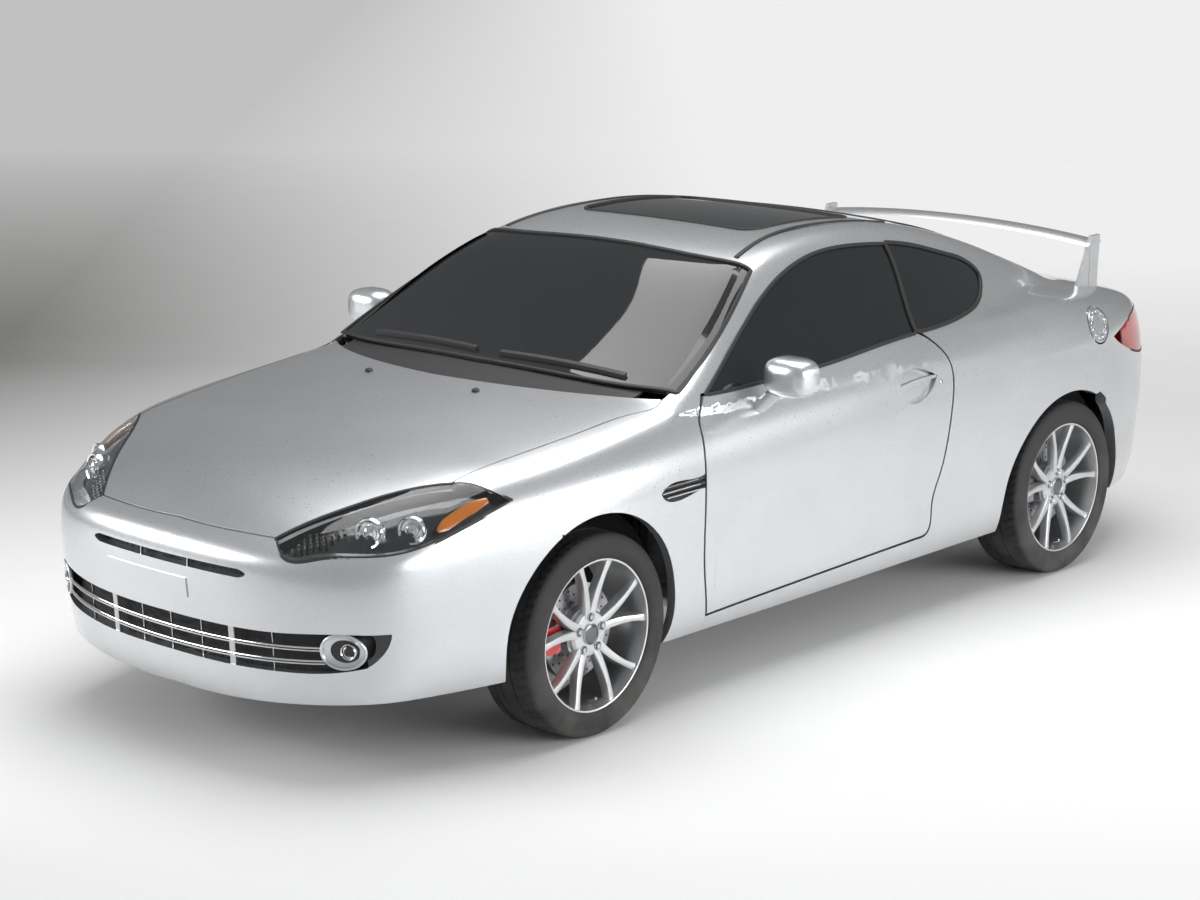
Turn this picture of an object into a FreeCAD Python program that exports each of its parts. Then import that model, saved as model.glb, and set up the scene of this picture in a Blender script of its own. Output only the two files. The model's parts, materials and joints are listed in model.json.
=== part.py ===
import FreeCAD, Part
import math
import os
import re
from types import SimpleNamespace

import Sketcher
from FreeCAD import Placement, Rotation, Vector

# Two-door liftback coupe at its real size, in millimetres.
# +X is the car's left side, -Y its front and +Z up; the origin lies on the ground under the middle
# of the car. All panels share one body form, worked out from a few hand-drawn curves, so that
# neighbours meet along the same seams. Each panel is a wall between the outer form and a parallel
# inner one, trimmed by the outlines of its seams.

# Driving dimensions: lengths in millimetres, angles in degrees.
DIMENSIONS = {
    # Whole body
    "body_length": 4395, "body_width": 1760, "body_height": 1340,
    "wheelbase": 2530, "axle_shift": 2.5, "track": 1490,
    # Rounding of the body form where its faces meet
    "corner_round": 70, "tail_round": 120, "shoulder_round": 50, "nose_edge_round": 30,
    "rail_round": 35, "waist_round": 12,
    # Gaps between panels, and how far a cutting form runs past what it cuts
    "shut_gap": 5, "door_gap": 8.5, "hatch_gap": 9, "seat_gap": 0.3, "running_gap": 0.05,
    "overrun": 60,
    # Walls
    "side_wall": 45, "fender_wall": 30, "bumper_wall": 42, "door_wall": 92, "roof_wall": 28,
    "hood_wall": 26, "hatch_wall": 30, "glass_wall": 5, "glass_depth": 2, "cowl_wall": 6,
    "lamp_wall": 42, "lamp_depth": 1, "grille_wall": 26, "grille_setback": 10, "post_wall": 38,
    "post_depth": 160,
    # Wheels
    "tyre_diameter": 625, "tyre_width": 215, "tread_width": 178, "shoulder_drop": 9,
    "bulge_radius": 262, "rim_diameter": 466, "rim_width": 192, "rim_wall": 7, "rim_well_drop": 22,
    "rim_well_width": 110, "hub_radius": 74, "hub_thickness": 26, "hub_offset": 42,
    "spoke_width": 20, "spoke_depth": 24, "spoke_spread": 42, "spoke_dish": 10,
    "disc_radius": 148, "disc_thickness": 24, "disc_offset": 5, "disc_hat_radius": 84,
    "disc_hat_wall": 8, "spindle_radius": 22, "cap_thickness": 5, "cap_radius": 30,
    # Wheel arches
    "arch_radius": 353, "arch_shift": 14.5, "arch_rise": 25.5,
    "rear_arch_radius": 395, "rear_arch_shift": 14, "rear_arch_drop": 35.5,
    "liner_radius": 370, "liner_wall": 4, "liner_outer_x": 750, "liner_foot": 40,
    "strut_hole_radius": 78,
    # Steering
    "kingpin_low_x": 700, "kingpin_low_height": 190, "kingpin_top_x": 585, "kingpin_top_height": 800,
    "ball_radius": 14, "boss_radius": 22, "boss_height": 40, "upright_half_length": 45,
    "upright_inner_x": 655, "upright_outer_x": 688, "upright_low_height": 225,
    "upright_top_height": 430, "strut_radius": 22, "strut_low_x": 605, "strut_low_height": 362,
    "strut_bracket_half_length": 30, "spring_radius": 56, "spring_wire": 7, "spring_turns": 4,
    "spring_low_height": 670, "spring_top_height": 775, "strut_top_space": 14,
    "caliper_inner_radius": 96, "caliper_outer_radius": 176, "caliper_half_height": 42,
    "caliper_inner_x": 715, "caliper_outer_x": 780, "caliper_slot_gap": 3,
    # Door, hood, hatch and flap hinges
    "pin_radius": 5, "barrel_radius": 9, "barrel_length": 26, "strap_thickness": 12,
    "door_hinge_x": 842, "door_hinge_y": -700, "door_hinge_low": 400, "door_hinge_high": 700,
    "door_pocket_height": 84, "pocket_gap": 6,
    "hood_hinge_x": 682, "hood_hinge_y": -800, "hood_hinge_height": 926, "hood_arm_reach": 70,
    "hatch_hinge_x": 300, "hatch_hinge_y": 726, "hatch_hinge_height": 1278, "hatch_nose_radius": 26,
    "hatch_arm_reach": 50, "hinge_slot_width": 36,
    "flap_radius": 66, "flap_gap": 6, "flap_wall": 4, "flap_pocket_depth": 24, "flap_y": 1453,
    "flap_height": 880, "filler_radius": 28, "filler_height": 10,
    "flap_pin_radius": 2, "flap_barrel_radius": 4, "flap_barrel_length": 24,
    "flap_hinge_inset": 14, "flap_hinge_depth": 5,
    # Floor and engine bay
    "floor_half_width": 620, "floor_height": 200, "floor_wall": 20, "floor_front_y": -880,
    "floor_rear_y": 900, "tunnel_half_width": 130, "tunnel_wall": 15, "tunnel_height": 380,
    "firewall_half_width": 650, "firewall_wall": 18, "firewall_top": 890, "load_floor_half_width": 585,
    "load_floor_height": 450, "load_floor_rear_y": 2005, "wheelhouse_top": 700,
    "wheelhouse_front_y": 900, "wheelhouse_rear_y": 1640,
    "rail_inner_x": 400, "rail_outer_x": 455, "rail_low": 455, "rail_top": 560,
    "wing_panel_top": 800, "wing_panel_front_y": -1790, "wing_panel_wall": 12,
    "tower_half_length": 90, "tower_top": 818, "tower_wall": 18,
    "support_front_y": -2060, "support_bar": 40, "support_top": 650,
    # Sill, hinge post and door post
    "rocker_outer_x": 705, "rocker_low": 205, "rocker_top": 360, "rocker_front_y": -855,
    "rocker_rear_y": 870, "rocker_web_low": 228, "rocker_web_top": 258, "rocker_web_outer_x": 815,
    "post_inner_x": 650, "post_outer_x": 684, "post_rear_y": -682, "post_top": 880,
    # Power unit, cooling and exhaust
    "engine_half_width": 290, "engine_front_y": -1700, "engine_rear_y": -1200,
    "engine_low": 300, "engine_top": 800, "engine_round": 40, "mount_thickness": 60,
    "radiator_front_y": -1990, "radiator_rear_y": -1950, "radiator_half_width": 380,
    "radiator_low": 300,
    "exhaust_radius": 30, "exhaust_height": 165, "exhaust_front_y": -1060, "exhaust_bend_y": 540,
    "muffler_half_width": 430, "muffler_front_y": 1700, "muffler_rear_y": 1940,
    "muffler_low": 150, "muffler_top": 325, "muffler_round": 30, "tailpipe_radius": 31,
    "tailpipe_neck_radius": 25, "tailpipe_tip_length": 160, "tailpipe_wall": 3,
    "tailpipe_x": 400, "tailpipe_pitch": 84, "tailpipe_height": 214,
    "tailpipe_rear_y": 2160, "hanger_size": 30,
    # Front and rear suspension
    "subframe_half_width": 450, "subframe_low": 250, "subframe_wall": 40, "subframe_rail": 80,
    "subframe_front_y": -1480, "subframe_rear_y": -1080, "mount_pad": 50,
    "arm_inner_half_width": 62, "arm_outer_half_width": 20, "arm_thickness": 14,
    "beam_radius": 34, "carrier_inner_x": 590, "carrier_outer_x": 690,
    "carrier_half_length": 45, "carrier_low": 215, "carrier_top": 420, "damper_radius": 32,
    "damper_x": 548, "link_half_width": 18, "link_front_y": 905, "link_low": 255,
    # Cabin
    "dash_half_width": 650, "console_half_width": 112, "console_front_y": -520,
    "console_rear_y": 420, "console_top": 545, "console_round": 20,
    "driver_x": 372, "seat_half_width": 225, "seat_round": 45, "rear_seat_half_width": 540,
    "rear_seat_round": 40, "head_half_width": 120,
    "steering_y": -240, "steering_height": 800, "steering_tilt": 23, "steering_radius": 182,
    "steering_grip": 15, "steering_hub_radius": 62, "steering_hub_depth": 34,
    "steering_spoke_width": 34, "steering_spoke_depth": 14, "column_radius": 32,
    "column_length": 240, "column_pin_radius": 12, "column_pin_length": 60,
    # Mirrors, handles, wipers, lamps, spoiler
    "mirror_x": 925, "mirror_y": -452, "mirror_height": 985, "mirror_half_width": 88,
    "mirror_half_height": 62, "mirror_depth": 92, "mirror_round": 34, "mirror_glass_y": -425,
    "mirror_recess": 6, "mirror_rim": 8,
    "mirror_foot_x": 820, "mirror_foot_y": -500, "mirror_foot_height": 905,
    "mirror_foot_radius": 22,
    "handle_depth": 16, "handle_bar_depth": 8,
    "wiper_width": 14, "wiper_thickness": 10,
    "wing_thickness": 26, "wing_stand_width": 26,
}

# Curves of the body form, as shares: places along the car of its length, heights of its height and
# widths of its half width. Each pair is a place and the value there.
PLAN_SHARES = [
    (-.5233, .75), (-.4551, .8545), (-.4209, .8977), (-.3868, .9386), (-.3413, .9795),
    (-.289, 1), (-.182, .9932), (0, .9886), (.1365, .9909), (.2275, .9989), (.289, 1.0023),
    (.3527, .9864), (.3982, .9455), (.4323, .8943), (.4664, .8182), (.5233, .6591),
]
INSET_SHARES = [
    (.0896, .1477), (.1343, .0852), (.1791, .0432), (.2313, .0227), (.3134, .0136),
    (.4104, .0023), (.4776, 0), (.5522, .0091), (.6119, .0318), (.6716, .0852),
    (.7313, .1705), (.791, .2841),
]
RISE_SHARES = [
    (-.5006, -.0896), (-.4096, -.041), (-.289, -.0149), (-.182, 0), (0, .0261),
    (.1365, .0448), (.289, .0634), (.4096, .0672), (.5006, .0522),
]
HOOD_SHARES = [
    (-.5233, .4701), (-.5006, .5224), (-.4903, .5388), (-.4792, .5582), (-.4437, .606),
    (-.3943, .6433), (-.3299, .6806), (-.2617, .7127), (-.2048, .7351), (-.1365, .7537),
]
HOOD_CROWN_SHARES = [
    (-.5006, .1156), (-.4551, .0751), (-.3936, .026), (-.3413, .0347), (-.2958, .0433),
    (-.2048, .052), (-.1365, .052),
]
NOSE_SHARES = [
    (.1045, -.4778), (.1343, -.4926), (.1642, -.4983), (.2239, -.501), (.3134, -.5028),
    (.4104, -.5063), (.4552, -.5063), (.4925, -.5028), (.5224, -.4937), (.597, -.4733),
]
NOSE_BOW_SHARES = [(.1119, .0581), (.3358, .0511), (.4478, .0537), (.5224, .0581)]
TAIL_SHARES = [
    (.1119, .4682), (.1642, .4841), (.2612, .4978), (.3731, .5046), (.4478, .5062),
    (.5597, .5023), (.6716, .4909), (.7463, .4841),
]
DECK_SHARES = [
    (.273, .7761), (.3413, .75), (.3982, .7313), (.4437, .709), (.4733, .6903), (.5233, .6343),
]
ROOF_SHARES = [
    (-.2275, .694), (-.1934, .7425), (-.1365, .8358), (-.066, .9552), (-.0341, .9836),
    (.0228, 1.0022), (.0796, 1.0015), (.1593, .9739), (.2275, .9239), (.2958, .8545),
    (.3641, .7761), (.3982, .7313), (.4551, .6493),
]
ROOF_CROWN_SHARES = [
    (-.1934, .0578), (-.0683, .0347), (.0455, .0173), (.2275, .0405), (.3641, .0693),
]
CABIN_SHARES = [
    (-.2162, .8182), (-.182, .8693), (-.091, .892), (0, .9), (.091, .892), (.182, .8523),
    (.273, .767), (.3641, .6477), (.4323, .5341),
]
NOSE_SWEEP_SHARES = (.43, 1.138)
TAIL_BOW_SHARE = .0458
DECK_CROWN_SHARE = .0289
WAIST_SHARE = .7388
CABIN_BASE_SHARE = .709
CABIN_LEAN_SHARES = (.56, .335)
RISE_START_SHARES = (.4104, .2239)
HOOD_END_SHARES = (-.1706, .1138)
DECK_START_SHARES = (.2275, .1138)
NOSE_EDGE_SHARES = (-.455, .0683)
CABIN_FOOT_SHARES = (.694, .0224, -.273, .1365)

# Outlines of the seams. Side outlines hold shares of the length and height, plan outlines of the
# length and half width, front and rear outlines of the half width and height, and the headlamp's
# oblique outline of the length and height. Each inner list is one smooth run.
DOOR_SHARES = [
    [(-.1620, .7067), (-.1745, .6403), (-.1802, .5522), (-.1825, .4276), (-.1784, .2881),
     (-.1729, .2000)],
    [(-.1729, .2000), (-.0865, .2082), (0, .2164), (.0819, .2231)],
    [(.0819, .2231), (.0951, .2373), (.0965, .3045), (.1035, .3754), (.1104, .4493),
     (.1176, .5485), (.1215, .6216), (.1210, .6560), (.1154, .6940), (.0978, .7343)],
    [(.0978, .7343), (.0339, .7261), (-.0191, .7149), (-.1056, .7075), (-.1620, .7067)],
]
WINDOW_SHARES = [
    [(-.1602, .7060), (-.1311, .7612), (-.0885, .8336), (-.0473, .8940), (-.0141, .9284),
     (.0191, .9478), (.0610, .9515), (.1163, .9366), (.1534, .9142), (.1904, .8806),
     (.2164, .8500), (.2255, .8179), (.2198, .7925), (.1982, .7567), (.1691, .7425),
     (.1224, .7343), (.0978, .7343)],
    [(.0978, .7343), (.0339, .7261), (-.0191, .7149), (-.1056, .7075), (-.1602, .7060)],
]
DOOR_GLASS_SHARES = [
    [(-.1602, .7060), (-.1311, .7612), (-.0885, .8336), (-.0473, .8940), (-.0141, .9284),
     (.0191, .9478), (.0610, .9515), (.1120, .9386)],
    [(.1120, .9386), (.1056, .8463), (.0992, .7836), (.0975, .7100)],
    [(.0975, .7100), (-.1602, .6900)], [(-.1602, .6900), (-.1602, .7060)],
]
B_POST_SHARES = [
    [(.104, .715), (.110, .85), (.116, .97)], [(.116, .97), (.140, .97)],
    [(.140, .97), (.137, .85), (.135, .715)], [(.135, .715), (.104, .715)],
]
LAMP_SHARES = [
    [(-.2806, .5201), (-.2589, .5522), (-.2334, .5799), (-.2080, .6030), (-.1887, .6149),
     (-.1670, .6224), (-.1543, .6209), (-.1440, .6097), (-.1273, .5821)],
    [(-.1273, .5821), (-.1445, .5604), (-.1599, .5418), (-.1829, .5157), (-.2006, .5037),
     (-.2256, .4985), (-.2521, .4925), (-.2750, .4881), (-.2806, .5201)],
]
HOOD_OUTLINE_SHARES = [
    [(-.4899, 0), (-.4887, .2409), (-.4828, .4295)],
    [(-.4828, .4295), (-.4655, .4966), (-.4446, .5716), (-.4228, .642), (-.4071, .70),
     (-.3911, .7739)],
    [(-.3911, .7739), (-.3447, .7841), (-.3308, .7886), (-.2712, .8068), (-.2209, .817),
     (-.1959, .8261), (-.1893, .8125)],
    [(-.1893, .8125), (-.2218, .5568), (-.2378, .3386), (-.2476, 0)],
]
WINDSHIELD_SHARES = [
    [(-.2059, 0), (-.2014, .3409), (-.1952, .5568), (-.1786, .8352)],
    [(-.1786, .8352), (-.1349, .7989), (-.0947, .7386), (-.0532, .6580)],
    [(-.0532, .6580), (-.0557, .5909), (-.0585, .3739), (-.0571, .1443), (-.0569, 0)],
]
ROOF_OUTLINE_SHARES = [
    [(-.0569, 0), (-.0571, .1443), (-.0585, .3739), (-.0557, .5909)],
    [(-.0557, .5909), (-.0198, .5443), (.0146, .5170), (.0735, .5114), (.1172, .5205),
     (.1679, .5398)],
    [(.1679, .5398), (.1679, 0)],
]
HATCH_OUTLINE_SHARES = [
    [(.1700, 0), (.1700, .5398)],
    [(.1700, .5398), (.2275, .5330), (.2958, .5114), (.3641, .5), (.3982, .5409),
     (.4323, .6136), (.4551, .6591)],
    [(.4551, .6591), (.56, .6591)], [(.56, .6591), (.56, 0)],
]
REAR_GLASS_SHARES = [
    [(.1815, 0), (.1830, .4659)],
    [(.1830, .4659), (.2275, .4602), (.2958, .4386), (.3641, .4091)],
    [(.3641, .4091), (.3780, .2500), (.3820, 0)],
]
SUNROOF_SHARES = [
    [(.0023, 0), (.0023, .3500)], [(.0023, .3500), (.0070, .4130), (.0160, .4330)],
    [(.0160, .4330), (.1180, .4330)], [(.1180, .4330), (.1270, .4130), (.1320, .3500)],
    [(.1320, .3500), (.1320, 0)],
]
BUMPER_SEAM_SHARES = [
    [(-.60, .5821), (-.3631, .5821)],
    [(-.3631, .5821), (-.3559, .5522), (-.3449, .5194), (-.3311, .4955), (-.3180, .4776)],
    [(-.3180, .4776), (-.3180, 0)], [(-.3180, 0), (-.60, 0)], [(-.60, 0), (-.60, .5821)],
]
REAR_BUMPER_SEAM_SHARES = [
    [(.3140, .4716), (.3240, .4754), (.3443, .4896), (.3955, .5082), (.4437, .5160),
     (.56, .5194)],
    [(.56, .5194), (.56, 0)], [(.56, 0), (.3140, 0)], [(.3140, 0), (.3140, .4716)],
]
TAIL_LAMP_SHARES = [
    [(.690, .5340), (.690, .6420)], [(.690, .6420), (.790, .6600), (.900, .6480), (.960, .6150)],
    [(.960, .6150), (.940, .5680), (.900, .5420), (.840, .5340)],
    [(.840, .5340), (.690, .5340)],
]
GRILLE_SHARES = [
    [(0, .3194), (.2727, .3201), (.5114, .3269), (.6364, .3336), (.76, .3350)],
    [(.76, .3350), (.8068, .3351)], [(.8068, .3351), (.7898, .2940), (.75, .2612)],
    [(.75, .2612), (.6591, .2478), (.5, .2388), (.25, .2328), (0, .2328)],
]
SLOT_SHARES = [
    [(0, .4530), (.345, .4530)], [(.345, .4530), (.375, .4440), (.345, .4343)],
    [(.345, .4343), (0, .4343)],
]
FOG_SHARES = [
    [(.676, .3321), (.722, .3201), (.727, .2960)], [(.727, .2960), (.715, .2720), (.676, .2597)],
    [(.676, .2597), (.637, .2720), (.625, .2960)], [(.625, .2960), (.632, .3201), (.676, .3321)],
]
VENT_SHARES = [
    [(-.1760, .5507), (-.2093, .5425), (-.2246, .5358), (-.2303, .5239)],
    [(-.2303, .5239), (-.2268, .5090), (-.2159, .4993), (-.1980, .5045), (-.1760, .5097)],
    [(-.1760, .5097), (-.1760, .5507)],
]
HANDLE_SHARES = [
    [(.0528, .6149), (.0623, .6545), (.0801, .6575), (.1015, .6313)],
    [(.1015, .6313), (.0881, .5918), (.0639, .5784), (.0528, .6149)],
]
HANDLE_BAR_SHARES = [
    [(.0535, .6140), (.0760, .6220), (.1010, .6270)], [(.1010, .6270), (.1010, .6340)],
    [(.1010, .6340), (.0760, .6310), (.0535, .6240)], [(.0535, .6240), (.0535, .6140)],
]
SILL_BOTTOM_SHARES = [
    [(-.30, .1627), (-.2025, .1612), (-.1024, .1575), (.0091, .1604), (.1479, .1657),
     (.32, .1700)],
    [(.32, .1700), (.32, 0)], [(.32, 0), (-.30, 0)], [(-.30, 0), (-.30, .1627)],
]
CHIN_SHARES = [
    [(0, .1560), (.4545, .1642), (.6818, .1754), (1.1, .1760)], [(1.1, .1760), (1.1, 0)],
    [(1.1, 0), (0, 0)],
]
REAR_CHIN_SHARES = [
    [(0, .1940), (.50, .1900), (.80, .1800), (1.1, .1720)], [(1.1, .1720), (1.1, 0)],
    [(1.1, 0), (0, 0)],
]
A_FOOT_SHARES = [[(-.1786, .645), (-.1757, .645)], [(-.1757, .645), (-.1757, .712)],
                 [(-.1757, .712), (-.1786, .712)], [(-.1786, .712), (-.1786, .645)]]
B_FOOT_SHARES = [[(.1258, .170), (.1380, .170)], [(.1380, .170), (.1380, .690)],
                 [(.1380, .690), (.1258, .690)], [(.1258, .690), (.1258, .170)]]
DASH_SHARES = [
    [(-.1900, .6200), (-.1500, .6650), (-.1150, .6600), (-.0900, .6350)],
    [(-.0900, .6350), (-.0870, .6000), (-.1000, .5200), (-.1150, .4000)],
    [(-.1150, .4000), (-.1900, .4000)], [(-.1900, .4000), (-.1900, .6200)],
]
CUSHION_SHARES = [
    [(-.040, .200), (-.048, .290), (-.040, .330)], [(-.040, .330), (.020, .318), (.072, .292)],
    [(.072, .292), (.072, .200)], [(.072, .200), (-.040, .200)],
]
BACKREST_SHARES = [
    [(.0723, .225), (.0723, .300), (.092, .420), (.112, .560), (.122, .640)],
    [(.122, .640), (.134, .650), (.146, .630)],
    [(.146, .630), (.136, .520), (.118, .380), (.108, .225)], [(.108, .225), (.0723, .225)],
]
HEADREST_SHARES = [
    [(.1210, .6560), (.1230, .7050), (.1300, .7250), (.1400, .7180)],
    [(.1400, .7180), (.1440, .6900), (.1440, .6560)], [(.1440, .6560), (.1210, .6560)],
]
REAR_CUSHION_SHARES = [
    [(.155, .140), (.152, .290), (.162, .370)], [(.162, .370), (.210, .365)],
    [(.210, .365), (.210, .140)], [(.210, .140), (.155, .140)],
]
REAR_BACK_SHARES = [
    [(.2005, .3500), (.2005, .400), (.222, .520), (.238, .600), (.246, .630)],
    [(.246, .630), (.256, .632), (.262, .610)], [(.262, .610), (.248, .480), (.234, .3500)],
    [(.234, .3500), (.2005, .3500)],
]
MIRROR_FOOT_SHARES = (.35, .2)
WIPER_SHARES = [
    [(-.1935, .06), (-.1850, .62)], [(-.1850, .62), (-.1818, .62)],
    [(-.1818, .62), (-.1903, .06)], [(-.1903, .06), (-.1935, .06)],
]
WING_SHARES = [(-.70, .8300), (-.35, .8500), (0, .8560), (.35, .8500), (.70, .8300)]
WING_SECTION_SHARES = [
    [(.3920, -.004), (.3975, .006), (.4060, .010), (.4130, .006)],
    [(.4130, .006), (.4070, -.004), (.3990, -.007), (.3920, -.004)],
]


def start_sheet():
    """Write the dimensions into the spreadsheet that every sub-part reads."""
    table = document.addObject("Spreadsheet::Sheet", "sizes")
    for row, (alias, value) in enumerate(DIMENSIONS.items(), start=1):
        table.set(f"A{row}", str(value))
        table.setAlias(f"A{row}", alias)
    document.recompute()
    return table


document = FreeCAD.newDocument("coupe")
sheet = start_sheet()
size = SimpleNamespace(**{alias: float(sheet.get(alias)) for alias in DIMENSIONS})

length = size.body_length
half_width = size.body_width / 2
height = size.body_height
front_axle_y = -size.wheelbase / 2 - size.axle_shift
rear_axle_y = size.wheelbase / 2 - size.axle_shift
axle_height = size.tyre_diameter / 2
wheel_x = size.track / 2
far = length + size.overrun


class Curve:
    """Smooth curve through given points, straight beyond its two ends."""

    def __init__(self, points):
        self.places = [point[0] for point in points]
        self.values = [point[1] for point in points]
        self.bends = self._bends()

    def _bends(self):
        """Second derivatives of the natural spline through the points."""
        x = self.places
        y = self.values
        count = len(x)
        bends = [0.0] * count
        slack = [0.0] * count
        for i in range(1, count - 1):
            before = x[i] - x[i - 1]
            after = x[i + 1] - x[i]
            share = before / (before + after)
            pivot = share * bends[i - 1] + 2
            bends[i] = (share - 1) / pivot
            change = (y[i + 1] - y[i]) / after - (y[i] - y[i - 1]) / before
            slack[i] = (6 * change / (before + after) - share * slack[i - 1]) / pivot
        for i in range(count - 2, 0, -1):
            bends[i] = bends[i] * bends[i + 1] + slack[i]
        bends[0] = 0.0
        return bends

    def __call__(self, place):
        x = self.places
        y = self.values
        last = len(x) - 1
        if place <= x[0] or place >= x[last]:
            inner, outer = (1, 0) if place <= x[0] else (last - 1, last)
            step = x[outer] - x[inner]
            slope = (y[outer] - y[inner]) / step + step * self.bends[inner] / 6
            return y[outer] + slope * (place - x[outer])
        i = 0
        while x[i + 1] < place:
            i += 1
        step = x[i + 1] - x[i]
        a = (x[i + 1] - place) / step
        b = 1 - a
        bend = (a ** 3 - a) * self.bends[i] + (b ** 3 - b) * self.bends[i + 1]
        return a * y[i] + b * y[i + 1] + bend * step ** 2 / 6


plan_curve = Curve(PLAN_SHARES)
inset_curve = Curve(INSET_SHARES)
rise_curve = Curve(RISE_SHARES)
hood_curve = Curve(HOOD_SHARES)
hood_crown_curve = Curve(HOOD_CROWN_SHARES)
nose_curve = Curve(NOSE_SHARES)
nose_bow_curve = Curve(NOSE_BOW_SHARES)
tail_curve = Curve(TAIL_SHARES)
deck_curve = Curve(DECK_SHARES)
roof_curve = Curve(ROOF_SHARES)
roof_crown_curve = Curve(ROOF_CROWN_SHARES)
cabin_curve = Curve(CABIN_SHARES)


def smooth_max(a, b, rounding):
    """Larger of two fields, rounded where they meet."""
    return (a + b + math.sqrt((a - b) ** 2 + rounding ** 2)) / 2


def fade(value, start, span):
    """Smooth step from 0 at start to 1 a span later."""
    share = min(max((value - start) / span, 0), 1)
    return share * share * (3 - 2 * share)


def top_height(across, along):
    """Height of the hood, waist and tail deck, from shares of the half width and length."""
    hood = hood_curve(along) - hood_crown_curve(along) * across ** 2
    deck = deck_curve(along) - DECK_CROWN_SHARE * across ** 2
    past_hood = fade(along, *HOOD_END_SHARES)
    past_waist = fade(along, *DECK_START_SHARES)
    front = hood + (WAIST_SHARE - hood) * past_hood
    return height * (front + (deck - front) * past_waist)


def lower_body(x, y, z):
    """Field of the body below the windows, negative inside, about a distance near its surface."""
    across = x / half_width
    along = y / length
    up = z / height
    rise = rise_curve(along) * fade(up, *RISE_START_SHARES)
    side = abs(x) - half_width * (plan_curve(along) - inset_curve(up - rise))
    square, fourth = NOSE_SWEEP_SHARES
    sweep = nose_bow_curve(up) * (square * across ** 2 + fourth * across ** 4)
    nose = length * (nose_curve(up) + sweep) - y
    tail = y - length * (tail_curve(up) - TAIL_BOW_SHARE * across ** 2)
    walls = smooth_max(side, nose * .8, size.corner_round)
    walls = smooth_max(walls, tail * .8, size.tail_round)
    ahead = 1 - fade(along, *NOSE_EDGE_SHARES)
    edge = size.shoulder_round + (size.nose_edge_round - size.shoulder_round) * ahead
    return smooth_max(walls, z - top_height(across, along), edge)


def greenhouse(x, y, z):
    """Field of the cabin above the waist."""
    across = x / half_width
    along = y / length
    lift = z / height - CABIN_BASE_SHARE
    lean, bow = CABIN_LEAN_SHARES
    side = abs(x) - half_width * cabin_curve(along) + height * lift * (lean + bow * lift)
    roof = z - height * (roof_curve(along) - roof_crown_curve(along) * across ** 2)
    shell = smooth_max(side * .87, roof * .85, size.rail_round)
    foot, drop, start, span = CABIN_FOOT_SHARES
    base = foot - drop * min(max((along - start) / span, 0), 1)
    return max(shell, height * base - z)


def body_field(x, y, z):
    """Field of the whole body, blended at the waist."""
    lower = lower_body(x, y, z)
    upper = greenhouse(x, y, z)
    return -smooth_max(-lower, -upper, size.waist_round)


def surface_point(origin, heading, depth):
    """Point at a depth under the body surface, along a ray from inside."""
    def field(reach):
        return body_field(origin.x + heading.x * reach, origin.y + heading.y * reach,
                          origin.z + heading.z * reach)
    near = 0.0
    beyond = far / 2
    low = field(near)
    high = field(beyond)
    for _ in range(60):
        reach = (near * high - beyond * low) / (high - low)
        value = field(reach)
        if abs(value) < height * 1e-7:
            break
        if value < 0:
            if near > 0:
                high /= 2
            near = reach
            low = value
        else:
            if beyond < far / 2:
                low /= 2
            beyond = reach
            high = value
    probe = height * 1e-3
    slope = (field(reach) - field(reach - probe)) / probe
    return origin + heading * (reach - depth / max(slope, .4))


def spaced(first, last, count):
    """Evenly spaced values, both ends included."""
    return [first + (last - first) * i / (count - 1) for i in range(count)]


def skin(rays, outer_depth, inner_depth):
    """Solid wall between two depths under the body surface, over a grid of rays."""
    shells = []
    for depth in (outer_depth, inner_depth):
        grid = [[surface_point(origin, heading, depth) for origin, heading in row] for row in rays]
        surface = Part.BSplineSurface()
        surface.interpolate(grid)
        shells.append(surface.toShape())
    sides = [Part.makeRuledSurface(a, b) for a, b in zip(shells[0].Edges, shells[1].Edges)]
    shell = Part.makeShell(shells + sides)
    shell.sewShape()
    solid = Part.makeSolid(shell)
    if solid.Volume < 0:
        solid.reverse()
    return solid


def side_rays(front, rear, low_angle, high_angle, stations=12, levels=18):
    """Rays out to the left from the middle plane, fanned from a fixed height."""
    start = height * .4478
    rows = []
    for y in spaced(front, rear, stations):
        row = []
        for angle in spaced(low_angle, high_angle, levels):
            turn = math.radians(angle)
            row.append((Vector(0, y, start), Vector(math.cos(turn), 0, math.sin(turn))))
        rows.append(row)
    return rows


def capsule_rays(front, rear, swing, low_angle, high_angle, levels=28):
    """Side rays that swing round the tail past a point of the middle plane."""
    rows = side_rays(front, rear, low_angle, high_angle, 14, levels)
    start = height * .4478
    for turn in spaced(swing / 12, swing, 12):
        heading = math.radians(turn)
        row = []
        for angle in spaced(low_angle, high_angle, levels):
            tilt = math.radians(angle)
            out = Vector(math.cos(heading), math.sin(heading), 0) * math.cos(tilt)
            row.append((Vector(0, rear, start), out + Vector(0, 0, math.sin(tilt))))
        rows.append(row)
    return rows


def end_rays(end, swing, low, high, levels=12, turns=25):
    """Level rays that fan round the nose (end -1) or the tail (end 1) at several heights."""
    rows = []
    for turn in spaced(-swing, swing, turns):
        heading = math.radians(turn)
        row = []
        for z in spaced(low, high, levels):
            row.append((Vector(0, end * length * .3185, z),
                        Vector(math.sin(heading), end * math.cos(heading), 0)))
        rows.append(row)
    return rows


def corner_rays(end, first, last, low_angle, high_angle):
    """Rays that fan out in two directions towards a front or rear corner."""
    rows = []
    centre = Vector(0, end * length * .3185, height * .3358)
    for turn in spaced(first, last, 14):
        heading = math.radians(turn)
        row = []
        for angle in spaced(low_angle, high_angle, 10):
            tilt = math.radians(angle)
            out = Vector(math.sin(heading), end * math.cos(heading), 0) * math.cos(tilt)
            row.append((centre, out + Vector(0, 0, math.sin(tilt))))
        rows.append(row)
    return rows


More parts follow.
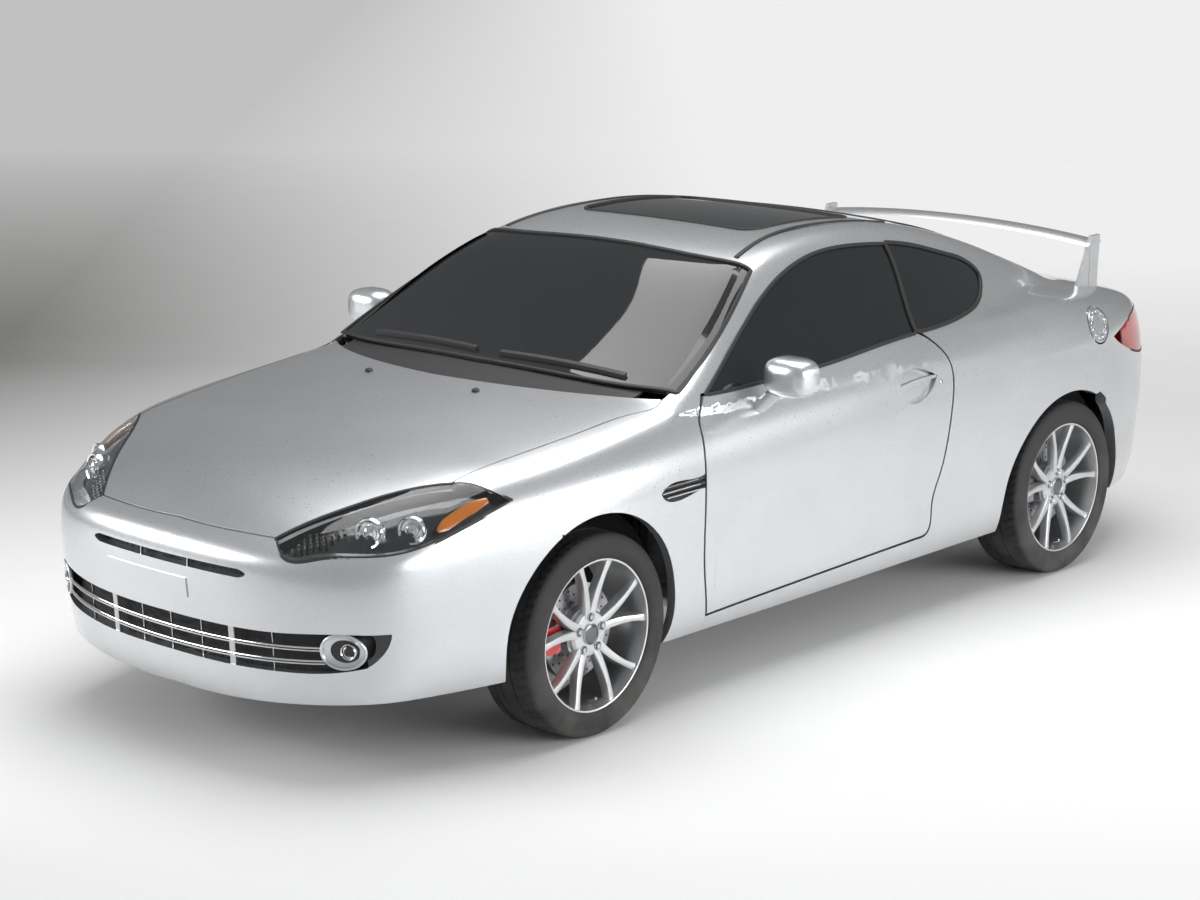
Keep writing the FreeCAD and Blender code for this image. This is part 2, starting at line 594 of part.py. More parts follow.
def top_rays(edge, front, rear, stations=14, columns=13):
    """Upright rays over a strip whose half width follows a curve of shares."""
    rows = []
    for y in spaced(front, rear, stations):
        reach = half_width * edge(y / length)
        rows.append([(Vector(reach * share, y, height * .4478), Vector(0, 0, 1))
                     for share in spaced(-1, 1, columns)])
    return rows


def tail_rays(edge, first, last):
    """Rays that turn from the roof's end over the deck to the tail, about a line across the car."""
    rows = []
    for turn in spaced(first, last, 22):
        angle = math.radians(turn)
        heading = Vector(0, math.cos(angle), math.sin(angle))
        reach = half_width * edge((turn - first) / (last - first))
        rows.append([(Vector(reach * share, length * .2958, height * .3358), heading)
                     for share in spaced(-1, 1, 13)])
    return rows


VIEWS = {
    "side": (Vector(0, 1, 0), Vector(0, 0, 1), Vector(1, 0, 0), length, height),
    "plan": (Vector(0, 1, 0), Vector(1, 0, 0), Vector(0, 0, 1), length, half_width),
    "front": (Vector(1, 0, 0), Vector(0, 0, 1), Vector(0, -1, 0), half_width, height),
    "rear": (Vector(1, 0, 0), Vector(0, 0, 1), Vector(0, 1, 0), half_width, height),
    "oblique": (Vector(1, 1, 0) * math.sqrt(.5), Vector(0, 0, 1),
                Vector(1, -1, 0) * math.sqrt(.5), length, height),
}


def mirrored_runs(runs):
    """Close an outline that stops at the middle plane with its mirror image."""
    other = [[(a, -b) for a, b in reversed(run)] for run in reversed(runs)]
    return runs + other


def mirrored_width(runs):
    """The same for outlines whose first value runs across the car."""
    other = [[(-a, b) for a, b in reversed(run)] for run in reversed(runs)]
    return runs + other


class Outline:
    """Closed outline of smooth runs, seen along one of the views."""

    def __init__(self, runs, view):
        across, upward, along, wide, tall = VIEWS[view]
        self.across = across
        self.upward = upward
        self.along = along
        self.runs = [[(a * wide, b * tall) for a, b in run] for run in runs]

    def _moved(self, gap):
        """Points of each run, moved outwards by a gap with mitred corners."""
        ring = [point for run in self.runs for point in run[:-1]]
        area = sum(a[0] * b[1] - b[0] * a[1] for a, b in zip(ring, ring[1:] + ring[:1]))
        outward = 1 if area > 0 else -1
        moved = []
        for before, here, after in zip(ring[-1:] + ring[:-1], ring, ring[1:] + ring[:1]):
            normals = []
            for first, second in ((before, here), (here, after)):
                run = math.hypot(second[0] - first[0], second[1] - first[1])
                normals.append(((second[1] - first[1]) / run * outward,
                                (first[0] - second[0]) / run * outward))
            blend = 1 + normals[0][0] * normals[1][0] + normals[0][1] * normals[1][1]
            stretch = gap / max(blend, .5)
            moved.append((here[0] + (normals[0][0] + normals[1][0]) * stretch,
                          here[1] + (normals[0][1] + normals[1][1]) * stretch))
        runs = []
        start = 0
        for run in self.runs:
            count = len(run)
            runs.append([moved[(start + i) % len(moved)] for i in range(count)])
            start += count - 1
        return runs

    def prism(self, low, high, gap=0):
        """Solid of the outline, grown by a gap, from one depth along the view to another."""
        edges = []
        for run in self._moved(gap):
            points = [self.across * a + self.upward * b + self.along * low for a, b in run]
            if len(points) == 2:
                edges.append(Part.makeLine(*points))
            else:
                curve = Part.BSplineCurve()
                curve.interpolate(points)
                edges.append(curve.toShape())
        face = Part.Face(Part.Wire(edges))
        return face.extrude(self.along * (high - low))


def centred(runs, view):
    """Outline from its left half."""
    mirror = mirrored_runs if view == "plan" else mirrored_width
    return Outline(mirror(runs), view)


door_outline = Outline(DOOR_SHARES, "side")
window_outline = Outline(WINDOW_SHARES, "side")
door_glass_outline = Outline(DOOR_GLASS_SHARES, "side")
lamp_outline = Outline(LAMP_SHARES, "oblique")
hood_outline = centred(HOOD_OUTLINE_SHARES, "plan")
windshield_outline = centred(WINDSHIELD_SHARES, "plan")
roof_outline = centred(ROOF_OUTLINE_SHARES, "plan")
hatch_outline = centred(HATCH_OUTLINE_SHARES, "plan")
rear_glass_outline = centred(REAR_GLASS_SHARES, "plan")
sunroof_outline = centred(SUNROOF_SHARES, "plan")
bumper_seam = Outline(BUMPER_SEAM_SHARES, "side")
rear_bumper_seam = Outline(REAR_BUMPER_SEAM_SHARES, "side")
tail_lamp_outline = Outline(TAIL_LAMP_SHARES, "rear")
grille_outline = centred(GRILLE_SHARES, "front")
slot_outline = centred(SLOT_SHARES, "front")
fog_outline = Outline(FOG_SHARES, "front")
vent_outline = Outline(VENT_SHARES, "side")


def mirrored(shape):
    """Mirror image on the car's right side."""
    return shape.mirror(Vector(0, 0, 0), Vector(1, 0, 0))


def both(shape):
    """A shape and its mirror image, apart from each other."""
    return Part.makeCompound([shape, mirrored(shape)])


def largest(shape):
    """The main solid of a cut, without loose slivers."""
    return max(shape.Solids, key=lambda solid: solid.Volume)


def cuboid(low, high):
    """Box between two corners."""
    return Part.makeBox(high[0] - low[0], high[1] - low[1], high[2] - low[2], Vector(*low))


def rod(radius, start, end):
    """Round bar between two points."""
    start = Vector(*start)
    run = Vector(*end) - start
    return Part.makeCylinder(radius, run.Length, start, run)


def fused(*shapes):
    """Union of overlapping shapes."""
    whole = shapes[0]
    for shape in shapes[1:]:
        whole = whole.fuse(shape)
    return whole


def cut_all(shape, *tools):
    """Shape without each of the cutting forms."""
    for tool in tools:
        shape = shape.cut(tool)
    return shape


def arch_form(radius, y, z, low_x, high_x):
    """Cylinder across the car that opens a wheel arch."""
    return rod(radius, (low_x, y, z), (high_x, y, z))


def bind(item, target, text):
    """Bind one property to an expression written with the sheet's names."""
    names = re.sub(r"[a-z][a-z_]*", lambda word: f"sizes.{word[0]}"
                   if word[0] in DIMENSIONS else word[0], text)
    item.setExpression(target, names)


def block(name, x, y, z):
    """Box of the document between a low and a high expression on each axis."""
    box = document.addObject("Part::Box", name)
    for side, axis, (low, high) in (("Length", "x", x), ("Width", "y", y), ("Height", "z", z)):
        bind(box, side, f"({high}) - ({low})")
        bind(box, f".Placement.Base.{axis}", low)
    return box


def union(name, parts):
    """Fused object of the document."""
    whole = document.addObject("Part::MultiFuse", name)
    whole.Shapes = parts
    return whole


def difference(name, base, tool):
    """Cut object of the document."""
    cut = document.addObject("Part::Cut", name)
    cut.Base = base
    cut.Tool = tool
    return cut


def profile_sketch(body, name, role, points):
    """Closed sketch on an origin plane whose corners are bound to pairs of expressions."""
    sketch = body.newObject("Sketcher::SketchObject", name)
    plane = next(item for item in body.Origin.OriginFeatures if item.Role == role)
    sketch.AttachmentSupport = [(plane, "")]
    sketch.MapMode = "FlatFace"
    values = [tuple(eval_size(text) for text in point) for point in points]
    count = len(points)
    for i in range(count):
        start = Vector(*values[i], 0)
        end = Vector(*values[(i + 1) % count], 0)
        sketch.addGeometry(Part.LineSegment(start, end), False)
    for i in range(count):
        sketch.addConstraint(Sketcher.Constraint("Coincident", i, 2, (i + 1) % count, 1))
    for i, (point, value) in enumerate(zip(points, values)):
        for kind, text, number in zip(("DistanceX", "DistanceY"), point, value):
            place = sketch.addConstraint(Sketcher.Constraint(kind, -1, 1, i, 1, number))
            bind(sketch, f"Constraints[{place}]", text)
    return sketch


def eval_size(text):
    """Value of an expression written with the sheet's names."""
    names = re.sub(r"[a-z][a-z_]*", lambda word: f"sizes.{word[0]}"
                   if word[0] in DIMENSIONS else word[0], text)
    return float(sheet.evalExpression(names))


def revolved(name, points):
    """Body turned about the X axis from a closed profile."""
    body = document.addObject("PartDesign::Body", name)
    sketch = profile_sketch(body, f"{name}_profile", "XZ_Plane", points)
    turn = body.newObject("PartDesign::Revolution", f"{name}_turn")
    turn.Profile = sketch
    turn.ReferenceAxis = (sketch, ["H_Axis"])
    turn.Angle = 360
    return body


nodes = {}


def piece(name, shape, place=None):
    """Sub-part of its own from a finished shape."""
    item = document.addObject("Part::Feature", name)
    item.Shape = shape
    if place is not None:
        item.Placement = place
    return keep(name, item)


def keep(name, item):
    """Register an object as the sub-part of that name."""
    item.Label = name
    nodes[name] = item
    return item


front_arch = arch_form(size.arch_radius, front_axle_y - size.arch_shift,
                       axle_height + size.arch_rise, 0, far)
rear_arch = arch_form(size.rear_arch_radius, rear_axle_y - size.rear_arch_shift,
                      axle_height - size.rear_arch_drop, 0, far)


def make_hood():
    """Hood panel with an arm and barrel at each rear corner."""
    rays = top_rays(Curve([(-.5, .45), (-.4828, .46), (-.4446, .60), (-.39, .80), (-.18, .84)]),
                    length * -.4905, length * -.1850, 26)
    panel = skin(rays, 0, size.hood_wall).common(hood_outline.prism(0, height, -size.shut_gap / 2))
    panel = largest(panel)
    pin = Vector(size.hood_hinge_x, size.hood_hinge_y, size.hood_hinge_height)
    half = size.barrel_length / 2
    barrel = rod(size.barrel_radius, pin - Vector(half, 0, 0), pin + Vector(half, 0, 0))
    arm = cuboid((pin.x - half, pin.y - size.hood_arm_reach, pin.z - size.barrel_radius),
                 (pin.x + half, pin.y, pin.z))
    bore = rod(size.pin_radius + size.running_gap, pin - Vector(size.overrun, 0, 0),
               pin + Vector(size.overrun, 0, 0))
    hinge = fused(arm, barrel).cut(bore)
    under = skin(rays, -size.overrun, 1).common(hinge)
    hinge = hinge.cut(under)
    piece("hood", fused(panel, hinge, mirrored(hinge)))


def hood_pin():
    """Bracket and pin that carry the hood's left hinge."""
    pin = Vector(size.hood_hinge_x, size.hood_hinge_y, size.hood_hinge_height)
    half = size.barrel_length / 2 + size.seat_gap
    plate_inner = pin.x - half - size.strap_thickness
    plate = cuboid((plate_inner, pin.y - size.barrel_radius * 2, size.rocker_top),
                   (pin.x - half, pin.y + size.barrel_radius, pin.z + size.barrel_radius))
    plate = plate.common(cuboid((plate_inner, -length, size.post_top - size.overrun),
                                (pin.x, 0, height)))
    shaft = rod(size.pin_radius, (plate_inner, pin.y, pin.z), (pin.x + half, pin.y, pin.z))
    foot = cuboid((size.post_inner_x, pin.y - size.barrel_radius * 2, size.post_top - size.overrun),
                  (size.post_outer_x, pin.y + size.barrel_radius,
                   pin.z - size.barrel_radius - size.pocket_gap))
    return fused(plate, foot, shaft)


def make_fenders():
    """Front fenders between bumper, hood and door, with the opening of the side vent."""
    rays = side_rays(length * -.41, length * -.155, -29, 34, 16, 22)
    panel = skin(rays, 0, size.fender_wall)
    gap = size.seat_gap / 2
    lamp = lamp_outline.prism(0, far, gap)
    rear = door_outline.prism(0, far, size.door_gap / 2)
    behind = cuboid((0, length * -.1725 - size.seat_gap, 0), (far, far, height * .7080))
    pillar = cuboid((0, length * -.1815, height * .7080), (far, far, height))
    panel = cut_all(panel, hood_outline.prism(0, height, size.shut_gap / 2), lamp, rear,
                    behind, pillar, bumper_seam.prism(0, far, gap), front_arch,
                    Outline(SILL_BOTTOM_SHARES, "side").prism(0, far), ahead_of_lamp(),
                    vent_outline.prism(0, far))
    cowl_side = cuboid((0, size.hood_hinge_y - size.hood_arm_reach, 0),
                       (half_width * .82, 0, height))
    panel = largest(panel.cut(cowl_side))
    piece("fender_left", panel)
    piece("fender_right", mirrored(panel))


def ahead_of_lamp():
    """Space in front of the lamps that no fender reaches."""
    return cuboid((0, -far, 0), (far, length * HOOD_OUTLINE_SHARES[2][0][0], height))


def make_side_vents():
    """Vent inserts with three slats behind each front wheel."""
    rays = side_rays(length * -.25, length * -.16, -12, 12, 8, 8)
    opening = vent_outline.prism(0, far, -size.seat_gap)
    back = skin(rays, size.fender_wall * .4, size.fender_wall).common(opening)
    slats = skin(rays, size.glass_depth, size.fender_wall * .5).common(opening)
    door = door_outline.prism(0, far, size.door_gap / 2)
    bars = []
    for share in (.5080, .5200, .5320):
        bars.append(slats.common(cuboid((0, -length, height * share),
                                        (far, length, height * (share + .006)))))
    piece("side_vents", both(largest(fused(back, *bars).cut(door))))


def make_front_bumper():
    """Front bumper shell with openings for the grille, the upper slot and the lamps."""
    rays = end_rays(-1, 87, height * .150, height * .585, 16, 33)
    shell = skin(rays, 0, size.bumper_wall)
    gap = size.seat_gap / 2
    lamp = lamp_outline.prism(0, far, gap)
    seam = bumper_seam.prism(0, far)
    chin = centred(CHIN_SHARES, "front").prism(0, far)
    left = seam.common(cuboid((0, -far, 0), (far, 0, height)))
    zone = fused(left, mirrored(left))
    shell = shell.common(zone)
    shell = cut_all(shell, front_arch, mirrored(front_arch), chin, lamp, mirrored(lamp),
                    grille_outline.prism(0, far), slot_outline.prism(0, far),
                    hood_outline.prism(0, height, size.shut_gap / 2))
    piece("front_bumper", largest(shell))


def make_grille():
    """Lower grille with bars and ribs, and the mesh behind the upper slot."""
    rays = end_rays(-1, 70, height * .22, height * .36, 8, 25)
    gap = size.seat_gap
    face = skin(rays, size.grille_setback, size.grille_setback + size.grille_wall)
    face = face.common(grille_outline.prism(0, far, -gap))
    fog = fog_outline.prism(0, far, gap)
    face = cut_all(face, fog, mirrored(fog))
    cells = []
    rows = ((.2365, .2590), (.2640, .2870), (.2920, .3150))
    pitch = half_width * .052
    rib = half_width * .008
    for low, high in rows:
        for i in range(-12, 12):
            left = i * pitch + rib / 2
            if abs(left + pitch / 2) > half_width * .60:
                continue
            cells.append(cuboid((left, -far, height * low), (left + pitch - rib, -length / 4,
                                                            height * high)))
    face = face.cut(Part.makeCompound(cells))
    mesh_rays = end_rays(-1, 35, height * .42, height * .47, 5, 11)
    mesh = skin(mesh_rays, size.grille_setback, size.grille_setback + size.grille_wall)
    mesh = mesh.common(slot_outline.prism(0, far, -gap))
    piece("front_grille", Part.makeCompound([largest(face), largest(mesh)]))


def make_fog_lamps():
    """Oval fog lamps set into the grille's outer ends."""
    rays = end_rays(-1, 70, height * .24, height * .35, 6, 21)
    lamp = skin(rays, size.grille_setback - size.glass_depth,
                size.grille_setback + size.lamp_wall)
    lamp = lamp.common(fog_outline.prism(0, far))
    piece("fog_lamps", both(largest(lamp)))


def make_headlamps():
    """Headlamps that wrap round the front corners."""
    rays = corner_rays(-1, 18, 84, 6, 36)
    lamp = skin(rays, size.lamp_depth, size.lamp_wall)
    gap = size.seat_gap / 2
    lamp = lamp.common(lamp_outline.prism(0, far, -gap))
    lamp = lamp.cut(hood_outline.prism(0, height, size.shut_gap / 2))
    piece("headlamps", both(largest(lamp)))


def make_windshield():
    """Windshield, and the cowl panel under its lower edge."""
    edge = Curve([(-.26, .86), (-.1786, .85), (-.0947, .755), (-.05, .67)])
    rays = top_rays(edge, length * -.2500, length * -.0500, 22, 17)
    deep = size.glass_depth + size.glass_wall
    glass = skin(rays, size.glass_depth, deep)
    glass = glass.common(windshield_outline.prism(0, height * 2, -size.seat_gap / 2))
    piece("windshield", largest(glass))
    cowl = skin(rays, deep + size.seat_gap, deep + size.seat_gap + size.cowl_wall)
    reach = half_width * .72
    cowl = cowl.common(cuboid((-reach, -length / 2, 0), (reach, length * -.188, height)))
    cowl = cowl.cut(hood_outline.prism(0, height, size.shut_gap / 2))
    piece("cowl_panel", largest(cowl))


def roof_rays():
    """Rays over the whole roof."""
    edge = Curve([(-.06, .66), (0, .56), (.1, .55), (.18, .57)])
    return top_rays(edge, length * -.0640, length * .1760, 18, 17)


def make_roof():
    """Roof panel with the sunroof opening and the notches and pins of the hatch hinges."""
    panel = skin(roof_rays(), 0, size.roof_wall)
    trim = roof_outline.prism(0, height * 2, -size.seat_gap / 2)
    panel = largest(panel.common(trim).cut(sunroof_outline.prism(0, height * 2)))
    half = size.hinge_slot_width / 2
    for side in (-1, 1):
        x = side * size.hatch_hinge_x
        slot = cuboid((x - half, size.hatch_hinge_y - size.barrel_radius - size.pocket_gap, 0),
                      (x + half, size.hatch_hinge_y + size.overrun, height * 2))
        panel = panel.cut(slot)
        panel = panel.fuse(rod(size.pin_radius,
                               (x - half - size.pin_radius, size.hatch_hinge_y,
                                size.hatch_hinge_height),
                               (x + half + size.pin_radius, size.hatch_hinge_y,
                                size.hatch_hinge_height)))
    piece("roof_panel", panel)
    glass = skin(roof_rays(), size.glass_depth, size.glass_depth + size.glass_wall)
    glass = glass.common(sunroof_outline.prism(0, height * 2, -size.seat_gap))
    piece("sunroof_glass", largest(glass))


def hatch_rays():
    """Rays over the hatch, from the roof's end to its lower edge."""
    edge = Curve([(0, .585), (.25, .56), (.5, .56), (.7, .66), (1, .74)])
    return tail_rays(edge, 128, 8)


def make_hatch():
    """Liftback hatch with its glass opening and hinge arms."""
    panel = skin(hatch_rays(), 0, size.hatch_wall)
    panel = panel.common(hatch_outline.prism(height * .5194 + size.hatch_gap, height * 2,
                                             -size.hatch_gap / 2))
    nose = rod(size.hatch_nose_radius, (-half_width, size.hatch_hinge_y, size.hatch_hinge_height),
               (half_width, size.hatch_hinge_y, size.hatch_hinge_height))
    panel = largest(cut_all(panel, nose, rear_glass_outline.prism(height / 2, height * 2),
                            arm_space()))
    half = size.barrel_length / 2
    for side in (-1, 1):
        x = side * size.hatch_hinge_x
        pin = Vector(x, size.hatch_hinge_y, size.hatch_hinge_height)
        barrel = rod(size.barrel_radius, pin - Vector(half, 0, 0), pin + Vector(half, 0, 0))
        arm = cuboid((x - half, pin.y, pin.z - size.barrel_radius),
                     (x + half, pin.y + size.hatch_arm_reach, pin.z))
        bore = rod(size.pin_radius + size.running_gap, pin - Vector(size.overrun, 0, 0),
                   pin + Vector(size.overrun, 0, 0))
        panel = panel.fuse(fused(arm, barrel).cut(bore))
    piece("hatch", panel)
    glass = skin(hatch_rays(), size.glass_depth, size.glass_depth + size.glass_wall)
    glass = glass.common(rear_glass_outline.prism(height / 2, height * 2, -size.seat_gap))
    piece("rear_glass", largest(glass))


def arm_space():
    """Nothing of the hatch lies ahead of its hinge line."""
    return cuboid((-half_width, 0, 0), (half_width, size.hatch_hinge_y, height * 2))


def flap_frame():
    """Centre, normal and upward direction of the fuel flap on the left quarter."""
    start = Vector(0, size.flap_y, size.flap_height - size.flap_radius)
    heading = Vector(1, 0, .08)
    heading.normalize()
    centre = surface_point(start, heading, 0)
    probe = size.flap_radius / 4
    gradient = []
    for step in (Vector(probe, 0, 0), Vector(0, probe, 0), Vector(0, 0, probe)):
        ahead = centre + step
        behind = centre - step
        gradient.append(body_field(*ahead) - body_field(*behind))
    normal = Vector(*gradient)
    normal.normalize()
    forward = Vector(0, 0, 1).cross(normal)
    forward.normalize()
    upward = normal.cross(forward)
    return centre, normal, forward, upward


def flap_hinge():
    """A point of the flap's hinge line and its direction."""
    centre, normal, forward, upward = flap_frame()
    point = centre - forward * (size.flap_radius - size.flap_hinge_inset)
    return point - normal * size.flap_hinge_depth, upward


def make_fuel_flap():
    """Round fuel flap with a hinge barrel at its front edge."""
    centre, normal, forward, upward = flap_frame()
    rays = capsule_rays(length * .25, length * .3072, 30, 0, 40)
    disc = rod(size.flap_radius, centre - normal * size.overrun, centre + normal * size.overrun)
    plate = largest(skin(rays, 0, size.flap_wall).common(disc))
    point, axis = flap_hinge()
    half = axis * (size.flap_barrel_length / 2)
    barrel = rod(size.flap_barrel_radius, point - half, point + half)
    bore = rod(size.flap_pin_radius + size.running_gap, point - axis * size.overrun,
               point + axis * size.overrun)
    piece("fuel_flap", largest(fused(plate, barrel).cut(bore)))


def make_body_sides():
    """Body sides: sill, hinge post, pillars, roof rail and rear quarter in one piece."""
    rays = capsule_rays(length * -.1840, length * .3072, 80, -28, 60)
    wall = skin(rays, 0, size.side_wall)
    gap = size.seat_gap / 2
    lamp = tail_lamp_outline.prism(length * .2, far, gap)
    ahead = cuboid((0, -length, 0), (far, length * -.1725, height * .7080 + size.seat_gap))
    cowl = cuboid((0, -length, 0), (far, length * -.1815, height))
    wall = cut_all(wall, windshield_outline.prism(0, height * 2, gap),
                   roof_outline.prism(height * .7, height * 2, gap),
                   hatch_outline.prism(0, height * 2, size.hatch_gap / 2),
                   door_outline.prism(0, far, size.door_gap / 2),
                   window_outline.prism(0, far, size.shut_gap / 2),
                   ahead, cowl, rear_arch,
                   rear_bumper_seam.prism(0, far, gap), lamp,
                   Outline(SILL_BOTTOM_SHARES, "side").prism(0, far))
    wall = largest(wall)
    a_foot = skin(side_rays(length * -.1800, length * -.1740, 18, 26, 4, 8),
                  size.fender_wall + size.pocket_gap * 3, size.post_depth - size.strap_thickness)
    a_foot = largest(a_foot.common(Outline(A_FOOT_SHARES, "side").prism(0, far)))
    b_foot = skin(side_rays(length * .1240, length * .1400, -27, 24, 5, 14),
                  size.side_wall * .8, size.post_depth + size.side_wall)
    b_foot = largest(b_foot.common(Outline(B_FOOT_SHARES, "side").prism(0, far)))
    pillar = skin(side_rays(length * .09, length * .145, 20, 54, 8, 16),
                  size.glass_depth + size.glass_wall + size.shut_gap, size.post_wall)
    pillar = pillar.common(Outline(B_POST_SHARES, "side").prism(0, far))
    pillar = largest(pillar.cut(door_outline.prism(0, far, size.door_gap / 2)))
    inner_x = size.floor_half_width + size.seat_gap
    rocker = cuboid((inner_x, size.rocker_front_y, size.rocker_low),
                    (size.rocker_outer_x, size.rocker_rear_y, size.rocker_top))
    web = cuboid((size.rocker_outer_x - size.strap_thickness, length * -.165, size.rocker_web_low),
                 (size.rocker_web_outer_x, size.rocker_rear_y - size.strap_thickness,
                  size.rocker_web_top))
    post = cuboid((size.post_inner_x + size.seat_gap, size.rocker_front_y, size.rocker_low),
                  (size.post_outer_x, size.post_rear_y, size.post_top))
    side = fused(wall, rocker, web, post, b_foot, pillar, a_foot, hood_pin())
    for z in (size.door_hinge_low, size.door_hinge_high):
        side = side.fuse(door_strap(z))
    side = largest(side)
    centre, normal, forward, upward = flap_frame()
    pocket = rod(size.flap_radius + size.flap_gap, centre - normal * size.flap_pocket_depth,
                 centre + normal * size.overrun)
    right = mirrored(side)
    side = side.cut(pocket)
    floor_point = centre - normal * size.flap_pocket_depth
    filler = rod(size.filler_radius, floor_point, floor_point + normal * size.filler_height)
    point, axis = flap_hinge()
    pin_reach = size.flap_radius + size.flap_gap
    pin = rod(size.flap_pin_radius, point - axis * pin_reach, point + axis * pin_reach)
    pin = pin.common(rod(size.flap_radius + size.flap_gap + size.flap_pin_radius,
                         centre - normal * size.flap_pocket_depth, centre + normal * size.overrun))
    piece("body_side_left", fused(side, filler, pin))
    piece("body_side_right", right)


def door_strap(z):
    """Hinge strap and eye that carry the left door, at one height."""
    half = size.strap_thickness / 2
    tall = size.barrel_length / 2
    x = size.door_hinge_x
    y = size.door_hinge_y
    strap = cuboid((size.post_outer_x - half, y - half, z - tall), (x, y + half, z + tall))
    eye = rod(size.barrel_radius, (x, y, z - tall), (x, y, z + tall))
    bore = rod(size.pin_radius + size.running_gap, (x, y, z - size.overrun),
               (x, y, z + size.overrun))
    return fused(strap, eye).cut(bore)


def make_doors():
    """Doors as thick as the real ones, with hinge pockets, pins and handle recesses."""
    rays = side_rays(length * -.190, length * .130, -27, 31, 18, 20)
    panel = skin(rays, 0, size.door_wall)
    panel = panel.common(door_outline.prism(0, far, -size.door_gap / 2))
    cup = skin(side_rays(length * .04, length * .115, 8, 26, 8, 8), -size.overrun,
               size.handle_depth)
    panel = panel.cut(cup.common(Outline(HANDLE_SHARES, "side").prism(0, far)))
    bar = skin(side_rays(length * .04, length * .115, 8, 26, 8, 8), size.glass_depth,
               size.glass_depth + size.handle_bar_depth)
    panel = panel.fuse(bar.common(Outline(HANDLE_BAR_SHARES, "side").prism(0, far)))
    tall = size.door_pocket_height / 2
    x = size.door_hinge_x
    y = size.door_hinge_y
    reach = size.barrel_radius + size.pocket_gap
    for z in (size.door_hinge_low, size.door_hinge_high):
        pocket = cuboid((x - size.door_wall * 2, y - size.door_wall * 2, z - tall),
                        (x, y + size.strap_thickness / 2 + size.pocket_gap, z + tall))
        pocket = pocket.fuse(rod(reach, (x, y, z - tall), (x, y, z + tall)))
        panel = panel.cut(pocket)
        pin = rod(size.pin_radius, (x, y, z - tall - size.pin_radius),
                  (x, y, z + tall + size.pin_radius))
        panel = panel.fuse(pin)
    panel = largest(panel)
    piece("door_left", panel)
    piece("door_right", mirrored(panel))


def make_side_glass():
    """Frameless door glass and fixed quarter glass."""
    rays = side_rays(length * -.170, length * .235, 20, 58, 18, 20)
    pane = skin(rays, size.glass_depth, size.glass_depth + size.glass_wall)
    door_top = door_outline.prism(0, far, size.seat_gap - size.door_gap / 2)
    door_pane = pane.common(door_glass_outline.prism(0, far, -size.shut_gap / 2))
    door_pane = largest(door_pane.cut(door_top))
    piece("door_glass_left", door_pane)
    piece("door_glass_right", mirrored(door_pane))
    quarter = pane.common(window_outline.prism(0, far, size.shut_gap / 2 - size.seat_gap))
    quarter = quarter.cut(door_glass_outline.prism(0, far, size.shut_gap / 2))
    quarter = quarter.cut(door_outline.prism(0, far, size.door_gap / 2 + size.seat_gap))
    piece("quarter_glass", both(largest(quarter)))


def oval_bar(half_wide, half_tall, start, run):
    """Bar of oval section that runs along the car."""
    edge = Part.Ellipse(Vector(0, 0, 0), half_wide, half_tall).toShape()
    face = Part.Face(Part.Wire(edge))
    face.rotate(Vector(0, 0, 0), Vector(1, 0, 0), 90)
    face.translate(start)
    return face.extrude(Vector(0, run, 0))


def make_mirrors():
    """Door mirrors: rounded housings open to the rear, on short feet."""
    middle = Vector(size.mirror_x, size.mirror_y, size.mirror_height)
    back = Vector(size.mirror_x, size.mirror_glass_y, size.mirror_height)
    shell = oval_bar(size.mirror_half_width, size.mirror_half_height, back, -size.mirror_depth)
    front = [edge for edge in shell.Edges
             if edge.BoundBox.YMax < size.mirror_glass_y - size.mirror_depth / 2]
    shell = shell.makeFillet(size.mirror_round, front)
    recess = oval_bar(size.mirror_half_width - size.mirror_rim,
                      size.mirror_half_height - size.mirror_rim,
                      back + Vector(0, size.mirror_rim, 0),
                      -size.mirror_rim - size.mirror_recess)
    shell = shell.cut(recess)
    foot = rod(size.mirror_foot_radius,
               (size.mirror_foot_x, size.mirror_foot_y, size.mirror_foot_height),
               (middle.x - size.mirror_half_width * MIRROR_FOOT_SHARES[0], middle.y,
                middle.z - size.mirror_half_height * MIRROR_FOOT_SHARES[1]))
    body = skin(side_rays(length * -.16, length * -.06, 0, 40, 8, 12), -size.seat_gap,
                size.door_wall)
    mirror = largest(fused(shell, foot).cut(body))
    piece("mirror_left", mirror)
    piece("mirror_right", mirrored(mirror))


def make_rear_bumper():
    """Rear bumper shell below the hatch and the tail lamps."""
    rays = end_rays(1, 84, height * .16, height * .56, 14, 31)
    shell = skin(rays, 0, size.bumper_wall)
    lamp = tail_lamp_outline.prism(length * .2, far, size.seat_gap / 2)
    left = rear_bumper_seam.prism(0, far, -size.seat_gap / 2)
    zone = fused(left, mirrored(left))
    shell = cut_all(shell.common(zone), rear_arch, mirrored(rear_arch), lamp, mirrored(lamp),
                    centred(REAR_CHIN_SHARES, "rear").prism(0, far))
    piece("rear_bumper", largest(shell))


def make_tail_lamps():
    """Tail lamps that wrap round the rear corners."""
    rays = corner_rays(1, 20, 75, 8, 34)
    lamp = skin(rays, size.lamp_depth, size.lamp_wall)
    lamp = lamp.common(tail_lamp_outline.prism(length * .2, far, -size.seat_gap / 2))
    lamp = cut_all(lamp, hatch_outline.prism(0, height * 2, size.hatch_gap / 2),
                   rear_bumper_seam.prism(0, far, size.seat_gap / 2))
    piece("tail_lamps", both(largest(lamp)))


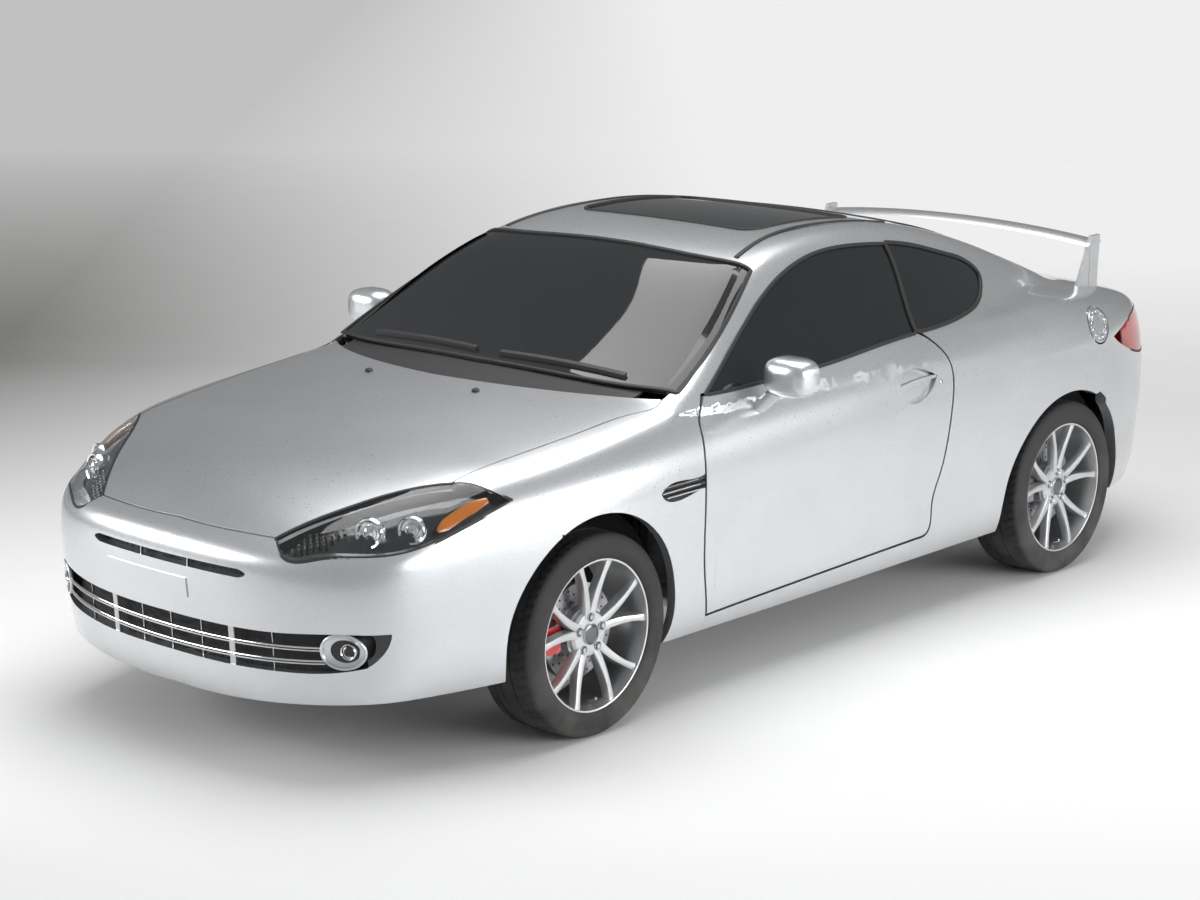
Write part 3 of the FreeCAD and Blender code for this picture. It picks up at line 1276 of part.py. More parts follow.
def make_spoiler():
    """High arched wing on a stand at each end."""
    section = Outline(WING_SECTION_SHARES, "side")
    rings = []
    for across, up in WING_SHARES:
        ring = section.prism(0, size.overrun).Faces[0]
        wires = []
        for run in section.runs:
            points = [Vector(across * half_width, a, b + up * height) for a, b in run]
            curve = Part.BSplineCurve()
            curve.interpolate(points)
            wires.append(curve.toShape())
        rings.append(Part.Wire(wires))
    blade = Part.makeLoft(rings, True, False)
    stand_x = half_width * WING_SHARES[-1][0]
    half = size.wing_stand_width / 2
    stand = cuboid((stand_x - half * 2, length * .3960, height * .6),
                   (stand_x, length * .4090, height * .8290))
    deck = skin(tail_rays(Curve([(0, .72), (1, .72)]), 60, 30), -size.seat_gap, size.overrun * 2)
    stand = stand.cut(deck)
    stand = max(stand.Solids, key=lambda solid: solid.BoundBox.ZMax)
    piece("rear_spoiler", fused(blade, stand, mirrored(stand)))


def make_floor():
    """Floor, tunnel, firewall, frame rails, strut towers and load floor as one welded shell."""
    floor_top = "floor_height + floor_wall"
    floor = block("floor_plate", ("-floor_half_width", "floor_half_width"),
                  ("floor_front_y", "floor_rear_y"), ("floor_height", floor_top))
    hump = block("tunnel_outer", ("-tunnel_half_width", "tunnel_half_width"),
                 ("floor_front_y", "floor_rear_y"), ("floor_height", "tunnel_height"))
    hollow = block("tunnel_inner",
                   ("tunnel_wall - tunnel_half_width", "tunnel_half_width - tunnel_wall"),
                   ("floor_front_y - overrun", "floor_rear_y - tunnel_wall"),
                   ("floor_height - overrun", "tunnel_height - tunnel_wall"))
    firewall = block("firewall", ("-firewall_half_width", "firewall_half_width"),
                     ("floor_front_y", "floor_front_y + firewall_wall"),
                     ("floor_height", "firewall_top"))
    riser = block("seat_riser", ("-load_floor_half_width", "load_floor_half_width"),
                  ("floor_rear_y - floor_wall", "floor_rear_y"),
                  ("floor_height", "load_floor_height"))
    load = block("load_floor", ("-load_floor_half_width", "load_floor_half_width"),
                 ("floor_rear_y - floor_wall", "load_floor_rear_y"),
                 ("load_floor_height", "load_floor_height + floor_wall"))
    solids = [floor, hump, firewall, riser, load]
    for side, sign in (("left", ""), ("right", "-")):
        low, high = ("rail_inner_x", "rail_outer_x")
        span = (low, high) if side == "left" else (f"-{high}", f"-{low}")
        solids.append(block(f"frame_rail_{side}", span,
                            ("support_front_y", "floor_front_y"), ("rail_low", "rail_top")))
        low, high = ("rail_outer_x - wing_panel_wall", "rail_outer_x")
        span = (low, high) if side == "left" else (f"-({high})", f"-({low})")
        solids.append(block(f"wing_panel_{side}", span,
                            ("wing_panel_front_y", "floor_front_y"), ("rail_low", "wing_panel_top")))
        low, high = ("load_floor_half_width - floor_wall", "load_floor_half_width")
        span = (low, high) if side == "left" else (f"-({high})", f"-({low})")
        solids.append(block(f"wheelhouse_{side}", span,
                            ("wheelhouse_front_y", "wheelhouse_rear_y"),
                            ("load_floor_height", "wheelhouse_top")))
    shell = difference("floor_shell", union("floor_solids", solids), hollow)
    document.recompute()
    rays = side_rays(length * -.32, length * -.26, 0, 34, 6, 14)
    inner = skin(rays, size.fender_wall + size.seat_gap, half_width)
    shelf = cuboid((size.rail_outer_x - size.wing_panel_wall,
                    front_axle_y - size.tower_half_length, size.tower_top - size.tower_wall),
                   (half_width, front_axle_y + size.tower_half_length, size.tower_top))
    shelf = largest(shelf.common(inner))
    wall = cuboid((size.rail_outer_x - size.wing_panel_wall,
                   front_axle_y - size.tower_half_length, size.rail_top),
                  (size.rail_outer_x, front_axle_y + size.tower_half_length, size.tower_top))
    tower = fused(shelf, wall)
    top_bar = cuboid((-size.rail_outer_x, size.support_front_y, size.rail_top),
                     (size.rail_outer_x, size.support_front_y + size.support_bar,
                      size.support_top))
    window = cuboid((-size.rail_inner_x, size.support_front_y - size.overrun, 0),
                    (size.rail_inner_x, size.support_front_y + size.overrun,
                     size.support_top - size.support_bar))
    bumper_inner = surface_point(Vector(size.rail_outer_x, length * -.3185, size.rail_low),
                                 Vector(0, -1, 0), size.bumper_wall + size.seat_gap)
    tip = cuboid((size.rail_inner_x, bumper_inner.y + size.seat_gap * 3, size.rail_low),
                 (size.rail_outer_x, size.support_front_y + size.support_bar, size.rail_top))
    tip = tip.cut(skin(end_rays(-1, 40, height * .32, height * .44, 6, 15), -size.overrun,
                       size.bumper_wall + size.seat_gap))
    tip = largest(tip)
    tail = surface_point(Vector(0, length * .3185, size.load_floor_height), Vector(0, 1, 0),
                         size.bumper_wall)
    sill_half = size.load_floor_half_width - size.floor_wall * 3
    sill = cuboid((-sill_half, size.load_floor_rear_y, size.load_floor_height),
                  (sill_half, tail.y, size.load_floor_height + size.floor_wall))
    sill = largest(sill.cut(skin(end_rays(1, 50, height * .30, height * .38, 6, 19),
                                 -size.overrun, size.bumper_wall + size.seat_gap)))
    whole = fused(shell.Shape, tower, mirrored(tower), top_bar.cut(window), tip, mirrored(tip),
                  sill)
    piece("floor_pan", largest(whole))


def make_liners():
    """Wheel-arch liners, open for the struts and below the axles."""
    liners = []
    for y, hole in ((front_axle_y, True), (rear_axle_y, False)):
        inner_x = size.rail_outer_x if hole else size.load_floor_half_width
        inner_x += size.seat_gap
        outer = rod(size.liner_radius + size.liner_wall, (inner_x, y, axle_height),
                    (size.liner_outer_x, y, axle_height))
        inside = rod(size.liner_radius, (0, y, axle_height), (far, y, axle_height))
        below = cuboid((0, -far, -far), (far, far, axle_height - size.liner_foot))
        liner = cut_all(outer, inside, below)
        if hole:
            top = Vector(size.kingpin_top_x, y, size.kingpin_top_height)
            liner = liner.cut(rod(size.strut_hole_radius, (top.x, y, axle_height), top))
        liners.append(liner)
        liners.append(mirrored(liner))
    piece("arch_liners", Part.makeCompound(liners))


def kingpin():
    """Low and high points of the left steering axis."""
    low = Vector(size.kingpin_low_x, front_axle_y, size.kingpin_low_height)
    high = Vector(size.kingpin_top_x, front_axle_y, size.kingpin_top_height)
    return low, high


def brake_caliper(y, toward):
    """Caliper round the disc, with its bracket to the upright; toward is -1 or 1 along Y."""
    inner = size.caliper_inner_radius
    outer = size.caliper_outer_radius
    tall = size.caliper_half_height
    near, past = sorted((y + toward * inner, y + toward * outer))
    block_shape = cuboid((size.caliper_inner_x, near, axle_height - tall),
                         (size.caliper_outer_x, past, axle_height + tall))
    disc_middle = wheel_x + size.disc_offset
    half = size.disc_thickness / 2 + size.caliper_slot_gap
    slot = rod(size.disc_radius + size.caliper_slot_gap, (disc_middle - half, y, axle_height),
               (disc_middle + half, y, axle_height))
    bracket = cuboid((size.upright_inner_x + size.strap_thickness, min(near, y),
                      axle_height - size.strap_thickness),
                     (size.caliper_inner_x + size.strap_thickness, max(past, y),
                      axle_height + size.strap_thickness))
    bracket = bracket.cut(rod(inner + size.strap_thickness / 2, (size.upright_outer_x, y,
                                                              axle_height),
                              (far, y, axle_height)))
    return fused(block_shape.cut(slot), bracket)


def make_knuckles():
    """Steering knuckles with spindle, caliper, strut tube and spring."""
    low, high = kingpin()
    axis = high - low
    axis.normalize()
    y = front_axle_y
    half = size.upright_half_length
    boss = rod(size.boss_radius, low + axis * (size.ball_radius + size.seat_gap),
               low + axis * size.boss_height)
    upright = cuboid((size.upright_inner_x, y - half, size.upright_low_height),
                     (size.upright_outer_x, y + half, size.upright_top_height))
    boss_link = cuboid((size.upright_inner_x, y - size.boss_radius,
                        size.kingpin_low_height + size.boss_radius),
                       (size.kingpin_low_x, y + size.boss_radius,
                        size.kingpin_low_height + size.boss_height + size.boss_radius))
    ball_space = rod(size.boss_radius * 2, low - axis * size.overrun,
                     low + axis * (size.ball_radius + size.seat_gap))
    spindle = rod(size.spindle_radius, (size.upright_inner_x, y, axle_height),
                  (wheel_x + size.hub_offset + size.hub_thickness - size.seat_gap, y,
                   axle_height))
    bracket = cuboid((size.strut_low_x - size.strut_radius / 2, y - size.strut_bracket_half_length,
                      size.strut_low_height),
                     (size.upright_inner_x + size.strap_thickness,
                      y + size.strut_bracket_half_length, size.upright_top_height))
    foot = Vector(size.strut_low_x, y, size.strut_low_height)
    top = high - (high - foot) * (size.strut_top_space / (high - foot).Length)
    tube = rod(size.strut_radius, foot, top)
    share = (size.spring_low_height - foot.z) / (high.z - foot.z)
    spring_low = foot + (high - foot) * share
    turns = []
    run = (size.spring_top_height - size.spring_low_height) / size.spring_turns
    rise = (high - foot).normalize()
    for i in range(int(size.spring_turns) + 1):
        turns.append(Part.makeTorus(size.spring_radius - size.spring_wire, size.spring_wire,
                                    spring_low + rise * (run * i), rise))
    seat = rod(size.spring_radius - size.spring_wire, spring_low - rise * size.spring_wire,
               spring_low)
    cap = rod(size.spring_radius - size.spring_wire,
              spring_low + rise * (run * size.spring_turns),
              spring_low + rise * (run * size.spring_turns + size.spring_wire))
    coils = Part.makeCompound(turns)
    damper = rod(size.spring_radius - size.spring_wire * 1.5, spring_low,
                 spring_low + rise * (run * size.spring_turns))
    knuckle = fused(upright, boss_link.cut(ball_space), boss, spindle, bracket, tube, seat, cap,
                    damper, coils, brake_caliper(y, -1))
    knuckle = largest(knuckle)
    piece("knuckle_left", knuckle)
    piece("knuckle_right", mirrored(knuckle))


def make_front_suspension():
    """Subframe with its mounts, the lower arms and their ball joints."""
    ring = difference("subframe_ring",
                      block("subframe_outer", ("-subframe_half_width", "subframe_half_width"),
                            ("subframe_front_y", "subframe_rear_y"),
                            ("subframe_low", "subframe_low + subframe_wall")),
                      block("subframe_inner",
                            ("subframe_rail - subframe_half_width",
                             "subframe_half_width - subframe_rail"),
                            ("subframe_front_y + subframe_rail", "subframe_rear_y - subframe_rail"),
                            ("subframe_low - overrun", "subframe_low + overrun")))
    document.recompute()
    low, high = kingpin()
    parts = [ring.Shape]
    for y in (size.subframe_front_y, size.subframe_rear_y - size.mount_pad):
        pad = cuboid((size.rail_inner_x, y, size.subframe_low),
                     (size.rail_inner_x + size.mount_pad, y + size.mount_pad,
                      size.rail_low - size.seat_gap))
        parts += [pad, mirrored(pad)]
    inner = size.arm_inner_half_width
    outer = size.arm_outer_half_width
    start_x = size.subframe_half_width - size.subframe_rail / 2
    top_z = size.subframe_low + size.subframe_wall - size.arm_thickness
    corners = [Vector(start_x, front_axle_y - inner, top_z), Vector(start_x, front_axle_y + inner,
                                                                     top_z),
               Vector(low.x + outer, front_axle_y + outer, low.z - size.ball_radius),
               Vector(low.x + outer, front_axle_y - outer, low.z - size.ball_radius)]
    plate = Part.Face(Part.makePolygon(corners + corners[:1]))
    arm = plate.extrude(Vector(0, 0, -size.arm_thickness))
    ball = Part.makeSphere(size.ball_radius, low)
    stem = rod(size.ball_radius * .6, low, low - Vector(0, 0, size.ball_radius * 1.5))
    arm = fused(arm, ball, stem)
    parts += [arm, mirrored(arm)]
    piece("front_suspension", largest(fused(*parts)))


def make_rear_suspension():
    """Twist beam, trailing links, hub carriers with spindles, dampers and rear calipers."""
    y = rear_axle_y
    carrier = cuboid((size.carrier_inner_x + size.link_half_width * 2, y - size.carrier_half_length,
                      size.carrier_low),
                     (size.carrier_outer_x, y + size.carrier_half_length, size.carrier_top))
    spindle = rod(size.spindle_radius, (size.carrier_inner_x, y, axle_height),
                  (wheel_x + size.hub_offset + size.hub_thickness - size.seat_gap, y,
                   axle_height))
    beam = rod(size.beam_radius, (-size.carrier_outer_x + size.strap_thickness,
                                  y - size.carrier_half_length * 1.2, axle_height),
               (size.carrier_outer_x - size.strap_thickness, y - size.carrier_half_length * 1.2,
                axle_height))
    caliper = brake_caliper(y, -1)
    link = cuboid((size.damper_x - size.link_half_width, size.link_front_y, size.link_low),
                  (size.damper_x + size.link_half_width, y, size.link_low + size.mount_pad))
    hanger = cuboid((size.damper_x - size.link_half_width, size.link_front_y, size.link_low),
                    (size.damper_x + size.link_half_width,
                     size.link_front_y + size.mount_pad,
                     size.load_floor_height - size.seat_gap))
    damper = rod(size.damper_radius, (size.damper_x - size.strap_thickness, y, axle_height),
                 (size.damper_x - size.strap_thickness, y,
                  size.load_floor_height - size.seat_gap))
    left = fused(carrier, spindle, caliper, link, hanger, damper)
    piece("rear_suspension", largest(fused(left, mirrored(left), beam)))


def make_engine():
    """Engine and gearbox as one block at their real place, on two mounts at the frame rails."""
    body = document.addObject("Part::Box", "engine_body")
    bind(body, "Length", "engine_half_width * 2")
    bind(body, "Width", "engine_rear_y - engine_front_y")
    bind(body, "Height", "engine_top - engine_low")
    bind(body, ".Placement.Base.x", "-engine_half_width")
    bind(body, ".Placement.Base.y", "engine_front_y")
    bind(body, ".Placement.Base.z", "engine_low")
    mounts = block("engine_mounts", ("seat_gap - rail_inner_x", "rail_inner_x - seat_gap"),
                   ("(engine_front_y + engine_rear_y - mount_thickness) / 2",
                    "(engine_front_y + engine_rear_y + mount_thickness) / 2"),
                   ("rail_low", "rail_low + mount_thickness"))
    keep("engine", union("engine", [body, mounts]))


def make_radiator():
    """Radiator hung in the frame behind the bumper."""
    core = block("radiator_core", ("-radiator_half_width", "radiator_half_width"),
                 ("radiator_front_y", "radiator_rear_y"), ("radiator_low", "rail_top"))
    ears = block("radiator_ears", ("seat_gap - rail_inner_x", "rail_inner_x - seat_gap"),
                 ("radiator_front_y", "radiator_rear_y"),
                 ("rail_top - support_bar", "rail_top"))
    keep("radiator", union("radiator", [core, ears]))


def pipe_run(radius, points):
    """Round pipe through points, with ball-shaped knees."""
    solids = [rod(radius, start, end) for start, end in zip(points, points[1:])]
    knees = [Part.makeSphere(radius, Vector(*point)) for point in points[1:-1]]
    return fused(*solids, *knees)


def make_exhaust():
    """Exhaust pipe under the tunnel, cross muffler and two twin tailpipes."""
    low = size.exhaust_height
    high = size.subframe_low + size.subframe_wall + size.exhaust_radius + size.pocket_gap
    past = size.muffler_front_y + size.exhaust_radius
    pipe = pipe_run(size.exhaust_radius, [
        (0, size.engine_rear_y + size.seat_gap, high), (0, size.exhaust_front_y, high),
        (0, size.exhaust_bend_y, high), (0, size.floor_rear_y - size.overrun, low),
        (0, size.wheelhouse_rear_y - size.overrun, low), (0, past, size.tailpipe_height)])
    muffler = cuboid((-size.muffler_half_width, size.muffler_front_y, size.muffler_low),
                     (size.muffler_half_width, size.muffler_rear_y, size.muffler_top))
    long_edges = [edge for edge in muffler.Edges
                  if abs(edge.BoundBox.XLength - size.muffler_half_width * 2) < 1]
    muffler = muffler.makeFillet(size.muffler_round, long_edges)
    whole = fused(pipe, muffler)
    bores = []
    for x in (-size.tailpipe_x, size.tailpipe_x):
        for side in (-1, 1):
            place = x + side * size.tailpipe_pitch / 2 - math.copysign(size.tailpipe_pitch / 2, x)
            start = (place, size.muffler_rear_y - size.muffler_round, size.tailpipe_height)
            tip_y = size.tailpipe_rear_y - size.tailpipe_tip_length
            tip = (place, tip_y, size.tailpipe_height)
            mouth = (place, tip_y + size.tailpipe_wall, size.tailpipe_height)
            end = (place, size.tailpipe_rear_y, size.tailpipe_height)
            whole = fused(whole, rod(size.tailpipe_neck_radius, start, mouth),
                          rod(size.tailpipe_radius, tip, end))
            bores.append(rod(size.tailpipe_radius - size.tailpipe_wall, mouth, end))
    half = size.hanger_size / 2
    for x in (-size.tailpipe_x / 2, size.tailpipe_x / 2):
        middle = (size.muffler_front_y + size.muffler_rear_y) / 2
        whole = whole.fuse(cuboid((x - half, middle - half, size.muffler_top - half),
                                  (x + half, middle + half,
                                   size.load_floor_height - size.seat_gap)))
    piece("exhaust", largest(cut_all(whole, *bores)))


def tyre_profile():
    """Corners of the tyre's section, as expressions across the wheel and out from its axis."""
    bead = "rim_width / 2"
    seat = "rim_diameter / 2 + seat_gap"
    side = "tyre_width / 2"
    tread = "tread_width / 2"
    top = "tyre_diameter / 2"
    left = [(bead, seat), (side, "bulge_radius"),
            (f"{tread} + shoulder_drop", f"{top} - shoulder_drop"), (tread, top)]
    right = [(f"-({across})", out) for across, out in reversed(left)]
    return left + right


WHEEL_PLACES = {
    "fl": (1, front_axle_y), "fr": (-1, front_axle_y),
    "rl": (1, rear_axle_y), "rr": (-1, rear_axle_y),
}


def wheel_placement(side, y):
    """Place of a wheel; right wheels are left ones turned half round."""
    return Placement(Vector(side * wheel_x, y, axle_height), Rotation(Vector(0, 0, 1),
                                                                     0 if side > 0 else 180))


def make_tyres():
    """Tyres turned about their axles."""
    for corner, (side, y) in WHEEL_PLACES.items():
        tyre = revolved(f"tyre_{corner}", tyre_profile())
        tyre.Placement = wheel_placement(side, y)
        keep(f"tyre_{corner}", tyre)


def make_rims():
    """Alloy rims with five twin spokes, each with its brake disc bolted to the hub."""
    lip = size.rim_diameter / 2
    half = size.rim_width / 2
    hub_in = size.hub_offset
    hub_out = hub_in + size.hub_thickness
    barrel = rod(lip, (-half, 0, 0), (half, 0, 0))
    barrel = barrel.cut(rod(lip - size.rim_wall, (-half, 0, 0), (half, 0, 0)))
    spokes = []
    root_radius = size.hub_radius * .75
    tip_radius = lip - size.rim_wall / 2
    front = half - size.spoke_dish
    section = [Vector(hub_out - size.spoke_depth, root_radius, 0),
               Vector(hub_out, root_radius, 0),
               Vector((hub_out + front) / 2 + size.spoke_dish / 2, tip_radius * .62, 0),
               Vector(front, tip_radius, 0),
               Vector(front - size.spoke_depth, tip_radius, 0)]
    plate = Part.Face(Part.makePolygon(section + section[:1]))
    bar = plate.extrude(Vector(0, 0, size.spoke_width))
    bar.translate(Vector(0, 0, -size.spoke_width / 2))
    spread = math.degrees(math.atan2(size.spoke_spread, tip_radius))
    for i in range(5):
        for side in (-1, 1):
            spoke = bar.copy()
            spoke.rotate(Vector(0, 0, 0), Vector(1, 0, 0), side * spread)
            spoke.rotate(Vector(0, 0, 0), Vector(1, 0, 0), 72 * i)
            spokes.append(spoke)
    hub = rod(size.hub_radius, (hub_in, 0, 0), (hub_out, 0, 0))
    cap = rod(size.cap_radius, (hub_out, 0, 0), (hub_out + size.cap_thickness, 0, 0))
    bore = rod(size.spindle_radius + size.running_gap, (hub_in - half, 0, 0), (hub_out, 0, 0))
    disc_in = size.disc_offset - size.disc_thickness / 2
    disc_out = disc_in + size.disc_thickness
    disc = rod(size.disc_radius, (disc_in, 0, 0), (disc_out, 0, 0))
    hat = rod(size.disc_hat_radius, (disc_in, 0, 0), (hub_in + size.disc_hat_wall, 0, 0))
    hollow = rod(size.disc_hat_radius - size.disc_hat_wall, (disc_in - half, 0, 0),
                 (hub_in, 0, 0))
    rotor = fused(disc, hat).cut(hollow)
    wheel = largest(fused(barrel, hub, rotor, *spokes).cut(bore).fuse(cap))
    wheel = wheel.removeSplitter()
    for corner, (side, y) in WHEEL_PLACES.items():
        piece(f"rim_{corner}", wheel, wheel_placement(side, y))


def floor_top():
    """Height of the floor that the cabin stands on."""
    return size.floor_height + size.floor_wall + size.seat_gap


def make_dashboard():
    """Dashboard with its column, joined to the centre console."""
    wide = size.dash_half_width
    board = Outline(DASH_SHARES, "side").prism(-wide, wide)
    console = cuboid((-size.console_half_width, size.console_front_y,
                      size.tunnel_height + size.seat_gap),
                     (size.console_half_width, size.console_rear_y, size.console_top))
    centre, axis = steering_axis()
    start = centre - axis * (size.steering_hub_depth / 2 + size.pocket_gap)
    column = rod(size.column_radius, start - axis * size.column_length, start)
    bore = rod(size.column_pin_radius + size.running_gap,
               start - axis * (size.column_pin_length + size.pocket_gap), start)
    piece("dashboard", largest(fused(board, console, column).cut(bore)))


def steering_axis():
    """Centre of the steering wheel and the direction of its column."""
    tilt = math.radians(size.steering_tilt)
    centre = Vector(size.driver_x, size.steering_y, size.steering_height)
    return centre, Vector(0, math.cos(tilt), math.sin(tilt))


def make_steering_wheel():
    """Steering wheel with three spokes, and the pin that turns in the column."""
    centre, axis = steering_axis()
    half = size.steering_hub_depth / 2
    ring = Part.makeTorus(size.steering_radius - size.steering_grip, size.steering_grip,
                          centre, axis)
    hub = rod(size.steering_hub_radius, centre - axis * half, centre + axis * half)
    pin = rod(size.column_pin_radius, centre - axis * (half + size.column_pin_length), centre)
    thick = size.steering_spoke_depth / 2
    wide = size.steering_spoke_width / 2
    spokes = []
    for turn in (0, 180, 270):
        bar = cuboid((0, -thick, -wide), (size.steering_radius - size.steering_grip, thick, wide))
        bar.rotate(Vector(0, 0, 0), Vector(0, 1, 0), -turn)
        bar.rotate(Vector(0, 0, 0), Vector(1, 0, 0), size.steering_tilt)
        bar.translate(centre)
        spokes.append(bar)
    piece("steering_wheel", largest(fused(ring, hub, pin, *spokes)))


def make_seats():
    """Two bucket seats with headrests and the rear bench."""
    half = size.seat_half_width
    x = size.driver_x
    cushion = Outline(CUSHION_SHARES, "side").prism(x - half, x + half)
    back = Outline(BACKREST_SHARES, "side").prism(x - half, x + half)
    head = Outline(HEADREST_SHARES, "side").prism(x - size.head_half_width,
                                                  x + size.head_half_width)
    seat = fused(cushion, back, head)
    feet = cuboid((x - half * .7, seat.BoundBox.YMin + size.overrun, floor_top()),
                  (x + half * .7, seat.BoundBox.YMax - size.overrun * 4,
                   size.floor_height + size.overrun * 1.6))
    seat = fused(seat, feet)
    piece("front_seats", both(largest(seat)))
    wide = size.rear_seat_half_width
    bench = Outline(REAR_CUSHION_SHARES, "side").prism(-wide, wide)
    back = Outline(REAR_BACK_SHARES, "side").prism(-wide, wide)
    tunnel = size.tunnel_half_width + size.seat_gap
    under = [cuboid((-far, -far, 0), (far, far, floor_top())),
             cuboid((-tunnel, -far, 0), (tunnel, far, size.tunnel_height + size.seat_gap))]
    riser = cuboid((-far, size.floor_rear_y - size.floor_wall - size.seat_gap, 0),
                   (far, far, size.load_floor_height + size.floor_wall + size.seat_gap))
    piece("rear_seat", largest(cut_all(fused(bench, back), riser, *under)))


def make_wipers():
    """Wiper blades lying above the lower edge of the windshield."""
    edge = Curve([(-.26, .86), (-.1786, .85), (-.0947, .755), (-.05, .67)])
    rays = top_rays(edge, length * -.2100, length * -.1700, 8, 15)
    depth = size.glass_depth - size.seat_gap
    strip = skin(rays, depth - size.wiper_thickness, depth)
    blade = largest(strip.common(Outline(WIPER_SHARES, "plan").prism(0, height)))
    piece("wipers", both(blade))


def check_objects():
    """Stop with a named fault where an object failed or a solid is not sound."""
    document.recompute()
    for item in document.Objects:
        states = set(item.State)
        if states & {"Invalid", "Error"}:
            raise RuntimeError(f"{item.Name} could not be rebuilt: {sorted(states)}")
        if item.isDerivedFrom("Part::Feature"):
            if item.Shape.isNull() or not item.Shape.isValid():
                raise RuntimeError(f"{item.Name} has no sound shape")


def write_parts():
    """Write each sub-part as a STEP file of its own."""
    os.makedirs("parts", exist_ok=True)
    for name, item in nodes.items():
        if not item.Shape.Solids:
            raise RuntimeError(f"{name} holds no solid")
        item.Shape.exportStep(os.path.join("parts", f"{name}.step"))


make_hood()
make_fenders()
make_side_vents()
make_front_bumper()
make_grille()
make_fog_lamps()
make_headlamps()
make_windshield()
make_roof()
make_hatch()
make_fuel_flap()
make_body_sides()
make_doors()
make_side_glass()
make_mirrors()
make_rear_bumper()
make_tail_lamps()
make_spoiler()
make_floor()
make_liners()
make_knuckles()
make_front_suspension()
make_rear_suspension()
make_engine()
make_radiator()
make_exhaust()
make_tyres()
make_rims()
make_dashboard()
make_steering_wheel()
make_seats()
make_wipers()
check_objects()
write_parts()
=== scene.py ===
"""Looks of a silver two-door coupe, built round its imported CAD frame.

Lengths are metres in the part's own frame: +X is the car's left side, -Y its front and +Z up.
Every CAD panel is shown through a merged copy whose normals follow the body form itself, so that
reflections run smoothly over the seams. Fittings that the CAD leaves out, such as tread, lamp
inserts, rubber strips, wheel nuts and padded seats, are made here.
"""

from __future__ import annotations

import json
import logging
import math
from collections.abc import Callable
from dataclasses import dataclass, field
from enum import Enum

import bpy
import numpy as np
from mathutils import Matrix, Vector

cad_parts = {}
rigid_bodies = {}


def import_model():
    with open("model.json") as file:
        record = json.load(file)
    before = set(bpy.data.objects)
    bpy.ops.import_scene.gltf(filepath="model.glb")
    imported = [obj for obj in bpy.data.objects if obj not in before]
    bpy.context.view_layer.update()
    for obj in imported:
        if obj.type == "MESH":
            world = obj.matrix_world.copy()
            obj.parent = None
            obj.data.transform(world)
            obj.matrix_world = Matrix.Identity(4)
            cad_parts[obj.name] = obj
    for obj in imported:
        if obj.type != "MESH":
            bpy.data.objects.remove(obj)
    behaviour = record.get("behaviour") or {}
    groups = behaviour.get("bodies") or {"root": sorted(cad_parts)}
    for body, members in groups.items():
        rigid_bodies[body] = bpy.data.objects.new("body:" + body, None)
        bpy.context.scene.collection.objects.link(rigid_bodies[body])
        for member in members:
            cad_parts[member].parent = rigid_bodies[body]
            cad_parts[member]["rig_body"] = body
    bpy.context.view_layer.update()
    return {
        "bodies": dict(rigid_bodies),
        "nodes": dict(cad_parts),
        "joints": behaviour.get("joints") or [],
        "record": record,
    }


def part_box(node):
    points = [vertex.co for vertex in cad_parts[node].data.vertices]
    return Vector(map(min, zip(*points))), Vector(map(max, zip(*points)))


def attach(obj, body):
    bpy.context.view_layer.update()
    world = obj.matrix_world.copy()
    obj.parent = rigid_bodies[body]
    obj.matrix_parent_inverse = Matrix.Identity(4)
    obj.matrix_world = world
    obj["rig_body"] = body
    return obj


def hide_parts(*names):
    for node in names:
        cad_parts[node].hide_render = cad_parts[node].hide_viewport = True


log = logging.getLogger("coupe")

Array = np.ndarray
Number = float | np.ndarray
Socket = bpy.types.NodeSocket

LENGTH = 4.395
HALF_WIDTH = .88
HEIGHT = 1.34
AXLE_HEIGHT = .3125
WHEEL_X = .745
FRONT_AXLE_Y = -1.2675
REAR_AXLE_Y = 1.2625


class Relief(Enum):
    """Fine surface relief that a finish can have."""

    SMOOTH = "smooth"
    GRAIN = "grain"
    CAST = "cast"
    BRUSHED = "brushed"
    WOVEN = "woven"
    PEEL = "peel"


@dataclass(frozen=True)
class Finish:
    """Look of one surface.

    Attributes:
        name: material name.
        colour: linear base colour.
        roughness: mean roughness.
        metallic: share of metal.
        coat: weight of the clear coat.
        ior: index of refraction.
        transmission: share of light let through.
        sheen: weight of the cloth sheen.
        mottle: share by which the colour varies.
        grime: share of dust that gathers low on the car.
        relief: kind of fine relief.
        depth: height of the relief in metres.
    """

    name: str
    colour: tuple
    roughness: float
    metallic: float = 0.0
    coat: float = 0.0
    ior: float = 1.5
    transmission: float = 0.0
    sheen: float = 0.0
    mottle: float = .06
    grime: float = 0.0
    relief: Relief = Relief.SMOOTH
    depth: float = 0.0


PAINT = Finish("silver_paint", (.60, .615, .63), .3, metallic=.85, coat=1.0, mottle=.025,
               grime=.1, relief=Relief.PEEL, depth=.00002)
RUBBER = Finish("black_rubber", (.012, .012, .013), .55, grime=.15, relief=Relief.GRAIN,
                depth=.0001)
TRIM = Finish("black_plastic", (.016, .016, .018), .5, grime=.15, relief=Relief.GRAIN,
              depth=.00015)
GLOSS_BLACK = Finish("gloss_black", (.008, .008, .009), .12, coat=.6, mottle=.02)
CABIN = Finish("cabin_trim", (.022, .022, .024), .6, relief=Relief.GRAIN, depth=.0002)
TYRE = Finish("tyre_rubber", (.017, .017, .018), .72, grime=.35, relief=Relief.GRAIN,
              depth=.00025)
ALLOY = Finish("wheel_silver", (.60, .61, .62), .3, metallic=.85, coat=.7, grime=.12,
               relief=Relief.PEEL, depth=.00002)
DISC = Finish("brake_disc", (.42, .42, .43), .3, metallic=1.0, relief=Relief.BRUSHED,
              depth=.00006)
CALIPER = Finish("red_caliper", (.42, .012, .012), .35, coat=.6, relief=Relief.CAST,
                 depth=.0002)
CHROME = Finish("chrome", (.78, .79, .8), .09, metallic=1.0, mottle=.02)
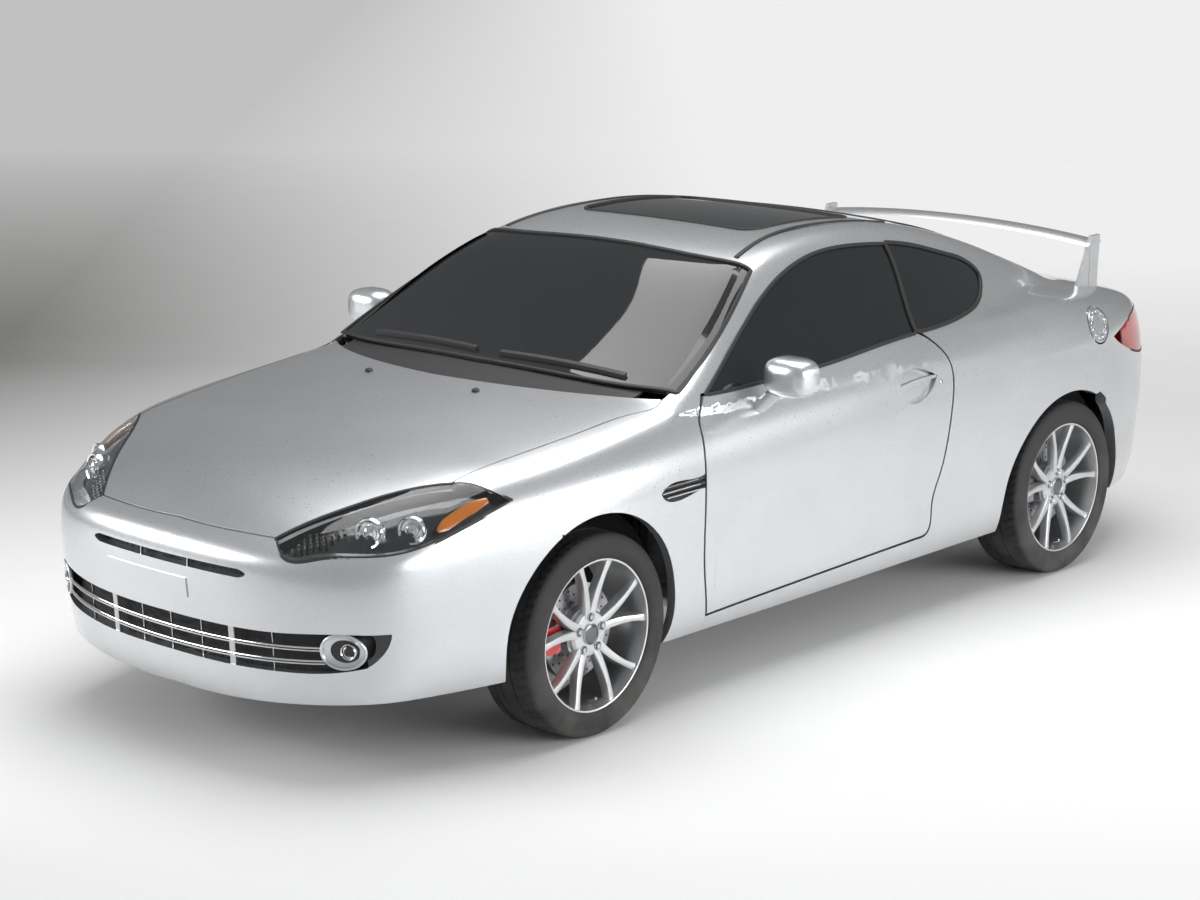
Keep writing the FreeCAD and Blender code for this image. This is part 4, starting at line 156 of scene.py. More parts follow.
SATIN = Finish("satin_metal", (.5, .51, .52), .3, metallic=1.0, relief=Relief.BRUSHED,
               depth=.00004)
STEEL = Finish("exhaust_steel", (.38, .37, .36), .36, metallic=1.0, grime=.3,
               relief=Relief.BRUSHED, depth=.00008)
CAST = Finish("cast_metal", (.27, .27, .28), .5, metallic=.75, grime=.3, relief=Relief.CAST,
              depth=.0006)
UNDERBODY = Finish("underbody_coat", (.035, .035, .037), .75, grime=.45, relief=Relief.CAST,
                   depth=.0008)
ENGINE = Finish("engine_alloy", (.32, .325, .33), .45, metallic=.8, grime=.1,
                relief=Relief.CAST, depth=.0005)
COOLER = Finish("radiator_core", (.1, .1, .105), .5, metallic=.6, relief=Relief.BRUSHED,
                depth=.0006)
GLASS = Finish("tinted_glass", (.012, .014, .015), .03, ior=1.5, transmission=.35, mottle=.02)
SCREEN = Finish("windshield_glass", (.035, .038, .040), .02, ior=1.5, transmission=.6,
                mottle=.02)
# Black mesh whose near-black colour is also painted shade for the holes of the mesh.
MESH = Finish("grille_mesh", (.011, .011, .012), .55, relief=Relief.WOVEN, depth=.0008)
LENS = Finish("clear_lens", (.93, .94, .95), .02, ior=1.35, transmission=1.0, mottle=.01)
RED_LENS = Finish("red_lens", (.45, .01, .012), .08, ior=1.45, transmission=.45, mottle=.04,
                  coat=.5)
AMBER = Finish("amber_lens", (.9, .28, .015), .12, ior=1.45, transmission=.3, mottle=.04,
               coat=.6)
REFLECTOR = Finish("lamp_reflector", (.8, .81, .82), .14, metallic=1.0, mottle=.02)
SMOKED = Finish("smoked_reflector", (.16, .165, .17), .22, metallic=.9, mottle=.05)
MIRROR = Finish("mirror_glass", (.86, .88, .9), .02, metallic=1.0, mottle=.01)
FABRIC = Finish("seat_fabric", (.03, .03, .033), .9, sheen=.4, relief=Relief.WOVEN,
                depth=.0006)
PLATE = Finish("blank_plate", (.5, .505, .51), .4, metallic=.3, coat=.3, mottle=.02)


class Nodes:
    """Small builder of shader nodes in one tree."""

    def __init__(self, tree: bpy.types.NodeTree) -> None:
        """Takes the tree that the nodes go into."""
        self.tree = tree

    def add(self, kind: str, **inputs: object) -> bpy.types.Node:
        """Adds a node and sets or links its inputs.

        Args:
            kind: node type name.
            **inputs: values or sockets, by input name with spaces written as underscores.

        Returns:
            The new node.
        """
        node = self.tree.nodes.new(kind)
        for name, value in inputs.items():
            socket = node.inputs[int(name[1:])] if name[0] == "_" else \
                node.inputs[name.replace("_", " ")]
            self.put(socket, value)
        return node

    def put(self, socket: Socket, value: object) -> None:
        """Sets an input to a value, or links it when a socket is given."""
        if isinstance(value, bpy.types.NodeSocket):
            self.tree.links.new(value, socket)
        else:
            socket.default_value = value

    def maths(self, operation: str, first: float | Socket, second: float | Socket = 0.0) -> Socket:
        """One arithmetic step, and its result's socket."""
        node = self.add("ShaderNodeMath", _0=first, _1=second)
        node.operation = operation
        return node.outputs[0]

    def ramp(self, value: float | Socket, low: float, high: float, to_low: float = 0.0,
             to_high: float = 1.0) -> Socket:
        """Maps a value from one range onto another, clamped."""
        node = self.add("ShaderNodeMapRange", Value=value, From_Min=low, From_Max=high,
                        To_Min=to_low, To_Max=to_high)
        return node.outputs[0]

    def mix(self, share: float | Socket, first: tuple | Socket, second: tuple | Socket) -> Socket:
        """Colour between two others.

        Args:
            share: share of the second colour.
            first: first colour.
            second: second colour.

        Returns:
            The colour's socket.
        """
        node = self.tree.nodes.new("ShaderNodeMix")
        node.data_type = "RGBA"
        self.put(node.inputs["Factor"], share)
        self.put(node.inputs[6], first)
        self.put(node.inputs[7], second)
        return node.outputs[2]

    def noise(self, place: Socket, scale: float, detail: float = 3.0,
              stretch: tuple | None = None) -> Socket:
        """Noise at a place, with an optional stretch along the axes.

        Args:
            place: socket of the place.
            scale: noise scale.
            detail: noise detail.
            stretch: factors along the axes, or None.

        Returns:
            The noise's socket.
        """
        if stretch:
            mapping = self.add("ShaderNodeMapping", Vector=place)
            mapping.inputs["Scale"].default_value = stretch
            place = mapping.outputs[0]
        return self.add("ShaderNodeTexNoise", Vector=place, Scale=scale,
                        Detail=detail).outputs[0]


def group_tree(name: str, inputs: list, outputs: list) -> tuple:
    """Makes an empty node group with its sockets.

    Args:
        name: group name.
        inputs: pairs of socket name and socket type.
        outputs: pairs of socket name and socket type.

    Returns:
        The builder, the input node and the output node.
    """
    tree = bpy.data.node_groups.new(name, "ShaderNodeTree")
    for direction, sockets in (("INPUT", inputs), ("OUTPUT", outputs)):
        for label, kind in sockets:
            tree.interface.new_socket(name=label, in_out=direction, socket_type=kind)
    build = Nodes(tree)
    return build, tree.nodes.new("NodeGroupInput"), tree.nodes.new("NodeGroupOutput")


def weathering_group() -> bpy.types.NodeTree:
    """Shared effect that varies a colour and a roughness and gathers dust low down.

    Returns:
        The group.
    """
    number = "NodeSocketFloat"
    build, given, result = group_tree(
        "Weathering", [("Colour", "NodeSocketColor"), ("Roughness", number),
                       ("Mottle", number), ("Grime", number)],
        [("Colour", "NodeSocketColor"), ("Roughness", number)])
    place = build.add("ShaderNodeTexCoord").outputs["Object"]
    broad = build.noise(place, 5.0, 5.0)
    fine = build.noise(place, 160.0, 3.0)
    swing = build.maths("MULTIPLY", build.ramp(broad, .3, .7, -1.0, 1.0), given.outputs["Mottle"])
    lightness = build.maths("ADD", swing, 1.0)
    tint = build.add("ShaderNodeCombineXYZ", X=lightness, Y=lightness, Z=lightness)
    shaded = build.tree.nodes.new("ShaderNodeMix")
    shaded.data_type = "RGBA"
    shaded.blend_type = "MULTIPLY"
    shaded.inputs["Factor"].default_value = 1.0
    build.put(shaded.inputs[6], given.outputs["Colour"])
    build.put(shaded.inputs[7], tint.outputs[0])
    height = build.add("ShaderNodeSeparateXYZ", Vector=place).outputs["Z"]
    low = build.ramp(height, 0.0, .55, 1.0, 0.0)
    patches = build.ramp(build.noise(place, 11.0, 6.0), .35, .75)
    dust = build.maths("MULTIPLY", build.maths("MULTIPLY", low, patches), given.outputs["Grime"])
    build.put(result.inputs["Colour"], build.mix(dust, shaded.outputs[2], (.2, .185, .165, 1.0)))
    rough = build.maths("ADD", given.outputs["Roughness"], build.ramp(fine, .3, .7, -.03, .03))
    build.put(result.inputs["Roughness"],
              build.maths("ADD", rough, build.maths("MULTIPLY", dust, .3)))
    return build.tree


def relief_group(relief: Relief) -> bpy.types.NodeTree:
    """Shared effect that gives the height of one kind of fine relief.

    Args:
        relief: kind of relief.

    Returns:
        The group.
    """
    build, _, result = group_tree(f"Relief {relief.value}", [], [("Height", "NodeSocketFloat")])
    place = build.add("ShaderNodeTexCoord").outputs["Object"]
    if relief is Relief.GRAIN:
        height = build.noise(place, 700.0, 4.0)
    elif relief is Relief.CAST:
        height = build.maths("ADD", build.noise(place, 260.0, 5.0), build.noise(place, 45.0, 2.0))
    elif relief is Relief.BRUSHED:
        height = build.noise(place, 90.0, 4.0, stretch=(1.0, 12.0, 12.0))
    elif relief is Relief.WOVEN:
        waves = []
        for direction in ("X", "Y"):
            wave = build.add("ShaderNodeTexWave", Vector=place, Scale=160.0, Distortion=.8)
            wave.bands_direction = direction
            waves.append(wave.outputs["Fac"])
        height = build.maths("MULTIPLY", waves[0], waves[1])
    else:
        height = build.noise(place, 420.0, 2.0)
    build.put(result.inputs["Height"], height)
    return build.tree


class Palette:
    """Makes each material once, from its finish."""

    def __init__(self) -> None:
        """Starts with the shared weathering group and no material."""
        self.made = {}
        self.weathering = weathering_group()
        self.reliefs = {}

    def __call__(self, finish: Finish) -> bpy.types.Material:
        """The material of a finish."""
        if finish.name not in self.made:
            self.made[finish.name] = self._build(finish)
        return self.made[finish.name]

    def _relief(self, relief: Relief) -> bpy.types.NodeTree:
        """The shared group of one relief."""
        if relief not in self.reliefs:
            self.reliefs[relief] = relief_group(relief)
        return self.reliefs[relief]

    def _build(self, finish: Finish) -> bpy.types.Material:
        """Builds the node material of a finish.

        Args:
            finish: the finish.

        Returns:
            The material.
        """
        material = bpy.data.materials.new(finish.name)
        material.use_nodes = True
        tree = material.node_tree
        tree.nodes.clear()
        build = Nodes(tree)
        wear = build.add("ShaderNodeGroup")
        wear.node_tree = self.weathering
        build.put(wear.inputs["Colour"], (*finish.colour, 1.0))
        build.put(wear.inputs["Roughness"], finish.roughness)
        build.put(wear.inputs["Mottle"], finish.mottle)
        build.put(wear.inputs["Grime"], finish.grime)
        shader = build.add("ShaderNodeBsdfPrincipled", Base_Color=wear.outputs["Colour"],
                           Roughness=wear.outputs["Roughness"], Metallic=finish.metallic,
                           IOR=finish.ior, Transmission_Weight=finish.transmission,
                           Coat_Weight=finish.coat, Coat_Roughness=.04,
                           Sheen_Weight=finish.sheen)
        if finish.depth:
            relief = build.add("ShaderNodeGroup")
            relief.node_tree = self._relief(finish.relief)
            bump = build.add("ShaderNodeBump", Height=relief.outputs["Height"],
                             Distance=finish.depth)
            build.put(shader.inputs["Normal"], bump.outputs["Normal"])
        output = build.add("ShaderNodeOutputMaterial", Surface=shader.outputs[0])
        output.target = "ALL"
        return material


class Spline:
    """Natural cubic spline through given points, straight beyond its ends."""

    def __init__(self, points: list) -> None:
        """Works out the bend at each point.

        Args:
            points: pairs of place and value, in order of place.
        """
        self.places, self.values = np.array(points, float).T
        self.steps = np.diff(self.places)
        count = len(points)
        system = np.eye(count)
        slopes = np.diff(self.values) / self.steps
        right = np.zeros(count)
        inner = np.arange(1, count - 1)
        system[inner, inner - 1] = self.steps[:-1]
        system[inner, inner] = 2 * (self.steps[:-1] + self.steps[1:])
        system[inner, inner + 1] = self.steps[1:]
        right[1:-1] = 6 * np.diff(slopes)
        self.bends = np.linalg.solve(system, right)
        self.first = slopes[0] - self.bends[1] * self.steps[0] / 6
        self.last = slopes[-1] + self.bends[-2] * self.steps[-1] / 6

    def __call__(self, place: Number) -> Number:
        """Value at a place, or at each of many.

        Args:
            place: one place or an array of them.

        Returns:
            The value or values.
        """
        place = np.asarray(place, float)
        inside = np.clip(place, self.places[0], self.places[-1])
        index = np.clip(np.searchsorted(self.places, inside) - 1, 0, len(self.steps) - 1)
        step = self.steps[index]
        a = (self.places[index + 1] - inside) / step
        b = 1 - a
        bend = (a ** 3 - a) * self.bends[index] + (b ** 3 - b) * self.bends[index + 1]
        value = a * self.values[index] + b * self.values[index + 1] + bend * step ** 2 / 6
        before = np.minimum(place - self.places[0], 0) * self.first
        after = np.maximum(place - self.places[-1], 0) * self.last
        return value + before + after


def smooth_max(first: Number, second: Number, rounding: float) -> Number:
    """Larger of two fields, rounded where they meet."""
    return (first + second + np.sqrt((first - second) ** 2 + rounding ** 2)) / 2


def fade(value: Number, start: float, span: float) -> Number:
    """Smooth step from 0 at start to 1 a span later."""
    share = np.clip((value - start) / span, 0, 1)
    return share * share * (3 - 2 * share)


class BodyForm:
    """Outer form of the whole car, the same as in the CAD source, as a field of points."""

    plan = Spline([(-.5233, .75), (-.4551, .8545), (-.4209, .8977), (-.3868, .9386),
                   (-.3413, .9795), (-.289, 1), (-.182, .9932), (0, .9886), (.1365, .9909),
                   (.2275, .9989), (.289, 1.0023), (.3527, .9864), (.3982, .9455),
                   (.4323, .8943), (.4664, .8182), (.5233, .6591)])
    inset = Spline([(.0896, .1477), (.1343, .0852), (.1791, .0432), (.2313, .0227),
                    (.3134, .0136), (.4104, .0023), (.4776, 0), (.5522, .0091),
                    (.6119, .0318), (.6716, .0852), (.7313, .1705), (.791, .2841)])
    rise = Spline([(-.5006, -.0896), (-.4096, -.041), (-.289, -.0149), (-.182, 0), (0, .0261),
                   (.1365, .0448), (.289, .0634), (.4096, .0672), (.5006, .0522)])
    hood = Spline([(-.5233, .4701), (-.5006, .5224), (-.4903, .5388), (-.4792, .5582),
                   (-.4437, .606), (-.3943, .6433), (-.3299, .6806), (-.2617, .7127),
                   (-.2048, .7351), (-.1365, .7537)])
    hood_crown = Spline([(-.5006, .1156), (-.4551, .0751), (-.3936, .026), (-.3413, .0347),
                         (-.2958, .0433), (-.2048, .052), (-.1365, .052)])
    nose = Spline([(.1045, -.4778), (.1343, -.4926), (.1642, -.4983), (.2239, -.501),
                   (.3134, -.5028), (.4104, -.5063), (.4552, -.5063), (.4925, -.5028),
                   (.5224, -.4937), (.597, -.4733)])
    nose_bow = Spline([(.1119, .0581), (.3358, .0511), (.4478, .0537), (.5224, .0581)])
    tail = Spline([(.1119, .4682), (.1642, .4841), (.2612, .4978), (.3731, .5046),
                   (.4478, .5062), (.5597, .5023), (.6716, .4909), (.7463, .4841)])
    deck = Spline([(.273, .7761), (.3413, .75), (.3982, .7313), (.4437, .709), (.4733, .6903),
                   (.5233, .6343)])
    roof = Spline([(-.2275, .694), (-.1934, .7425), (-.1365, .8358), (-.066, .9552),
                   (-.0341, .9836), (.0228, 1.0022), (.0796, 1.0015), (.1593, .9739),
                   (.2275, .9239), (.2958, .8545), (.3641, .7761), (.3982, .7313),
                   (.4551, .6493)])
    roof_crown = Spline([(-.1934, .0578), (-.0683, .0347), (.0455, .0173), (.2275, .0405),
                         (.3641, .0693)])
    cabin = Spline([(-.2162, .8182), (-.182, .8693), (-.091, .892), (0, .9), (.091, .892),
                    (.182, .8523), (.273, .767), (.3641, .6477), (.4323, .5341)])

    def _top(self, across: Number, along: Number) -> Number:
        """Height of the hood, waist and tail deck, in metres."""
        hood = self.hood(along) - self.hood_crown(along) * across ** 2
        deck = self.deck(along) - .0289 * across ** 2
        front = hood + (.7388 - hood) * fade(along, -.1706, .1138)
        return HEIGHT * (front + (deck - front) * fade(along, .2275, .1138))

    def lower(self, x: Number, y: Number, z: Number) -> Number:
        """Field of the body below the windows.

        Args:
            x: places across.
            y: places along.
            z: heights.

        Returns:
            The field, negative inside.
        """
        across, along, up = x / HALF_WIDTH, y / LENGTH, z / HEIGHT
        rise = self.rise(along) * fade(up, .4104, .2239)
        side = np.abs(x) - HALF_WIDTH * (self.plan(along) - self.inset(up - rise))
        sweep = self.nose_bow(up) * (.43 * across ** 2 + 1.138 * across ** 4)
        nose = LENGTH * (self.nose(up) + sweep) - y
        tail = y - LENGTH * (self.tail(up) - .0458 * across ** 2)
        walls = smooth_max(smooth_max(side, nose * .8, .07), tail * .8, .12)
        edge = .05 - .02 * (1 - fade(along, -.455, .0683))
        return smooth_max(walls, z - self._top(across, along), edge)

    def upper(self, x: Number, y: Number, z: Number) -> Number:
        """Field of the cabin above the waist.

        Args:
            x: places across.
            y: places along.
            z: heights.

        Returns:
            The field, negative inside.
        """
        across, along = x / HALF_WIDTH, y / LENGTH
        lift = z / HEIGHT - .709
        side = np.abs(x) - HALF_WIDTH * self.cabin(along) + HEIGHT * lift * (.56 + .335 * lift)
        roof = z - HEIGHT * (self.roof(along) - self.roof_crown(along) * across ** 2)
        shell = smooth_max(side * .87, roof * .85, .035)
        base = .694 - .0224 * np.clip((along + .273) / .1365, 0, 1)
        return np.maximum(shell, HEIGHT * base - z)

    def __call__(self, points: Array) -> Number:
        """Field of the whole body at points, negative inside."""
        x, y, z = np.moveaxis(np.asarray(points, float), -1, 0)
        return -smooth_max(-self.lower(x, y, z), -self.upper(x, y, z), .012)

    def normals(self, points: Array, probe: float = 0.0015) -> Array:
        """Outward directions of the form at points.

        Args:
            points: points, one row each.
            probe: step to either side of a point.

        Returns:
            Unit directions, one row each.
        """
        points = np.asarray(points, float)
        slopes = []
        for axis in np.eye(3) * probe:
            slopes.append(self(points + axis) - self(points - axis))
        slopes = np.stack(slopes, -1)
        return slopes / np.maximum(np.linalg.norm(slopes, axis=-1, keepdims=True), 1e-12)

    def hit(self, starts: Array, headings: Array, reach: float = 1.6) -> Array:
        """Points where rays from inside leave the form.

        Args:
            starts: points inside, one row each.
            headings: unit directions, one row each.
            reach: farthest distance searched.

        Returns:
            The points of the surface, one row each.
        """
        starts, headings = np.broadcast_arrays(np.asarray(starts, float),
                                               np.asarray(headings, float))
        near = np.zeros(starts.shape[:-1])
        beyond = np.full(starts.shape[:-1], reach)
        for _ in range(40):
            middle = (near + beyond) / 2
            inside = self(starts + headings * middle[..., None]) < 0
            near = np.where(inside, middle, near)
            beyond = np.where(inside, beyond, middle)
        return starts + headings * ((near + beyond) / 2)[..., None]

    def over(self, x: Number, y: Number) -> Array:
        """Points of the top surface over places of the plan."""
        x, y = np.broadcast_arrays(np.asarray(x, float), np.asarray(y, float))
        starts = np.stack([x, y, np.full(x.shape, .6)], -1)
        return self.hit(starts, np.array([0, 0, 1.0]), .9)

    def beside(self, y: Number, z: Number) -> Array:
        """Points of the left side at places and heights."""
        y, z = np.broadcast_arrays(np.asarray(y, float), np.asarray(z, float))
        starts = np.stack([np.full(y.shape, .3), y, z], -1)
        return self.hit(starts, np.array([1.0, 0, 0]), .8)

    def before(self, x: Number, z: Number, end: int = -1) -> Array:
        """Points of the nose (end -1) or the tail (end 1)."""
        x, z = np.broadcast_arrays(np.asarray(x, float), np.asarray(z, float))
        starts = np.stack([x, np.full(x.shape, end * 1.4), z], -1)
        return self.hit(starts, np.array([0, float(end), 0]), 1.1)


FORM = BodyForm()


@dataclass
class Shape:
    """Points and faces gathered for one piece.

    Attributes:
        points: list of point arrays.
        faces: corner numbers of each face, counted over all the points.
        count: number of points so far.
    """

    points: list = field(default_factory=list)
    faces: list = field(default_factory=list)
    count: int = 0

    def add(self, points: Array, faces: Array | list) -> Shape:
        """Adds a closed part.

        Args:
            points: array of points, one row each.
            faces: array of faces into those points, one row each.

        Returns:
            The shape itself.
        """
        points = np.asarray(points, float).reshape(-1, 3)
        self.points.append(points)
        self.faces.extend((np.asarray(faces) + self.count).tolist())
        self.count += len(points)
        return self

    def join(self, other: Shape) -> Shape:
        """Adds all the parts of another shape."""
        for_points = np.concatenate(other.points)
        self.points.append(for_points)
        self.faces.extend([[index + self.count for index in face] for face in other.faces])
        self.count += len(for_points)
        return self

    def moved(self, change: Callable[[Array], Array]) -> Shape:
        """The shape with its points put through a function."""
        return Shape([change(np.concatenate(self.points))], [list(f) for f in self.faces],
                     self.count)

    def mirrored(self) -> Shape:
        """The shape's mirror image on the right side."""
        return Shape([np.concatenate(self.points) * (-1, 1, 1)],
                     [face[::-1] for face in self.faces], self.count)

    def with_mirror(self) -> Shape:
        """The shape and its mirror image together."""
        return Shape().join(self).join(self.mirrored())


def unit(vectors: Array) -> Array:
    """Vectors brought to length one."""
    vectors = np.asarray(vectors, float)
    return vectors / np.maximum(np.linalg.norm(vectors, axis=-1, keepdims=True), 1e-12)


def grid_faces(rows: int, columns: int, close_rows: bool = False,
               close_columns: bool = False) -> Array:
    """Quad faces of a grid of points, optionally closed either way.

    Args:
        rows: rows of points.
        columns: points in a row.
        close_rows: True where the last row meets the first.
        close_columns: True where each row is a ring.

    Returns:
        Four corners of each face.
    """
    down = np.arange(rows if close_rows else rows - 1)
    along = np.arange(columns if close_columns else columns - 1)
    row, column = np.meshgrid(down, along, indexing="ij")
    below = (row + 1) % rows
    after = (column + 1) % columns
    corners = np.stack([row * columns + column, below * columns + column,
                        below * columns + after, row * columns + after], -1)
    return corners.reshape(-1, 4)


def swept(path: Array, section: Array | list, sideways: Array, closed: bool = False) -> Shape:
    """Bar with a given section along a path.

    Args:
        path: centre points, one row each.
        section: pairs of width and height round the section, anticlockwise.
        sideways: surface directions at the path, which the section's height follows.
        closed: True where the path is a ring.

    Returns:
        The bar's points and faces.
    """
    path = np.asarray(path, float)
    section = np.asarray(section, float)
    before = np.roll(path, 1, 0)
    after = np.roll(path, -1, 0)
    if not closed:
        before[0] = path[0]
        after[-1] = path[-1]
    along = unit(after - before)
    up = unit(sideways - along * (sideways * along).sum(-1, keepdims=True))
    across = np.cross(along, up)
    points = (path[:, None] + across[:, None] * section[None, :, :1]
              + up[:, None] * section[None, :, 1:])
    count = len(section)
    shape = Shape().add(points, grid_faces(len(path), count, closed, True)[:, ::-1])
    if not closed:
        shape.faces.append(list(range(count))[::-1])
        shape.faces.append(list(range((len(path) - 1) * count, len(path) * count)))
    return shape


def oval(width: float, height: float, count: int = 12) -> Array:
    """Points round an oval section."""
    turn = np.linspace(0, 2 * math.pi, count, endpoint=False)
    return np.stack([np.cos(turn) * width / 2, np.sin(turn) * height / 2], -1)


def flat_bar(width: float, height: float, round_share: float = 0.3) -> list:
    """Points round a bar section that lies on the surface, with softened upper edges."""
    w, h = width / 2, height
    r = min(w, h) * round_share
    return [(-w, -h * .2), (w, -h * .2), (w, h - r), (w - r, h), (-w + r, h), (-w, h - r)]


def turned(profile: Array | list, centre: Array | tuple, axis: Array | tuple,
           count: int = 32) -> Shape:
    """Body of revolution.

    Args:
        profile: pairs of radius and place along the axis, from the axis back to the axis or
            a closed ring of them.
        centre: point on the axis.
        axis: direction of the axis.
        count: points round.

    Returns:
        The shape, closed at both poles where the profile starts and ends on the axis.
    """
    profile = np.asarray(profile, float)
    axis = unit(axis)
    helper = np.array([0, 0, 1.0]) if abs(axis[2]) < .9 else np.array([0, 1.0, 0])
    first = unit(np.cross(helper, axis))
    second = np.cross(axis, first)
    turn = np.linspace(0, 2 * math.pi, count, endpoint=False)
    round_points = np.cos(turn)[:, None] * first + np.sin(turn)[:, None] * second
    polar = bool(profile[0, 0] < 1e-6 and profile[-1, 0] < 1e-6)
    rows = profile[1:-1] if polar else profile
    points = (np.asarray(centre, float) + axis * rows[:, None, 1:]
              + round_points[None] * rows[:, None, :1])
    shape = Shape().add(points, grid_faces(len(rows), count, not polar, True))
    if polar:
        for pole, row, flip in ((profile[0], 0, True), (profile[-1], len(rows) - 1, False)):
            tip = shape.count
            shape.points.append((np.asarray(centre, float) + axis * pole[1]).reshape(1, 3))
            shape.count += 1
            ring = np.arange(count) + row * count
            turned_ring = np.roll(ring, -1)
            fan = np.stack([np.full(count, tip), ring, turned_ring], -1)
            shape.faces.extend((fan[:, ::-1] if flip else fan).tolist())
    return shape


def rounded_box(low: Array | tuple, high: Array | tuple, bevel: float = 0.004) -> Shape:
    """Box between two corners with its edges softened.

    Args:
        low: lowest corner.
        high: highest corner.
        bevel: width of the softened edges.

    Returns:
        The shape: a grid over a cube, pulled in at its edges.
    """
    low, high = np.asarray(low, float), np.asarray(high, float)
    middle, half = (low + high) / 2, (high - low) / 2
    bevel = min(bevel, half.min() * .8)
    marks = np.array([-1.0, -.5, .5, 1.0])
    shape = Shape()
    for axis in range(3):
        for sign in (-1.0, 1.0):
            u, v = np.meshgrid(marks, marks, indexing="ij")
            sides = [(axis + 1) % 3, (axis + 2) % 3]
            points = np.zeros((4, 4, 3))
            points[..., axis] = sign * half[axis]
            for side, share in zip(sides, (u, v)):
                edge = np.abs(share) > .9
                points[..., side] = np.sign(share) * np.where(edge, half[side],
                                                              half[side] - bevel)
            at_edge = (np.abs(u) > .9) | (np.abs(v) > .9)
            points[..., axis] -= sign * at_edge * bevel * .35
            for side, share in zip(sides, (u, v)):
                other = (np.abs(u) > .9) & (np.abs(v) > .9)
                points[..., side] -= np.sign(share) * other * bevel * .35
                points[..., side] -= np.sign(share) * (np.abs(share) > .9) * bevel * .35
            points[..., axis] = np.clip(points[..., axis], -half[axis], half[axis])
            faces = grid_faces(4, 4)
            shape.add(points + middle, faces if sign > 0 else faces[:, ::-1])
    return shape


class Workshop:
    """Makes objects from shapes and CAD nodes and places them on the frame's bodies."""

    def __init__(self, frame: dict) -> None:
        """Notes the frame's nodes and the body that each one rides on."""
        self.frame = frame
        self.palette = Palette()
        self.home = {name: node["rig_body"] for name, node in frame["nodes"].items()}

    def mesh_object(self, name: str, points: list, faces: list,
                    finishes: list[Finish]) -> bpy.types.Object:
        """A linked mesh object with its materials.

        Args:
            name: object name.
            points: points, one row each.
            faces: corner numbers of each face.
            finishes: its finishes.

        Returns:
            The object.
        """
        mesh = bpy.data.meshes.new(name)
        mesh.from_pydata(points, [], faces)
        mesh.update()
        for finish in finishes:
            mesh.materials.append(self.palette(finish))
        made = bpy.data.objects.new(name, mesh)
        bpy.context.scene.collection.objects.link(made)
        return made

    def piece(self, name: str, shape: Shape, finish: Finish, body: str,
              sharp: float | None = 35.0) -> bpy.types.Object:
        """Adds a piece that the CAD part doesn't have.

        Args:
            name: piece name.
            shape: its points and faces.
            finish: its finish.
            body: CAD body that it rides on.
            sharp: angle in degrees past which an edge stays sharp.

        Returns:
            The object.
        """
        points = np.round(np.concatenate(shape.points), 6)
        made = self.mesh_object(name, points.tolist(), shape.faces, [finish])
        shade_smooth(made.data, sharp)
        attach(made, body)
        return made

    def node_mesh(self, node: str) -> tuple[Array, Array]:
        """Merged points and triangles of a CAD node.

        Args:
            node: CAD node name.

        Returns:
            The points and the triangles.
        """
        mesh = self.frame["nodes"][node].data
        points = np.empty(len(mesh.vertices) * 3)
        mesh.vertices.foreach_get("co", points)
        mesh.calc_loop_triangles()
        corners = np.empty(len(mesh.loop_triangles) * 3, np.int64)
        mesh.loop_triangles.foreach_get("vertices", corners)
        keys, owner = np.unique(np.round(points.reshape(-1, 3), 6), axis=0, return_inverse=True)
        faces = owner.ravel()[corners].reshape(-1, 3)
        first, second, third = faces.T
        return keys, faces[(first != second) & (second != third) & (first != third)]

    def panel(self, node: str, outside: Finish, inside: Finish | None = None, curved: bool = True,
              sharp: float | None = 30.0) -> bpy.types.Object:
        """Shows a CAD node through a merged copy with smooth reflections.

        Args:
            node: CAD node name.
            outside: finish of the faces that lie on the body form, and of the edges.
            inside: finish of the faces turned into the car, or None for the same.
            curved: True where the node follows the body form.
            sharp: angle in degrees past which other edges stay sharp.

        Returns:
            The object.
        """
        points, faces = self.node_mesh(node)
        finishes = [outside] if inside is None else [outside, inside]
        made = self.mesh_object(f"{node}_skin", points.tolist(), faces.tolist(), finishes)
        mesh = made.data
        shade_smooth(mesh, sharp)
        if curved:
            facing = self.facing(points, faces)
            corner_normals = np.empty(len(mesh.loops) * 3)
            mesh.corner_normals.foreach_get("vector", corner_normals)
            corner_normals = corner_normals.reshape(-1, 3, 3)
            smooth = FORM.normals(points)[faces]
            corner_normals = np.where((facing > .85)[:, None, None], smooth, corner_normals)
            corner_normals = np.where((facing < -.85)[:, None, None], -smooth, corner_normals)
            mesh.normals_split_custom_set(corner_normals.reshape(-1, 3).tolist())
            if inside is not None:
                mesh.polygons.foreach_set("material_index", (facing < -.5).astype(np.int32))
        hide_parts(node)
        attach(made, self.home[node])
        return made

    def facing(self, points: Array, faces: Array) -> Array:
        """How far each face looks out of the body form: 1 out, -1 in, 0 an edge."""
        corners = points[faces]
        flat = unit(np.cross(corners[:, 1] - corners[:, 0], corners[:, 2] - corners[:, 0]))
        return (flat * FORM.normals(corners.mean(1))).sum(-1)

    def rims_of(self, node: str, outer: bool = True) -> list[Array]:
        """Closed loops round the outer face of a CAD node, longest first.

        Args:
            node: CAD node name.
            outer: True for the face that looks out, False for the inner one.

        Returns:
            A list of point arrays.
        """
        points, faces = self.node_mesh(node)
        facing = self.facing(points, faces)
        chosen = faces[facing > .85] if outer else faces[facing < -.85]
        return boundary_loops(points, chosen)


def shade_smooth(mesh: bpy.types.Mesh, sharp: float | None = None) -> None:
    """Shades a mesh smoothly, but for edges past an angle in degrees when one is given."""
    mesh.polygons.foreach_set("use_smooth", np.ones(len(mesh.polygons), bool))
    if sharp is not None:
        mesh.set_sharp_from_angle(angle=math.radians(sharp))


